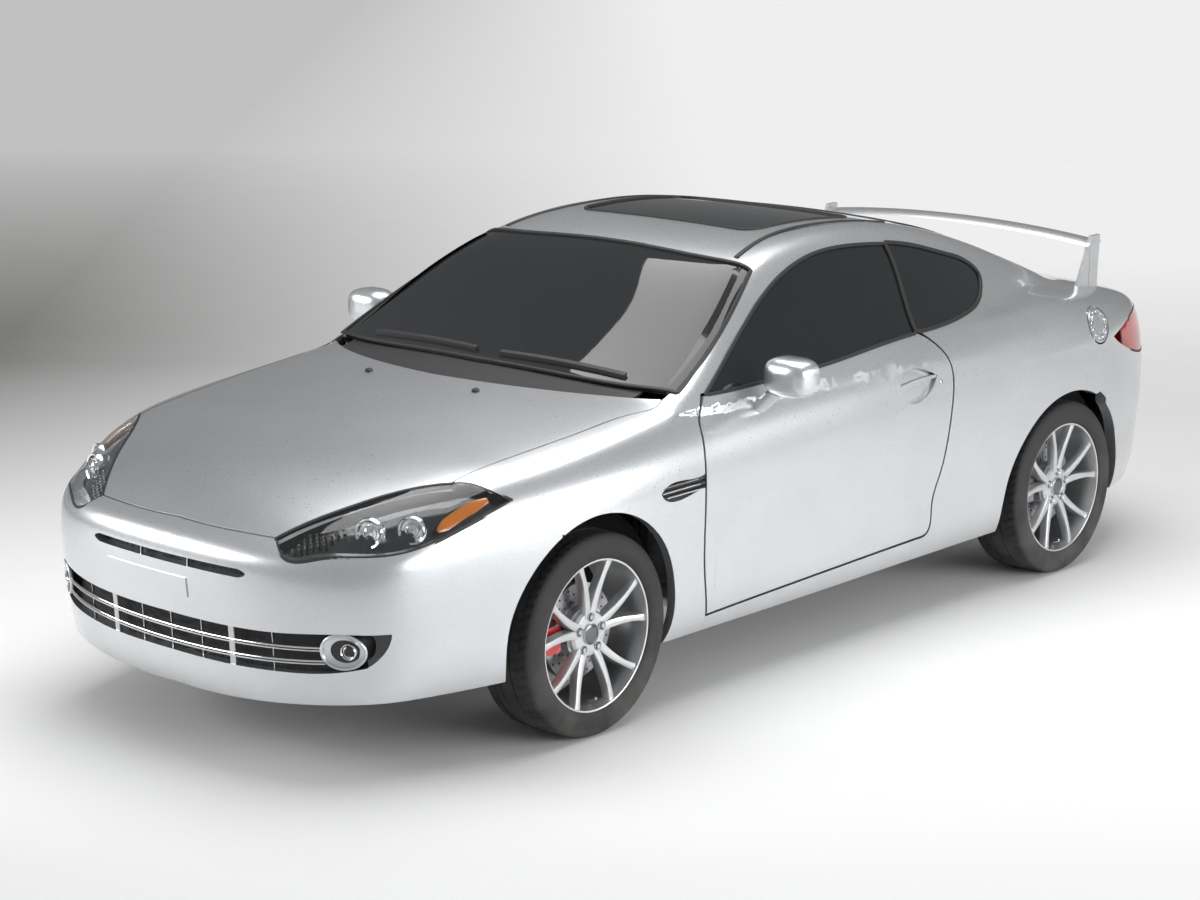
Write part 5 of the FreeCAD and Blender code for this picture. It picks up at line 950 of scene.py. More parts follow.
def boundary_loops(points: Array, faces: Array) -> list[Array]:
    """Closed loops of the edges that only one face has, longest first.

    Args:
        points: points, one row each.
        faces: triangles, one row each.

    Returns:
        A list of point arrays.
    """
    edges = np.concatenate([faces[:, [0, 1]], faces[:, [1, 2]], faces[:, [2, 0]]])
    ends = np.sort(edges, 1)
    _, index, count = np.unique(ends, axis=0, return_index=True, return_counts=True)
    after = {}
    for start, end in edges[index[count == 1]].tolist():
        after.setdefault(start, []).append(end)
    loops = []
    while after:
        start = next(iter(after))
        loop = [start]
        while after.get(loop[-1]):
            step = after[loop[-1]].pop()
            if not after[loop[-1]]:
                del after[loop[-1]]
            if step == start:
                break
            loop.append(step)
        loops.append(points[loop])
    return sorted(loops, key=lambda loop: -path_length(loop))


def path_length(points: Array) -> float:
    """Length along a path of points."""
    return float(np.linalg.norm(np.diff(points, axis=0), axis=1).sum())


def evenly(points: Array, spacing: float, closed: bool = True) -> Array:
    """Path resampled at an even spacing.

    Args:
        points: the path.
        spacing: distance between the new points.
        closed: True where the path is a ring.

    Returns:
        The new path.
    """
    points = np.asarray(points, float)
    if closed:
        points = np.concatenate([points, points[:1]])
    reach = np.concatenate([[0], np.cumsum(np.linalg.norm(np.diff(points, axis=0), axis=1))])
    count = max(int(reach[-1] / spacing), 4)
    marks = np.linspace(0, reach[-1], count, endpoint=not closed)
    return np.stack([np.interp(marks, reach, points[:, axis]) for axis in range(3)], -1)


def rubber_ring(loop: Array, width: float, height: float, lift: float = 0.0,
                spacing: float = 0.012) -> Shape:
    """Strip along a closed loop on the body form.

    Args:
        loop: points of the loop.
        width: width of the strip across the surface.
        height: height of the strip.
        lift: distance of its middle above the loop.
        spacing: distance between its sections.

    Returns:
        The shape.
    """
    path = evenly(loop, spacing)
    normals = FORM.normals(path)
    return swept(path + normals * lift, flat_bar(width, height), normals, closed=True)


def strip_over(x: Number, y: Number, width: float, height: float) -> Shape:
    """Open strip over the top surface along places of the plan."""
    path = evenly(FORM.over(x, y), .02, closed=False)
    return swept(path, flat_bar(width, height), FORM.normals(path))


@dataclass
class Panels:
    """Painted panels, glass and the black trim of the body.

    Attributes:
        shop: workshop that makes the pieces.
        painted: CAD nodes with paint outside.
        tinted: CAD nodes of tinted glass.
    """

    shop: Workshop
    painted: tuple = ("body_side_left", "body_side_right", "roof_panel", "fender_left",
                      "fender_right", "front_bumper", "rear_bumper", "hood", "door_left",
                      "door_right", "hatch")
    tinted: tuple = ("door_glass_left", "door_glass_right", "quarter_glass", "rear_glass",
                     "sunroof_glass")

    def build(self) -> None:
        """Shows the panels and glass."""
        inner = {"hood": UNDERBODY, "front_bumper": TRIM, "rear_bumper": TRIM,
                 "fender_left": UNDERBODY, "fender_right": UNDERBODY}
        for node in self.painted:
            self.shop.panel(node, PAINT, inner.get(node, CABIN))
        for node in self.tinted:
            self.shop.panel(node, GLASS)
        self.shop.panel("windshield", SCREEN)
        self.shop.panel("cowl_panel", TRIM)
        self.shop.panel("fuel_flap", PAINT)
        self.shop.panel("wipers", TRIM)
        self._frits()
        self._weatherstrips()

    def _frits(self) -> None:
        """Black ceramic bands behind the edges of the bonded glass."""
        for node, width in (("windshield", .05), ("rear_glass", .045), ("quarter_glass", .03),
                            ("sunroof_glass", .03)):
            shape = Shape()
            loops = self.shop.rims_of(node)
            for loop in loops[:2 if node == "quarter_glass" else 1]:
                path = evenly(loop, .02)
                normals = FORM.normals(path)
                inward = unit(path.mean(0) - path)
                inward = unit(inward - normals * (inward * normals).sum(-1, keepdims=True))
                middle = path + inward * width / 2 - normals * .0062
                shape.join(swept(middle, flat_bar(width, .0012), normals, closed=True))
            self.shop.piece(f"{node}_band", shape, GLOSS_BLACK, self.shop.home[node])

    def _weatherstrips(self) -> None:
        """Rubber round each pane."""
        for node, width in (("windshield", .014), ("rear_glass", .014), ("sunroof_glass", .012),
                            ("quarter_glass", .014), ("door_glass_left", .012),
                            ("door_glass_right", .012)):
            shape = Shape()
            for loop in self.shop.rims_of(node)[:2 if node == "quarter_glass" else 1]:
                shape.join(rubber_ring(loop, width, .007, lift=.0005))
            self.shop.piece(f"{node}_rubber", shape, RUBBER, self.shop.home[node])


@dataclass
class RoofTrim:
    """Black ditch mouldings along the roof and the washer nozzles.

    Attributes:
        shop: workshop that makes the pieces.
        width: width of a moulding.
    """

    shop: Workshop
    width: float = .016

    def build(self) -> None:
        """Makes the mouldings and nozzles."""
        ditch = Spline([(-.227, .506), (-.087, .479), (.064, .455), (.323, .449), (.515, .451),
                        (.66, .455)])
        along = np.linspace(-.215, .655, 40)
        for name, side in (("left", 1), ("right", -1)):
            strip = strip_over(ditch(along) * side, along, self.width, .004)
            self.shop.piece(f"roof_moulding_{name}", strip, RUBBER, "body")
        nozzles = Shape()
        for side in (-1, 1):
            seat = FORM.over(side * .234, -1.151)
            normal = FORM.normals(seat)
            nozzles.join(turned([(0, -.001), (.013, -.001), (.012, .006), (.008, .009),
                                 (0, .0095)], seat, normal, 20))
        self.shop.piece("washer_nozzles", nozzles, TRIM, "hood")


@dataclass
class Headlamps:
    """Clear lenses over black housings, each with two ringed units and an amber strip.

    Attributes:
        shop: workshop that makes the pieces.
        units: places across and along of the round units, their height and ring radius.
        lens_wall: thickness of the lens.
    """

    shop: Workshop
    units: tuple = ((.606, -1.974, .737, .046), (.698, -1.892, .741, .042))
    lens_wall: float = .003

    def build(self) -> None:
        """Makes the lens, housing and inserts of both lamps."""
        points, faces = self.shop.node_mesh("headlamps")
        facing = self.shop.facing(points, faces)
        normals = FORM.normals(points)
        outer = faces[facing > .7]
        lens = slab(points, outer, normals, 0.0, self.lens_wall)
        made = self.shop.piece("headlamp_lenses", lens, LENS, "body", sharp=50)
        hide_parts("headlamps")
        tray = Shape()
        tray.join(slab(points, outer, normals, .036, .040))
        for loop in boundary_loops(points, outer)[:2]:
            path = evenly(loop, .01)
            turn = FORM.normals(path)
            tray.join(swept(path - turn * .021, [(-.0012, -.0185), (.0012, -.0185),
                                                 (.0012, .0175), (-.0012, .0175)], turn, True))
        self.shop.piece("headlamp_housings", tray, GLOSS_BLACK, "body", sharp=50)
        rims = Shape()
        for loop in boundary_loops(points, outer)[:2]:
            rims.join(rubber_ring(loop, .010, .002, lift=-.0008, spacing=.008))
        self.shop.piece("headlamp_gaskets", rims, RUBBER, "body")
        self._units()
        self._amber()
        self._indicator()

    def _aim(self, x: float, y: float, z: float) -> tuple[Array, Array]:
        """Seat and direction of an insert that looks through the lens."""
        start = np.array([x * .6, y + .35, z])
        seat = FORM.hit(start, unit(np.array([x, y, z]) - start), 1.2)
        outward = unit(FORM.normals(seat) * (1, 1, .25) + np.array([0, -.9, 0]))
        return seat, outward

    def _units(self) -> None:
        """Chrome rings with a bowl and a glass ball inside."""
        rings, bowls, balls = Shape(), Shape(), Shape()
        for x, y, z, radius in self.units:
            seat, outward = self._aim(x, y, z)
            base = seat - FORM.normals(seat) * .0255
            rings.join(turned([(radius, -.006), (radius, .008), (radius * .93, .013),
                               (radius * .82, .011), (radius * .76, .004),
                               (radius * .76, -.006)], base, outward, 48))
            bowls.join(turned([(0, -.008), (radius * .9, -.0075), (radius * .8, .001),
                               (radius * .6, -.002), (radius * .3, -.005), (0, -.0055)],
                              base, outward, 40))
            ball = radius * .5
            turn = np.linspace(0, math.pi, 12)
            profile = np.stack([np.sin(turn) * ball, -np.cos(turn) * ball * .62 + .002], -1)
            profile[[0, -1], 0] = 0
            balls.join(turned(profile, base, outward, 32))
        self.shop.piece("lamp_rings", rings.with_mirror(), CHROME, "body")
        self.shop.piece("lamp_bowls", bowls.with_mirror(), REFLECTOR, "body")
        self.shop.piece("lamp_projectors", balls.with_mirror(), LENS, "body")

    def _amber(self) -> None:
        """Ribbed amber strip along the lamp's outer lower edge."""
        places = np.array([(.748, -1.842, .728), (.758, -1.790, .754), (.768, -1.725, .778),
                           (.777, -1.668, .792)])
        rings = 24
        path = smooth_path(places, rings)
        width = np.interp(np.linspace(0, 1, rings), [0, .18, .7, 1], [.012, .034, .034, .016])
        normals = FORM.normals(path)
        path = path - normals * .011
        ribs = np.tile([0, .0012], rings // 2)
        along = unit(np.gradient(path, axis=0))
        across = np.cross(along, normals)
        section = np.array([(-.5, -.004), (.5, -.004), (.5, .002), (.2, .004), (-.2, .004),
                            (-.5, .002)])
        points = (path[:, None] + across[:, None] * (section[None, :, :1] * width[:, None, None])
                  + normals[:, None] * (section[None, :, 1:] + ribs[:, None, None]))
        count = len(section)
        shape = Shape().add(points, grid_faces(rings, count, False, True)[:, ::-1])
        shape.faces.append(list(range(count))[::-1])
        shape.faces.append(list(range((rings - 1) * count, rings * count)))
        self.shop.piece("lamp_amber_strips", shape.with_mirror(), AMBER, "body")

    def _indicator(self) -> None:
        """Small faceted reflector at the lamp's inner end."""
        shape = Shape()
        for row in range(4):
            for column in range(6):
                x = .438 + column * .015 + row * .006
                z = .684 + row * .012 + column * .0042
                seat = FORM.before(x, z)
                normal = FORM.normals(seat)
                centre = seat - normal * .024
                shape.join(turned([(0, -.004), (.007, -.004), (.007, 0), (.0035, .003),
                                   (0, .0036)], centre, normal, 4))
        self.shop.piece("lamp_indicators", shape.with_mirror(), SMOKED, "body", sharp=15)


def slab(points: Array, faces: Array, normals: Array, near: float, far: float) -> Shape:
    """Closed slab under some faces of a panel.

    Args:
        points: points of the panel.
        faces: triangles that look outwards.
        normals: outward directions at the points.
        near: depth of the slab's outer face.
        far: depth of its inner face.

    Returns:
        The shape.
    """
    used, index = np.unique(faces, return_inverse=True)
    index = index.reshape(faces.shape)
    count = len(used)
    top = points[used] - normals[used] * near
    bottom = points[used] - normals[used] * far
    edges = np.concatenate([index[:, [0, 1]], index[:, [1, 2]], index[:, [2, 0]]])
    _, first, times = np.unique(np.sort(edges, 1), axis=0, return_index=True,
                                return_counts=True)
    rim = edges[first[times == 1]]
    shape = Shape()
    shape.points.append(np.concatenate([top, bottom]))
    shape.count = 2 * count
    shape.faces.extend(index.tolist())
    shape.faces.extend((index[:, ::-1] + count).tolist())
    walls = np.stack([rim[:, 1], rim[:, 0], rim[:, 0] + count, rim[:, 1] + count], -1)
    shape.faces.extend(walls.tolist())
    return shape


@dataclass
class FrontEnd:
    """Lower grille, fog lamps and the blank plate pad.

    Attributes:
        shop: workshop that makes the pieces.
        upright_x: distance of the broad uprights from the middle.
        fog_x: distance of the fog lamps from the middle.
        fog_z: height of the fog lamps.
        fog_half: half width and half height of a fog lamp's bezel.
        mesh_depth: depth of the dark mesh under the nose.
    """

    shop: Workshop
    upright_x: float = .256
    fog_x: float = .606
    fog_z: float = .396
    fog_half: tuple = (.054, .050)
    mesh_depth: float = .034

    def build(self) -> None:
        """Dresses the front end."""
        self._backing()
        self._bars()
        self._fog_lamps()
        self._plate_pad()

    def _nose_path(self, x: Number, z: Number, depth: float) -> tuple[Array, Array]:
        """Path on the nose at places and heights, sunk by a depth."""
        path = FORM.before(x, z)
        normals = FORM.normals(path)
        return path - normals * depth, normals

    def _backing(self) -> None:
        """Dark mesh behind both openings: a solid sheet at an even depth under the nose, black
        mesh with a woven relief whose dark colour is also painted shade for the mesh's holes.
        """
        shape = Shape()
        for reach, low, high, rows in ((.66, .300, .452, 7), (.34, .576, .612, 4)):
            seat = FORM.before(*span((-reach, low), (reach, high), (45, rows)))
            shape.join(form_sheet(seat, self.mesh_depth, self.mesh_depth + .002))
        made = self.shop.piece("grille_mesh", shape, MESH, "body")
        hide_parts("front_grille")

    def _bars(self) -> None:
        """Bright bars across the opening, each over a grey slat, thin ribs and broad uprights."""
        bars, slats = Shape(), Shape()
        x = np.linspace(-.560, .560, 60)
        for low, lift in ((.386, .058), (.343, .072)):
            z = low + lift * x ** 2
            path, normals = self._nose_path(x, z, .004)
            bars.join(swept(path, oval(.0065, .008), normals))
            path, normals = self._nose_path(x, z - .0085, .012)
            slats.join(swept(path, flat_bar(.0045, .010), normals))
        self.shop.piece("grille_bars", bars, CHROME, "body")
        uprights = Shape()
        for side in (-1, 1):
            z = np.linspace(.308, .440, 14)
            path, normals = self._nose_path(np.full(14, side * self.upright_x), z, .009)
            uprights.join(swept(path, flat_bar(.022, .006), normals))
        self.shop.piece("grille_uprights", uprights, SATIN, "body")
        for place in (-.40, -.13, 0, .13, .40):
            z = np.linspace(.312, .436, 12)
            path, normals = self._nose_path(np.full(12, place), z, .016)
            slats.join(swept(path, flat_bar(.0035, .006), normals))
        for place in (-.102, .102):
            z = np.linspace(.580, .608, 6)
            path, normals = self._nose_path(np.full(6, place), z, .010)
            slats.join(swept(path, flat_bar(.005, .007), normals))
        self.shop.piece("grille_ribs", slats, SATIN, "body")

    def _fog_lamps(self) -> None:
        """Silver oval housings dished round small clear lenses."""
        self.shop.panel("fog_lamps", TRIM)
        turn = np.linspace(0, 2 * math.pi, 56, endpoint=False)
        wide, tall = self.fog_half
        path, normals = self._nose_path(self.fog_x + wide * np.cos(turn),
                                        self.fog_z + tall * np.sin(turn), .003)
        bezels = swept(path, oval(.010, .013), normals, closed=True)
        share = np.array([1.0, .82, .60, .40, .02])
        depth = np.array([.002, .006, .0105, .0125, .013])
        shift = .016 * (1 - share)
        x = self.fog_x + shift[:, None] + wide * share[:, None] * np.cos(turn)
        z = self.fog_z + tall * share[:, None] * np.sin(turn)
        seat = FORM.before(x, z)
        turnout = FORM.normals(seat)
        front = seat - turnout * depth[:, None, None]
        back = seat - turnout * (depth[:, None, None] + .003)
        rings = np.concatenate([front, back[::-1]])
        centre = FORM.before(self.fog_x + .016, self.fog_z)
        normal = FORM.normals(centre)
        gaze = unit(normal + np.array([0, -.9, 0]))
        base = centre - normal * .012
        rims = turned([(.0245, -.004), (.0245, .010), (.0225, .0125), (.0205, .010),
                       (.0205, -.004)], base, gaze, 40)
        lens = turned([(0, -.002), (.0205, -.002), (.0205, .006), (.013, .0105), (0, .012)],
                      base, gaze, 36)
        self.shop.piece("fog_bezels", bezels.with_mirror(), PAINT, "body")
        self.shop.piece("fog_bowls", closed_rings(rings).with_mirror(), PAINT, "body")
        self.shop.piece("fog_rims", rims.with_mirror(), CHROME, "body")
        self.shop.piece("fog_lenses", lens.with_mirror(), LENS, "body")

    def _plate_pad(self) -> None:
        """Blank pad for the number plate."""
        seat = FORM.before(*span((-.256, .489), (.100, .547), (33, 5)))
        self.shop.piece("plate_pad", form_sheet(seat, -.0035, .0025), PAINT, "body")


def smooth_path(places: Array | list, count: int) -> Array:
    """Path of a number of points along a spline through given places."""
    places = np.asarray(places, float)
    knots = np.linspace(0, 1, len(places))
    marks = np.linspace(0, 1, count)
    return np.stack([Spline(list(zip(knots, column)))(marks) for column in places.T], -1)


def form_sheet(seat: Array, near: float, far: float) -> Shape:
    """Closed sheet between two depths under a grid of points on the form.

    Args:
        seat: grid of points on the body form.
        near: depth of the outer face.
        far: depth of the inner face.

    Returns:
        The shape.
    """
    quads = grid_faces(*seat.shape[:2])
    triangles = np.concatenate([quads[:, :3], quads[:, [0, 2, 3]]])
    normals = FORM.normals(seat)
    return outward(slab(seat.reshape(-1, 3), triangles, normals.reshape(-1, 3), near, far))


def span(low: tuple, high: tuple, count: tuple) -> list[Array]:
    """Even places from low to high, as given for each of two directions, as two grids."""
    first, second = (np.linspace(*pair) for pair in zip(low, high, count))
    return np.meshgrid(first, second, indexing="ij")


def closed_rings(rings: Array) -> Shape:
    """Closed body from rings of points, the first ring joined to the last.

    Args:
        rings: array of rings by points round by three.

    Returns:
        The shape, with its faces outwards.
    """
    count = rings.shape[1]
    return outward(Shape().add(rings, grid_faces(len(rings), count, True, True)))


def outward(shape: Shape) -> Shape:
    """The shape with its faces turned out: its signed volume is made positive.

    Args:
        shape: closed shape of quads and triangles.

    Returns:
        The shape.
    """
    points = np.concatenate(shape.points)
    volume = 0.0
    for face in shape.faces:
        corners = points[face]
        first = corners[0]
        for second, third in zip(corners[1:-1], corners[2:]):
            volume += float(np.dot(first, np.cross(second, third)))
    if volume < 0:
        shape.faces = [face[::-1] for face in shape.faces]
    return shape


@dataclass
class Wheels:
    """Tyres with tread, forged rims with nuts and valves, discs and hub caps.

    Attributes:
        shop: workshop that makes the pieces.
        places: axle ends by their names.
        pitches: tread blocks round the tyre.
        spokes: forked spokes of a rim.
        nut_circle: radius of the circle that the nuts lie on.
        hub_face: place of the hub's outer face across the wheel.
        arm_reach: radii at which a spoke's arm starts and ends.
    """

    shop: Workshop
    places: dict = field(default_factory=lambda: {
        "fl": (1, FRONT_AXLE_Y), "fr": (-1, FRONT_AXLE_Y),
        "rl": (1, REAR_AXLE_Y), "rr": (-1, REAR_AXLE_Y)})
    pitches: int = 64
    spokes: int = 5
    nut_circle: float = .0535
    hub_face: float = .0675
    arm_reach: tuple = (.040, .2185)

    def build(self) -> None:
        """Makes the four wheels."""
        tyre = self._tyre()
        parts = (("rim_alloy", self._alloy(), ALLOY), ("brake_disc", self._disc(), DISC),
                 # The nut wells' floors are dark discs: painted shade in the recesses.
                 ("nut_wells", self._painted_well_shade(), TRIM), ("wheel_nuts", self._nuts(), SATIN),
                 ("hub_cap", self._cap(), SMOKED), ("valve", self._valve(), CHROME),
                 # The disc's holes are dark plugs: painted shade in place of open holes.
                 ("disc_holes", self._holes(), TRIM))
        for corner, (side, y) in self.places.items():
            centre = np.array([side * WHEEL_X, y, AXLE_HEIGHT])

            def place(points: Array, side: float = side, centre: Array = centre) -> Array:
                """The wheel's points turned to face outwards and moved to its centre."""
                return points * (side, side, 1) + centre
            body = self.shop.home[f"rim_{corner}"]
            made = self.shop.piece(f"tyre_tread_{corner}", tyre.moved(place), TYRE, body)
            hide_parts(f"tyre_{corner}")
            for name, shape, finish in parts:
                made = self.shop.piece(f"{name}_{corner}", shape.moved(place), finish, body)
                if name == "rim_alloy":
                    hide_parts(f"rim_{corner}")

    def _alloy(self) -> Shape:
        """Rim about the X axis: barrel, lip, hub and spokes that fork towards the edge.

        Returns:
            The shape, about the wheel's own axis.
        """
        shape = turned([(.2330, -.0955), (.2330, .0958), (.2300, .0962), (.2275, .0950),
                        (.2266, .0915), (.2262, .0850), (.2215, .0700), (.2195, .0450),
                        (.2195, -.0500), (.2255, -.0955)], (0, 0, 0), (1, 0, 0), 120)
        shape.join(turned([(.0225, .040), (.068, .040), (.074, .046), (.0735, .058),
                           (.066, .0655), (.050, self.hub_face), (.0225, self.hub_face)],
                          (0, 0, 0), (1, 0, 0), 72))
        shape.join(turned([(.0330, .060), (.0330, .0725), (.0316, .0738), (.0302, .0725),
                           (.0302, .060)], (0, 0, 0), (1, 0, 0), 60))
        arm = self._arm()
        for turn in np.arange(self.spokes) * 2 * math.pi / self.spokes + math.pi / 2:
            along, aside = math.cos(turn), math.sin(turn)
            for side in (-1, 1):
                def spin(points: Array, side: float = side, along: Number = along,
                         aside: float = aside) -> Array:
                    """The arm turned about the axle to its place among the spokes."""
                    x, u, v = points.T
                    v = v * side
                    return np.stack([x, u * along - v * aside, u * aside + v * along], -1)
                shape.join(outward(arm.moved(spin)))
            seat = (0, along * self.nut_circle, aside * self.nut_circle)
            shape.join(turned([(.0150, .058), (.0150, .0715), (.0138, .0725),
                               (.0122, .0712), (.0122, .058)], seat, (1, 0, 0), 32))
        return shape

    def _arm(self) -> Shape:
        """One arm of a fork, along +Y: its section's width, depth and place follow splines.

        Returns:
            The shape.
        """
        rings = 26
        marks = np.linspace(0, 1, rings)
        along = np.linspace(self.arm_reach[0], self.arm_reach[1], rings)
        aside = Spline([(0, .0085), (.25, .0150), (.5, .0262), (.75, .0428), (1, .0640)])(marks)
        face = Spline([(0, .0680), (.3, .0735), (.65, .0815), (1, .0880)])(marks)
        width = Spline([(0, .0290), (.3, .0265), (.6, .0225), (.85, .0205), (1, .0260)])(marks)
        depth = Spline([(0, .026), (.5, .030), (1, .026)])(marks)
        step = unit(np.stack([np.gradient(along), np.gradient(aside)], -1))
        section = np.array([(-.58, -1.0), (.58, -1.0), (.5, -.22), (.40, -.05), (.10, .0),
                            (-.25, -.02), (-.44, -.09), (-.5, -.25)])
        u = along[:, None] - step[:, None, 1] * section[None, :, 0] * width[:, None]
        v = aside[:, None] + step[:, None, 0] * section[None, :, 0] * width[:, None]
        x = face[:, None] + section[None, :, 1] * depth[:, None]
        count = len(section)
        shape = Shape().add(np.stack([x, u, v], -1), grid_faces(rings, count, False, True))
        shape.faces.append(list(range(count)))
        shape.faces.append(list(range((rings - 1) * count, rings * count))[::-1])
        return shape

    def _disc(self) -> Shape:
        """Brake disc with its hat, about the X axis."""
        return turned([(.0760, -.007), (.1480, -.007), (.1480, .017), (.0860, .017),
                       (.0840, .019), (.0840, .0490), (.0240, .0490), (.0240, .0415),
                       (.0760, .0415)], (0, 0, 0), (1, 0, 0), 96)

    def _tyre(self) -> Shape:
        """Tyre about the X axis: a turned section whose tread is cut by grooves.

        Returns:
            The shape, about the wheel's own axis.
        """
        section = np.array([
            (-.096, .2335), (-.1000, .2365), (-.1045, .2470), (-.1070, .2600), (-.1072, .2680),
            (-.1058, .2800), (-.1030, .2900), (-.0995, .2985), (-.0955, .3045), (-.0900, .3088),
            (-.0820, .3108), (-.0700, .3118), (-.0660, .3119), (-.0635, .3121), (-.0615, .3121),
            (-.0450, .3123), (-.0300, .3124), (-.0275, .3124), (-.0250, .3125), (-.0225, .3125),
            (-.0100, .3125), (0, .3125)])
        mirror = section[-2::-1] * (-1, 1)
        outer = np.concatenate([section, mirror])
        inner = np.array([(.088, .2335), (.06, .2345), (-.06, .2345), (-.088, .2335)])
        across = np.concatenate([outer, inner])
        count = self.pitches * 6
        turn = np.linspace(0, 2 * math.pi, count, endpoint=False)
        radius = np.repeat(across[None, :, 1], count, 0)
        x = np.repeat(across[None, :, 0], count, 0)
        wide = np.abs(x)
        tread = radius > .3100
        grooves = tread & ((np.abs(wide - .0625) < .0019) | (np.abs(wide - .0262) < .0019))
        phase = (turn[:, None] * self.pitches / (2 * math.pi) + x * 14) % 1
        cuts = tread & (wide > .030) & (wide < .093) & (phase < .17)
        radius = radius - .0065 * grooves - .0045 * (cuts & ~grooves)
        ribs = (radius > .256) & (radius < .262) & (wide > .1)
        radius = radius + .0004 * ribs
        points = np.stack([x, np.cos(turn)[:, None] * radius, np.sin(turn)[:, None] * radius],
                          -1)
        return Shape().add(points, grid_faces(count, len(across), True, True))

    def _around(self, count: int, radius: float, start: float = 0.0) -> list[tuple]:
        """Places round the wheel's axis at a radius."""
        turn = start + np.arange(count) * 2 * math.pi / count
        return [(math.cos(t) * radius, math.sin(t) * radius) for t in turn]

    def _painted_well_shade(self) -> Shape:
        """Dark discs on the floors of the nut wells, painted shade in the recesses."""
        shape = Shape()
        for y, z in self._around(self.spokes, self.nut_circle, math.pi / 2):
            shape.join(turned([(0, .060), (.0125, .060), (.0125, .0695), (0, .0695)],
                              (0, y, z), (1, 0, 0), 24))
        return shape

    def _nuts(self) -> Shape:
        """Five hexagonal nuts in their wells."""
        shape = Shape()
        for y, z in self._around(self.spokes, self.nut_circle, math.pi / 2):
            shape.join(turned([(0, .066), (.0095, .066), (.0095, .0725), (.0075, .0745),
                               (0, .0750)], (0, y, z), (1, 0, 0), 6))
        return shape

    def _cap(self) -> Shape:
        """Bare domed centre cap."""
        return turned([(0, .062), (.0303, .062), (.0303, .0700), (.027, .0722),
                       (.018, .0732), (0, .0738)], (0, 0, 0), (1, 0, 0), 48)

    def _valve(self) -> Shape:
        """Valve stem inside the rim's outer edge."""
        return turned([(0, 0), (.004, 0), (.004, .020), (.0048, .021), (.0048, .031),
                       (.003, .033), (0, .033)], (.052, .012, -.213), (.8, 0, .35), 12)

    def _holes(self) -> Shape:
        """Cross-drilled holes on the disc's outer face, as dark plugs flush with it: painted shade
        in place of the open holes.
        """
        shape = Shape()
        for radius, start in ((.100, 0), (.118, .16), (.136, .32)):
            for y, z in self._around(20, radius, start):
                shape.join(turned([(0, -.002), (.0042, -.002), (.0042, .0003), (0, .0003)],
                                  (.017, y, z), (1, 0, 0), 8))
        return shape


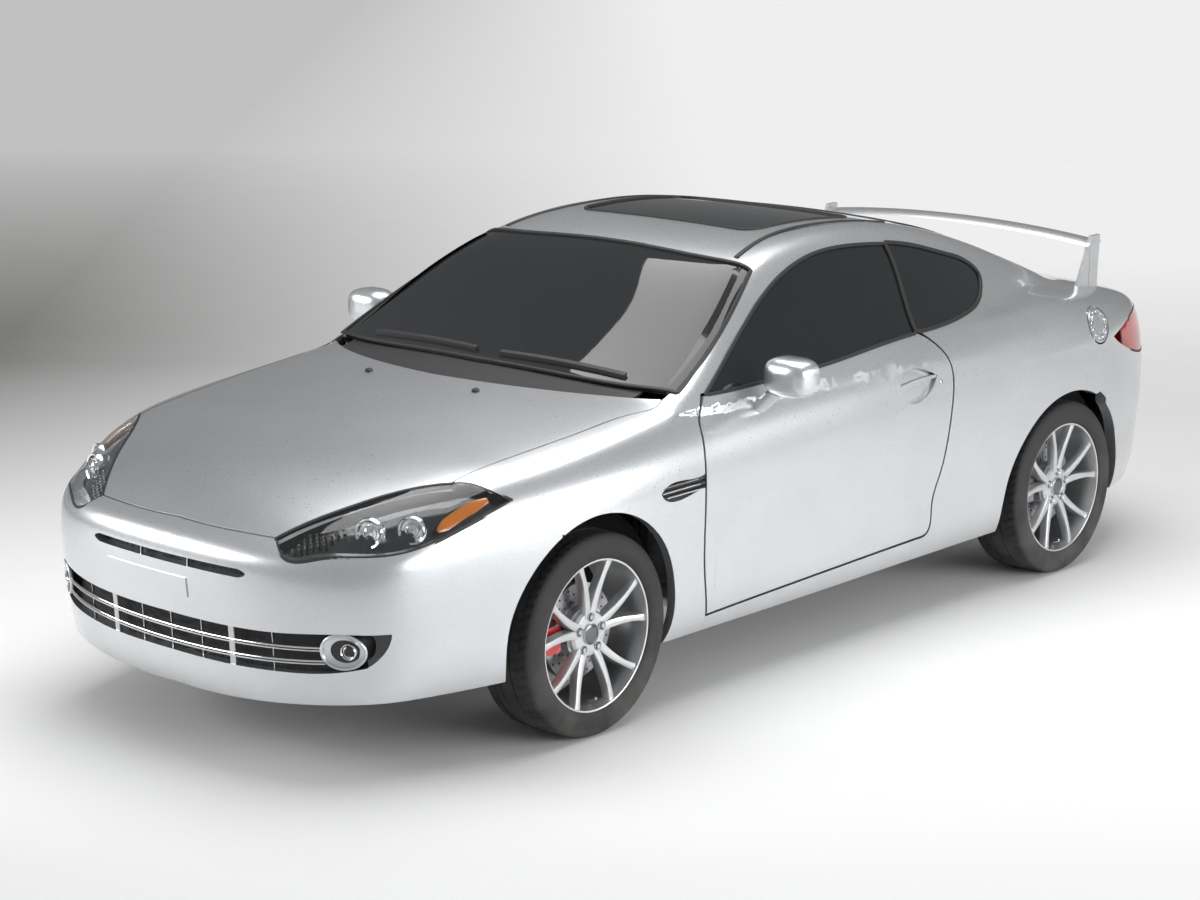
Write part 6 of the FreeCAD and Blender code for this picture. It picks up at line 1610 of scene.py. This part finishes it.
@dataclass
class SideTrim:
    """Vent inserts, mirrors, handle locks, fuel flap ring and the rear lamps.

    Attributes:
        shop: workshop that makes the pieces.
        flap_y: place of the fuel flap's middle along the car.
        flap_z: its height.
        mirror_x: distance of a mirror's middle from the car's middle.
        mirror_half: half width and half height of a mirror's housing.
        squareness: power of the mirror's rounded outline, 2 for an oval.
    """

    shop: Workshop
    flap_y: float = 1.453
    flap_z: float = .8814
    mirror_x: float = .925
    mirror_half: tuple = (.087, .0610)
    squareness: float = 3.4

    def build(self) -> None:
        """Makes the fittings of both sides and the tail."""
        self._vents()
        self._mirrors()
        self._locks()
        self._flap_ring()
        self._tail_lamps()
        self._wing()
        self._patches()

    def _vents(self) -> None:
        """Black inserts with bright slats."""
        self.shop.panel("side_vents", TRIM)
        slats = Shape()
        for z, rear, front in ((.7165, -.832, -1.000), (.7005, -.824, -1.005),
                               (.6845, -.816, -.985)):
            path = FORM.beside(np.linspace(rear, front, 14), np.full(14, z))
            normals = FORM.normals(path)
            slats.join(swept(path - normals * .004, oval(.0062, .0085, 10), normals))
        self.shop.piece("vent_slats", slats.with_mirror(), CHROME, "body")

    def _mirrors(self) -> None:
        """Mirror housings with rounded corners, their feet and their glass."""
        for side, sign in (("left", 1), ("right", -1)):
            node = f"mirror_{side}"
            home = self.shop.home[node]
            low, high = (np.array(end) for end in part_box(node))
            rear = high[1]
            reach = rear - low[1] - .001
            centre = np.array([sign * self.mirror_x, rear, high[2] - self.mirror_half[1]])
            profile = np.array([(0, .14), (.90, .14), (.915, .02), (.955, 0), (1, .05),
                                (1, .34), (.985, .52), (.95, .68), (.88, .81), (.76, .90),
                                (.56, .965), (.30, .993), (0, 1)]) * (1, reach)

            def squared(points: Array, centre: Array = centre) -> Array:
                """The oval shell with its outline squared and moved to its place."""
                x, y, z = points.T
                radius = np.maximum(np.hypot(x, z), 1e-9)
                spread = (np.abs(x / radius) ** self.squareness
                          + np.abs(z / radius) ** self.squareness)
                corner = np.where(radius < 1e-6, 1.0,
                                  np.maximum(spread, .3) ** (-1 / self.squareness))
                wide, tall = self.mirror_half
                return np.stack([x * corner * wide, y, z * corner * tall], -1) + centre
            shell = turned(profile, (0, 0, 0), (0, -1, 0), 96).moved(squared)
            foot = centre + np.array([-sign * self.mirror_half[0] * .55, -reach * .45,
                                      -self.mirror_half[1] * .80])
            seat = FORM.beside(foot[1], foot[2] - .062) * (sign, 1, 1)
            path = np.linspace(foot, seat - (sign * .006, 0, 0), 8)
            sideways = np.tile([0, 1.0, 0], (8, 1))
            shell.join(swept(path, oval(.044, .060, 24), sideways))
            made = self.shop.piece(f"mirror_housing_{side}", shell, PAINT, home, sharp=40)
            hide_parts(node)
            glass = turned([(0, -.0015), (.98, -.0015), (1.0, -.0005), (1.0, .001), (0, .0022)],
                           (0, 0, 0), (0, 1, 0), 96)

            def pane(points: Array, centre: Array = centre,
                     squared: Callable[[Array], Array] = squared) -> Array:
                """The glass, smaller than the housing and set into its rear face."""
                inner = squared(points * (.885, 1, .885), centre)
                return inner - (0, .14 * reach - .004, 0)
            self.shop.piece(f"mirror_glass_{side}", glass.moved(pane), MIRROR, home)

    def _locks(self) -> None:
        """Key cylinder beside each door handle."""
        seat = FORM.beside(.462, .822)
        lock = turned([(0, -.003), (.0085, -.003), (.0085, .0012), (.007, .0022), (.0035, .0022),
                       (.003, .0008), (0, .0008)], seat, FORM.normals(seat), 24)
        self.shop.piece("door_lock_left", lock, SATIN, "door_left")
        self.shop.piece("door_lock_right", lock.mirrored(), SATIN, "door_right")

    def _flap_ring(self) -> None:
        """Bright ring with rivets on the fuel flap, and a smaller ring inside it."""
        centre = FORM.beside(self.flap_y, self.flap_z)
        normal = FORM.normals(centre)
        forward = unit(np.cross([0, 0, 1.0], normal))
        upward = np.cross(normal, forward)

        def around(radius: float, count: int, start: float = 0.0) -> Array:
            """Points of a circle about the flap's middle."""
            turn = start + np.arange(count) * 2 * math.pi / count
            flat = centre + (np.cos(turn)[:, None] * forward
                             + np.sin(turn)[:, None] * upward) * radius
            return FORM.hit(flat - normal * .05, normal, .2)
        ring = Shape()
        for radius, width in ((.0585, .0045), (.0400, .0035)):
            path = around(radius, 60)
            normals = FORM.normals(path)
            ring.join(swept(path, flat_bar(width, .003), normals, closed=True))
        self.shop.piece("fuel_flap_rings", ring, SATIN, "fuel_flap")
        rivets = Shape()
        for seat in around(.0492, 12, .26):
            rivets.join(turned([(0, -.001), (.0042, -.001), (.0040, .0014), (.0022, .0026),
                                (0, .0029)], seat, FORM.normals(seat), 16))
        self.shop.piece("fuel_flap_rivets", rivets, CHROME, "fuel_flap")

    def _tail_lamps(self) -> None:
        """Red lenses over bright cells, with round rear lights."""
        points, faces = self.shop.node_mesh("tail_lamps")
        facing = self.shop.facing(points, faces)
        normals = FORM.normals(points)
        outer = faces[facing > .7]
        lens = self.shop.piece("tail_lenses", slab(points, outer, normals, 0, .003), RED_LENS,
                               "body", sharp=50)
        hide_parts("tail_lamps")
        self.shop.piece("tail_housings", slab(points, outer, normals, .030, .034), REFLECTOR,
                        "body", sharp=50)
        rims, discs = Shape(), Shape()
        for loop in boundary_loops(points, outer)[:2]:
            rims.join(rubber_ring(loop, .009, .002, lift=-.0008, spacing=.01))
            if loop[:, 0].mean() > 0:
                middle = loop.mean(0)
                for shift, radius in ((-.045, .034), (.045, .030)):
                    start = middle + np.array([shift * .55, -.35, .0])
                    seat = FORM.hit(start, np.array([0, 1.0, 0]), 1.0)
                    normal = FORM.normals(seat)
                    discs.join(turned([(0, -.004), (radius, -.004), (radius, .006),
                                       (radius * .8, .008), (radius * .72, .001),
                                       (0, .0)], seat - normal * .019, normal, 36))
        self.shop.piece("tail_gaskets", rims, RUBBER, "body")
        self.shop.piece("tail_rounds", discs.with_mirror(), RED_LENS, "body")
        brake = Shape()
        path = FORM.over(np.linspace(-.17, .17, 20), np.full(20, .775))
        normals = FORM.normals(path)
        brake.join(swept(path - normals * .016, flat_bar(.022, .004), normals))
        self.shop.piece("high_brake_lamp", brake, RED_LENS, "hatch")
        seat = FORM.before(*span((-.26, .56), (.26, .66), (21, 5)), 1)
        self.shop.piece("rear_plate_pad", form_sheet(seat, -.003, .002), PLATE, "body")

    def _wing(self) -> None:
        """Rear wing with its stands, and a fin round each stand."""
        self.shop.panel("rear_spoiler", PAINT, curved=False, sharp=35)
        high = np.array(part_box("rear_spoiler")[1])
        outer = high[0] - .0015
        corners = np.array([(high[1] - .150, 0.0), (high[1] - .020, 0.0),
                            (high[1] - .006, high[2] - .016), (high[1] - .062, high[2] - .016)])
        for place in (0, 1):
            corners[place, 1] = FORM.over(outer - .007, corners[place, 0])[2] - .003
        fin = np.array([[(x, y, z) for y, z in corners] for x in (outer - .014, outer)])
        fins = outward(Shape().add(fin, [[0, 1, 2, 3], [7, 6, 5, 4], [0, 4, 5, 1],
                                         [1, 5, 6, 2], [2, 6, 7, 3], [3, 7, 4, 0]]))
        self.shop.piece("wing_fins", fins.with_mirror(), PAINT, self.shop.home["rear_spoiler"])

    def _patches(self) -> None:
        """Skins over the doors' hinge pockets, which reach the outer face, and by the arches."""
        near, far = -.0004, .0024
        skin = form_sheet(FORM.beside(*span((-.735, .345), (-.665, .455), (9, 9))), near, far)
        self.shop.piece("door_skin_left", skin, PAINT, "door_left")
        self.shop.piece("door_skin_right", skin.mirrored(), PAINT, "door_right")
        radius, turn = span((.374, math.radians(42)), (.430, math.radians(78)), (7, 15))
        seat = FORM.beside(REAR_AXLE_Y + radius * np.cos(turn),
                           AXLE_HEIGHT + radius * np.sin(turn))
        arch = form_sheet(seat, near, far)
        self.shop.piece("arch_skins", arch.with_mirror(), PAINT, "body")


@dataclass
class Underside:
    """Structure, running gear and bay, shown with their own metals."""

    shop: Workshop

    def build(self) -> None:
        """Shows the structural CAD nodes and adds their fittings."""
        plain = {"floor_pan": UNDERBODY, "arch_liners": TRIM, "front_suspension": CAST,
                 "rear_suspension": CAST, "engine": ENGINE, "radiator": COOLER,
                 "exhaust": STEEL}
        for node, finish in plain.items():
            self.shop.panel(node, finish, curved=False)
        for side in ("left", "right"):
            self._knuckle(f"knuckle_{side}", 1 if side == "left" else -1)
        self._engine_fittings()
        self._radiator_core()

    def _knuckle(self, node: str, side: int) -> None:
        """Knuckle with its caliper in red."""
        made = self.shop.panel(node, CAST, curved=False)
        made.data.materials.append(self.shop.palette(CALIPER))
        points, faces = self.shop.node_mesh(node)
        middle = points[faces].mean(1) - (side * WHEEL_X, FRONT_AXLE_Y, AXLE_HEIGHT)
        radius = np.hypot(middle[:, 1], middle[:, 2])
        red = (side * middle[:, 0] > -.034) & (radius > .09)
        made.data.polygons.foreach_set("material_index", red.astype(np.int32))

    def _engine_fittings(self) -> None:
        """Cam cover, intake runners and filler cap round the engine block."""
        low, high = (np.array(corner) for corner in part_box("engine"))
        middle = (low + high) / 2
        ribs = Shape()
        top = high[2]
        for i in range(9):
            y = low[1] + .07 + i * (high[1] - low[1] - .14) / 8
            ribs.join(rounded_box((middle[0] - .12, y - .006, top - .001),
                                  (middle[0] + .12, y + .006, top + .008), .002))
        self.shop.piece("cam_cover_ribs", ribs, ENGINE, "body")
        cap = turned([(0, -.002), (.024, -.002), (.026, .004), (.026, .012), (.018, .016),
                      (0, .017)], (middle[0] + .17, middle[1], top), (0, 0, 1), 32)
        self.shop.piece("oil_filler_cap", cap, TRIM, "body")
        runners = Shape()
        for i in range(4):
            x = middle[0] - .18 + i * .12
            path = np.array([(x, low[1] + .02, top - .13), (x, low[1] - .03, top - .11),
                             (x, low[1] - .045, top - .06), (x, low[1] - .02, top - .02),
                             (x, low[1] + .03, top + .004)])
            curve = smooth_path(path, 24)
            side = np.tile([1.0, 0, 0], (24, 1))
            runners.join(swept(curve, oval(.04, .04, 20), side))
        self.shop.piece("intake_runners", runners, ENGINE, "body")

    def _radiator_core(self) -> None:
        """Fins over the radiator's front face."""
        low, high = (np.array(corner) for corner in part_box("radiator"))
        fins = Shape()
        for z in np.arange(low[2] + .02, high[2] - .02, .011):
            fins.join(rounded_box((low[0] + .03, low[1] - .0015, z - .0018),
                                  (high[0] - .03, low[1] + .001, z + .0018), .0006))
        self.shop.piece("radiator_fins", fins, COOLER, "body")


@dataclass
class Cabin:
    """Padded seats, dashboard and controls.

    Attributes:
        shop: workshop that makes the pieces.
        driver_x: middle of the driver's seat.
    """

    shop: Workshop
    driver_x: float = .372

    def build(self) -> None:
        """Makes the cabin."""
        self.shop.panel("dashboard", CABIN, curved=False, sharp=40)
        self.shop.panel("steering_wheel", CABIN, curved=False, sharp=40)
        self._seats("front_seats")
        self._seats("rear_seat")
        self._instruments()
        self._pedals()

    def _seats(self, node: str) -> None:
        """Padded copy of the seats: the CAD form rounded off, with soft quilting."""
        points, faces = self.shop.node_mesh(node)
        made = self.shop.mesh_object(f"{node}_padding", points.tolist(), faces.tolist(), [FABRIC])
        remesh = made.modifiers.new("even", "REMESH")
        remesh.mode = "VOXEL"
        remesh.voxel_size = .016
        graph = bpy.context.evaluated_depsgraph_get()
        even = bpy.data.meshes.new_from_object(made.evaluated_get(graph), depsgraph=graph)
        made.modifiers.clear()
        made.data = even
        count = len(even.vertices)
        co = np.empty(count * 3)
        even.vertices.foreach_get("co", co)
        co = co.reshape(-1, 3)
        edges = np.empty(len(even.edges) * 2, np.int64)
        even.edges.foreach_get("vertices", edges)
        first, second = edges.reshape(-1, 2).T
        near = np.bincount(first, minlength=count) + np.bincount(second, minlength=count)
        start = co.copy()
        for _ in range(9):
            total = np.zeros_like(co)
            for axis in range(3):
                total[:, axis] = (np.bincount(first, co[second, axis], count)
                                  + np.bincount(second, co[first, axis], count))
            co = co * .45 + total / near[:, None] * .55
        low, high = start.min(0), start.max(0)
        co = np.clip(co, low, high)
        quilt = np.abs(np.sin(co[:, 1] * math.pi / .09)) * np.abs(
            np.sin(co[:, 2] * math.pi / .09))
        even.vertices.foreach_set("co", co.ravel())
        even.update()
        normals = np.empty(count * 3)
        even.vertex_normals.foreach_get("vector", normals)
        normals = normals.reshape(-1, 3)
        co = np.clip(co + normals * (quilt[:, None] ** .5 - .5) * .006, low, high)
        even.vertices.foreach_set("co", co.ravel())
        shade_smooth(even)
        even.materials.clear()
        even.materials.append(self.shop.palette(FABRIC))
        even.update()
        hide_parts(node)
        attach(made, self.shop.home[node])

    def _instruments(self) -> None:
        """Dials behind the wheel, air vents, and the gear lever on the console."""
        dials = Shape()
        face_y = -.545
        for x, radius in ((-.07, .05), (.07, .05)):
            dials.join(turned([(0, -.004), (radius, -.004), (radius, .006), (radius * .92, .006),
                               (radius * .9, .001), (0, .001)],
                              (self.driver_x + x, face_y, .845), (0, 1, .25), 40))
        self.shop.piece("dials", dials, SATIN, "body")
        lever_foot = (0, -.18, .545)
        lever = Shape()
        lever.join(turned([(0, 0), (.045, 0), (.038, .02), (.012, .05), (.0, .052)],
                          lever_foot, (0, 0, 1), 32))
        lever.join(turned([(0, .04), (.007, .04), (.006, .11), (.02, .115), (.024, .14),
                           (.015, .16), (0, .163)], lever_foot, (0, -.12, 1), 32))
        self.shop.piece("gear_lever", lever, GLOSS_BLACK, "body")
        vents = Shape()
        for x in (-.55, -.1, .1, .55):
            for i in range(4):
                z = .79 + i * .012
                vents.join(rounded_box((x - .045, -.520, z), (x + .045, -.512, z + .004), .001))
        self.shop.piece("air_vents", vents, SATIN, "body")

    def _pedals(self) -> None:
        """Three pedals in the driver's footwell."""
        shape = Shape()
        for x, half in ((.10, .03), (0, .035), (-.085, .022)):
            left = self.driver_x + x
            shape.join(rounded_box((left - half, -.700, .300), (left + half, -.688, .355), .003))
            side = np.tile([1.0, 0, 0], (2, 1))
            path = np.array([(left, -.697, .330), (left, -.800, .520)])
            shape.join(swept(path, oval(.012, .012, 8), side))
        self.shop.piece("pedals", shape, SATIN, "body")


@dataclass(frozen=True)
class View:
    """Photographer's camera: its place, aim and lens.

    Attributes:
        place: camera position.
        azimuth: direction towards the camera from the car, in degrees.
        drop: downward tilt in degrees.
        roll: roll in degrees.
        lens: focal length in millimetres on a 36 mm wide sensor.
    """

    place: tuple = (6.423, -7.628, 2.816)
    azimuth: float = 41.24
    drop: float = 12.90
    roll: float = .27
    lens: float = 89.1


class Studio:
    """Pale floor, soft lamps, the air round them and the camera.

    Attributes:
        view: the photographer's place and lens.
        floor: colour of the floor near the car.
        shade: colour of the floor's dark part, painted shade far out on the left.
        air: light from the world before the car.
        upper: light from the world behind the car, above the picture.
        front: colour of the floor before the car, darker there as painted shade where the lamps
            are strong.
        reach: half width of the floor.
    """

    floor = (.87, .87, .87)
    shade = (.20, .20, .195)
    air = (.42, .425, .43)
    upper = (.21, .212, .215)
    reach = 60.0
    front = (.68, .68, .68)

    def __init__(self, view: View) -> None:
        """Notes the view that the stage is set up for."""
        self.view = view

    def build(self) -> None:
        """Sets up the stage."""
        self._floor()
        self._lamps()
        self._camera()
        bpy.context.scene.view_settings.view_transform = "Standard"

    def _floor(self) -> None:
        """Wide flat floor, which fills the whole picture behind the car."""
        turn = math.radians(self.view.azimuth)
        back = np.array([-math.sin(turn), math.cos(turn), 0])
        side = np.array([math.cos(turn), math.sin(turn), 0])
        marks = np.linspace(-self.reach, self.reach, 25)
        points = side * marks[:, None, None] + back * marks[None, :, None]
        shape = Shape().add(points, grid_faces(25, 25))
        mesh = bpy.data.meshes.new("studio_floor")
        mesh.from_pydata(np.concatenate(shape.points).tolist(), [], shape.faces)
        mesh.materials.append(self._backdrop(side, back))
        made = bpy.data.objects.new("studio_floor", mesh)
        bpy.context.scene.collection.objects.link(made)
        self._world(back)

    def _backdrop(self, side: Array, back: Array) -> bpy.types.Material:
        """Pale floor colour with painted shade far out on the left, in a band behind the car and
        before the car, where the lamps are strong.

        Args:
            side: direction to the right of the view.
            back: direction away from the camera.

        Returns:
            The material.
        """
        material = bpy.data.materials.new("studio_backdrop")
        material.use_nodes = True
        material.node_tree.nodes.clear()
        build = Nodes(material.node_tree)
        place = build.add("ShaderNodeTexCoord").outputs["Object"]

        def along(direction: Array) -> Socket:
            """How far a place lies in a direction."""
            node = build.add("ShaderNodeVectorMath", _0=place, _1=tuple(direction))
            node.operation = "DOT_PRODUCT"
            return node.outputs["Value"]
        aside, reach = along(side), along(back)
        # Painted shade: the floor's colour darkens far out on the left and in a band behind the
        # car.
        left = build.ramp(aside, .6, -3.2)
        near = build.ramp(reach, -1.0, 4.2)
        far = build.ramp(reach, 5.0, 12.5, 1.0, .5)
        dark = build.maths("MULTIPLY", build.maths("MULTIPLY", left, near), far)
        band = build.maths("MULTIPLY", build.ramp(reach, -1.5, 1.5),
                           build.ramp(reach, 3.2, 7.5, 1.0, 0.0))
        dark = build.maths("MAXIMUM", dark, build.maths("MULTIPLY", band, .27))
        colour = build.mix(dark, (*self.floor, 1.0), (*self.shade, 1.0))
        mottle = build.ramp(build.noise(place, 3.0, 4.0), .3, .7, .985, 1.0)
        tint = build.add("ShaderNodeCombineXYZ", X=mottle, Y=mottle, Z=mottle)
        shown = build.add("ShaderNodeVectorMath", _0=colour, _1=tint.outputs[0])
        shown.operation = "MULTIPLY"
        # Painted shade: before the car, where the lamps are strong, the floor's colour is darker.
        floor_with_front_shade = build.mix(build.ramp(reach, -.8, -2.6, 0.0, 1.0), shown.outputs[0],
                        (*self.front, 1.0))
        matt = build.add("ShaderNodeBsdfPrincipled", Base_Color=floor_with_front_shade, Roughness=.6)
        # Painted light: far from the car, the floor glows with its colour, painted shade included,
        # to camera, glossy and transmission rays in place of being lit.
        plain = build.add("ShaderNodeEmission", Color=shown.outputs[0], Strength=1.0)
        ray = build.add("ShaderNodeLightPath").outputs
        sight = build.maths("MAXIMUM", ray["Is Camera Ray"],
                            build.maths("MAXIMUM", ray["Is Glossy Ray"],
                                        ray["Is Transmission Ray"]))
        share = build.maths("MULTIPLY", sight, build.ramp(reach, .5, 5.0))
        mixed = build.add("ShaderNodeMixShader", _0=share, _1=matt.outputs[0],
                          _2=plain.outputs[0])
        build.add("ShaderNodeOutputMaterial", Surface=mixed.outputs[0])
        return material

    def _lamp(self, name: str, place: tuple, target: tuple, size: tuple, power: float) -> None:
        """One soft rectangular lamp.

        Args:
            name: lamp name.
            place: its place.
            target: point that it faces.
            size: its width and height.
            power: its power in watts.
        """
        data = bpy.data.lights.new(name, "AREA")
        data.shape = "RECTANGLE"
        data.size, data.size_y = size
        data.energy = power
        lamp = bpy.data.objects.new(name, data)
        lamp.location = place
        direction = Vector(target) - Vector(place)
        lamp.rotation_euler = direction.to_track_quat("-Z", "Y").to_euler()
        bpy.context.scene.collection.objects.link(lamp)

    def _lamps(self) -> None:
        """Large overhead bank, a side bank and a front fill."""
        self._lamp("overhead", (-.2, .6, 6.2), (0, 0, 0), (6.0, 6.0), 400)
        self._lamp("left_bank", (9.0, 1.5, 2.6), (0, 0, .9), (9.0, 2.6), 640)
        self._lamp("front_bank", (-6.0, -7.0, 3.4), (-2.0, -3.2, 0), (5.0, 2.8), 400)

    def _world(self, back: Array) -> None:
        """Even grey light from all round, dimmer behind the car.

        Args:
            back: direction away from the camera.
        """
        world = bpy.data.worlds.new("studio_air")
        world.use_nodes = True
        build = Nodes(world.node_tree)
        world.node_tree.nodes.clear()
        heading = build.add("ShaderNodeTexCoord").outputs["Generated"]
        share = build.add("ShaderNodeVectorMath", _0=heading, _1=tuple(back))
        share.operation = "DOT_PRODUCT"
        colour = build.mix(build.ramp(share.outputs["Value"], .1, .8), (*self.air, 1.0),
                           (*self.upper, 1.0))
        build.add("ShaderNodeOutputWorld", Surface=build.add(
            "ShaderNodeBackground", Color=colour, Strength=1.0).outputs[0])
        bpy.context.scene.world = world

    def _camera(self) -> None:
        """Camera placed as the photographer's."""
        data = bpy.data.cameras.new("camera")
        data.lens = self.view.lens
        data.sensor_width = 36
        camera = bpy.data.objects.new("camera", data)
        turn, drop = math.radians(self.view.azimuth), math.radians(self.view.drop)
        ahead = Vector((-math.sin(turn) * math.cos(drop), math.cos(turn) * math.cos(drop),
                        -math.sin(drop)))
        camera.location = self.view.place
        aim = ahead.to_track_quat("-Z", "Y").to_matrix().to_4x4()
        camera.matrix_world = (aim.Translation(self.view.place) @ aim
                               @ aim.Rotation(math.radians(self.view.roll), 4, "Z"))
        bpy.context.scene.collection.objects.link(camera)
        bpy.context.scene.camera = camera


def main() -> None:
    """Builds the whole scene round the frame."""
    logging.basicConfig(level=logging.INFO, format="%(message)s")
    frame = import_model()
    shop = Workshop(frame)
    for part in (Panels(shop), RoofTrim(shop), Headlamps(shop), FrontEnd(shop), Wheels(shop),
                 SideTrim(shop), Underside(shop), Cabin(shop), Studio(View())):
        log.info("building %s", type(part).__name__)
        part.build()


if __name__ == "__main__":
    main()
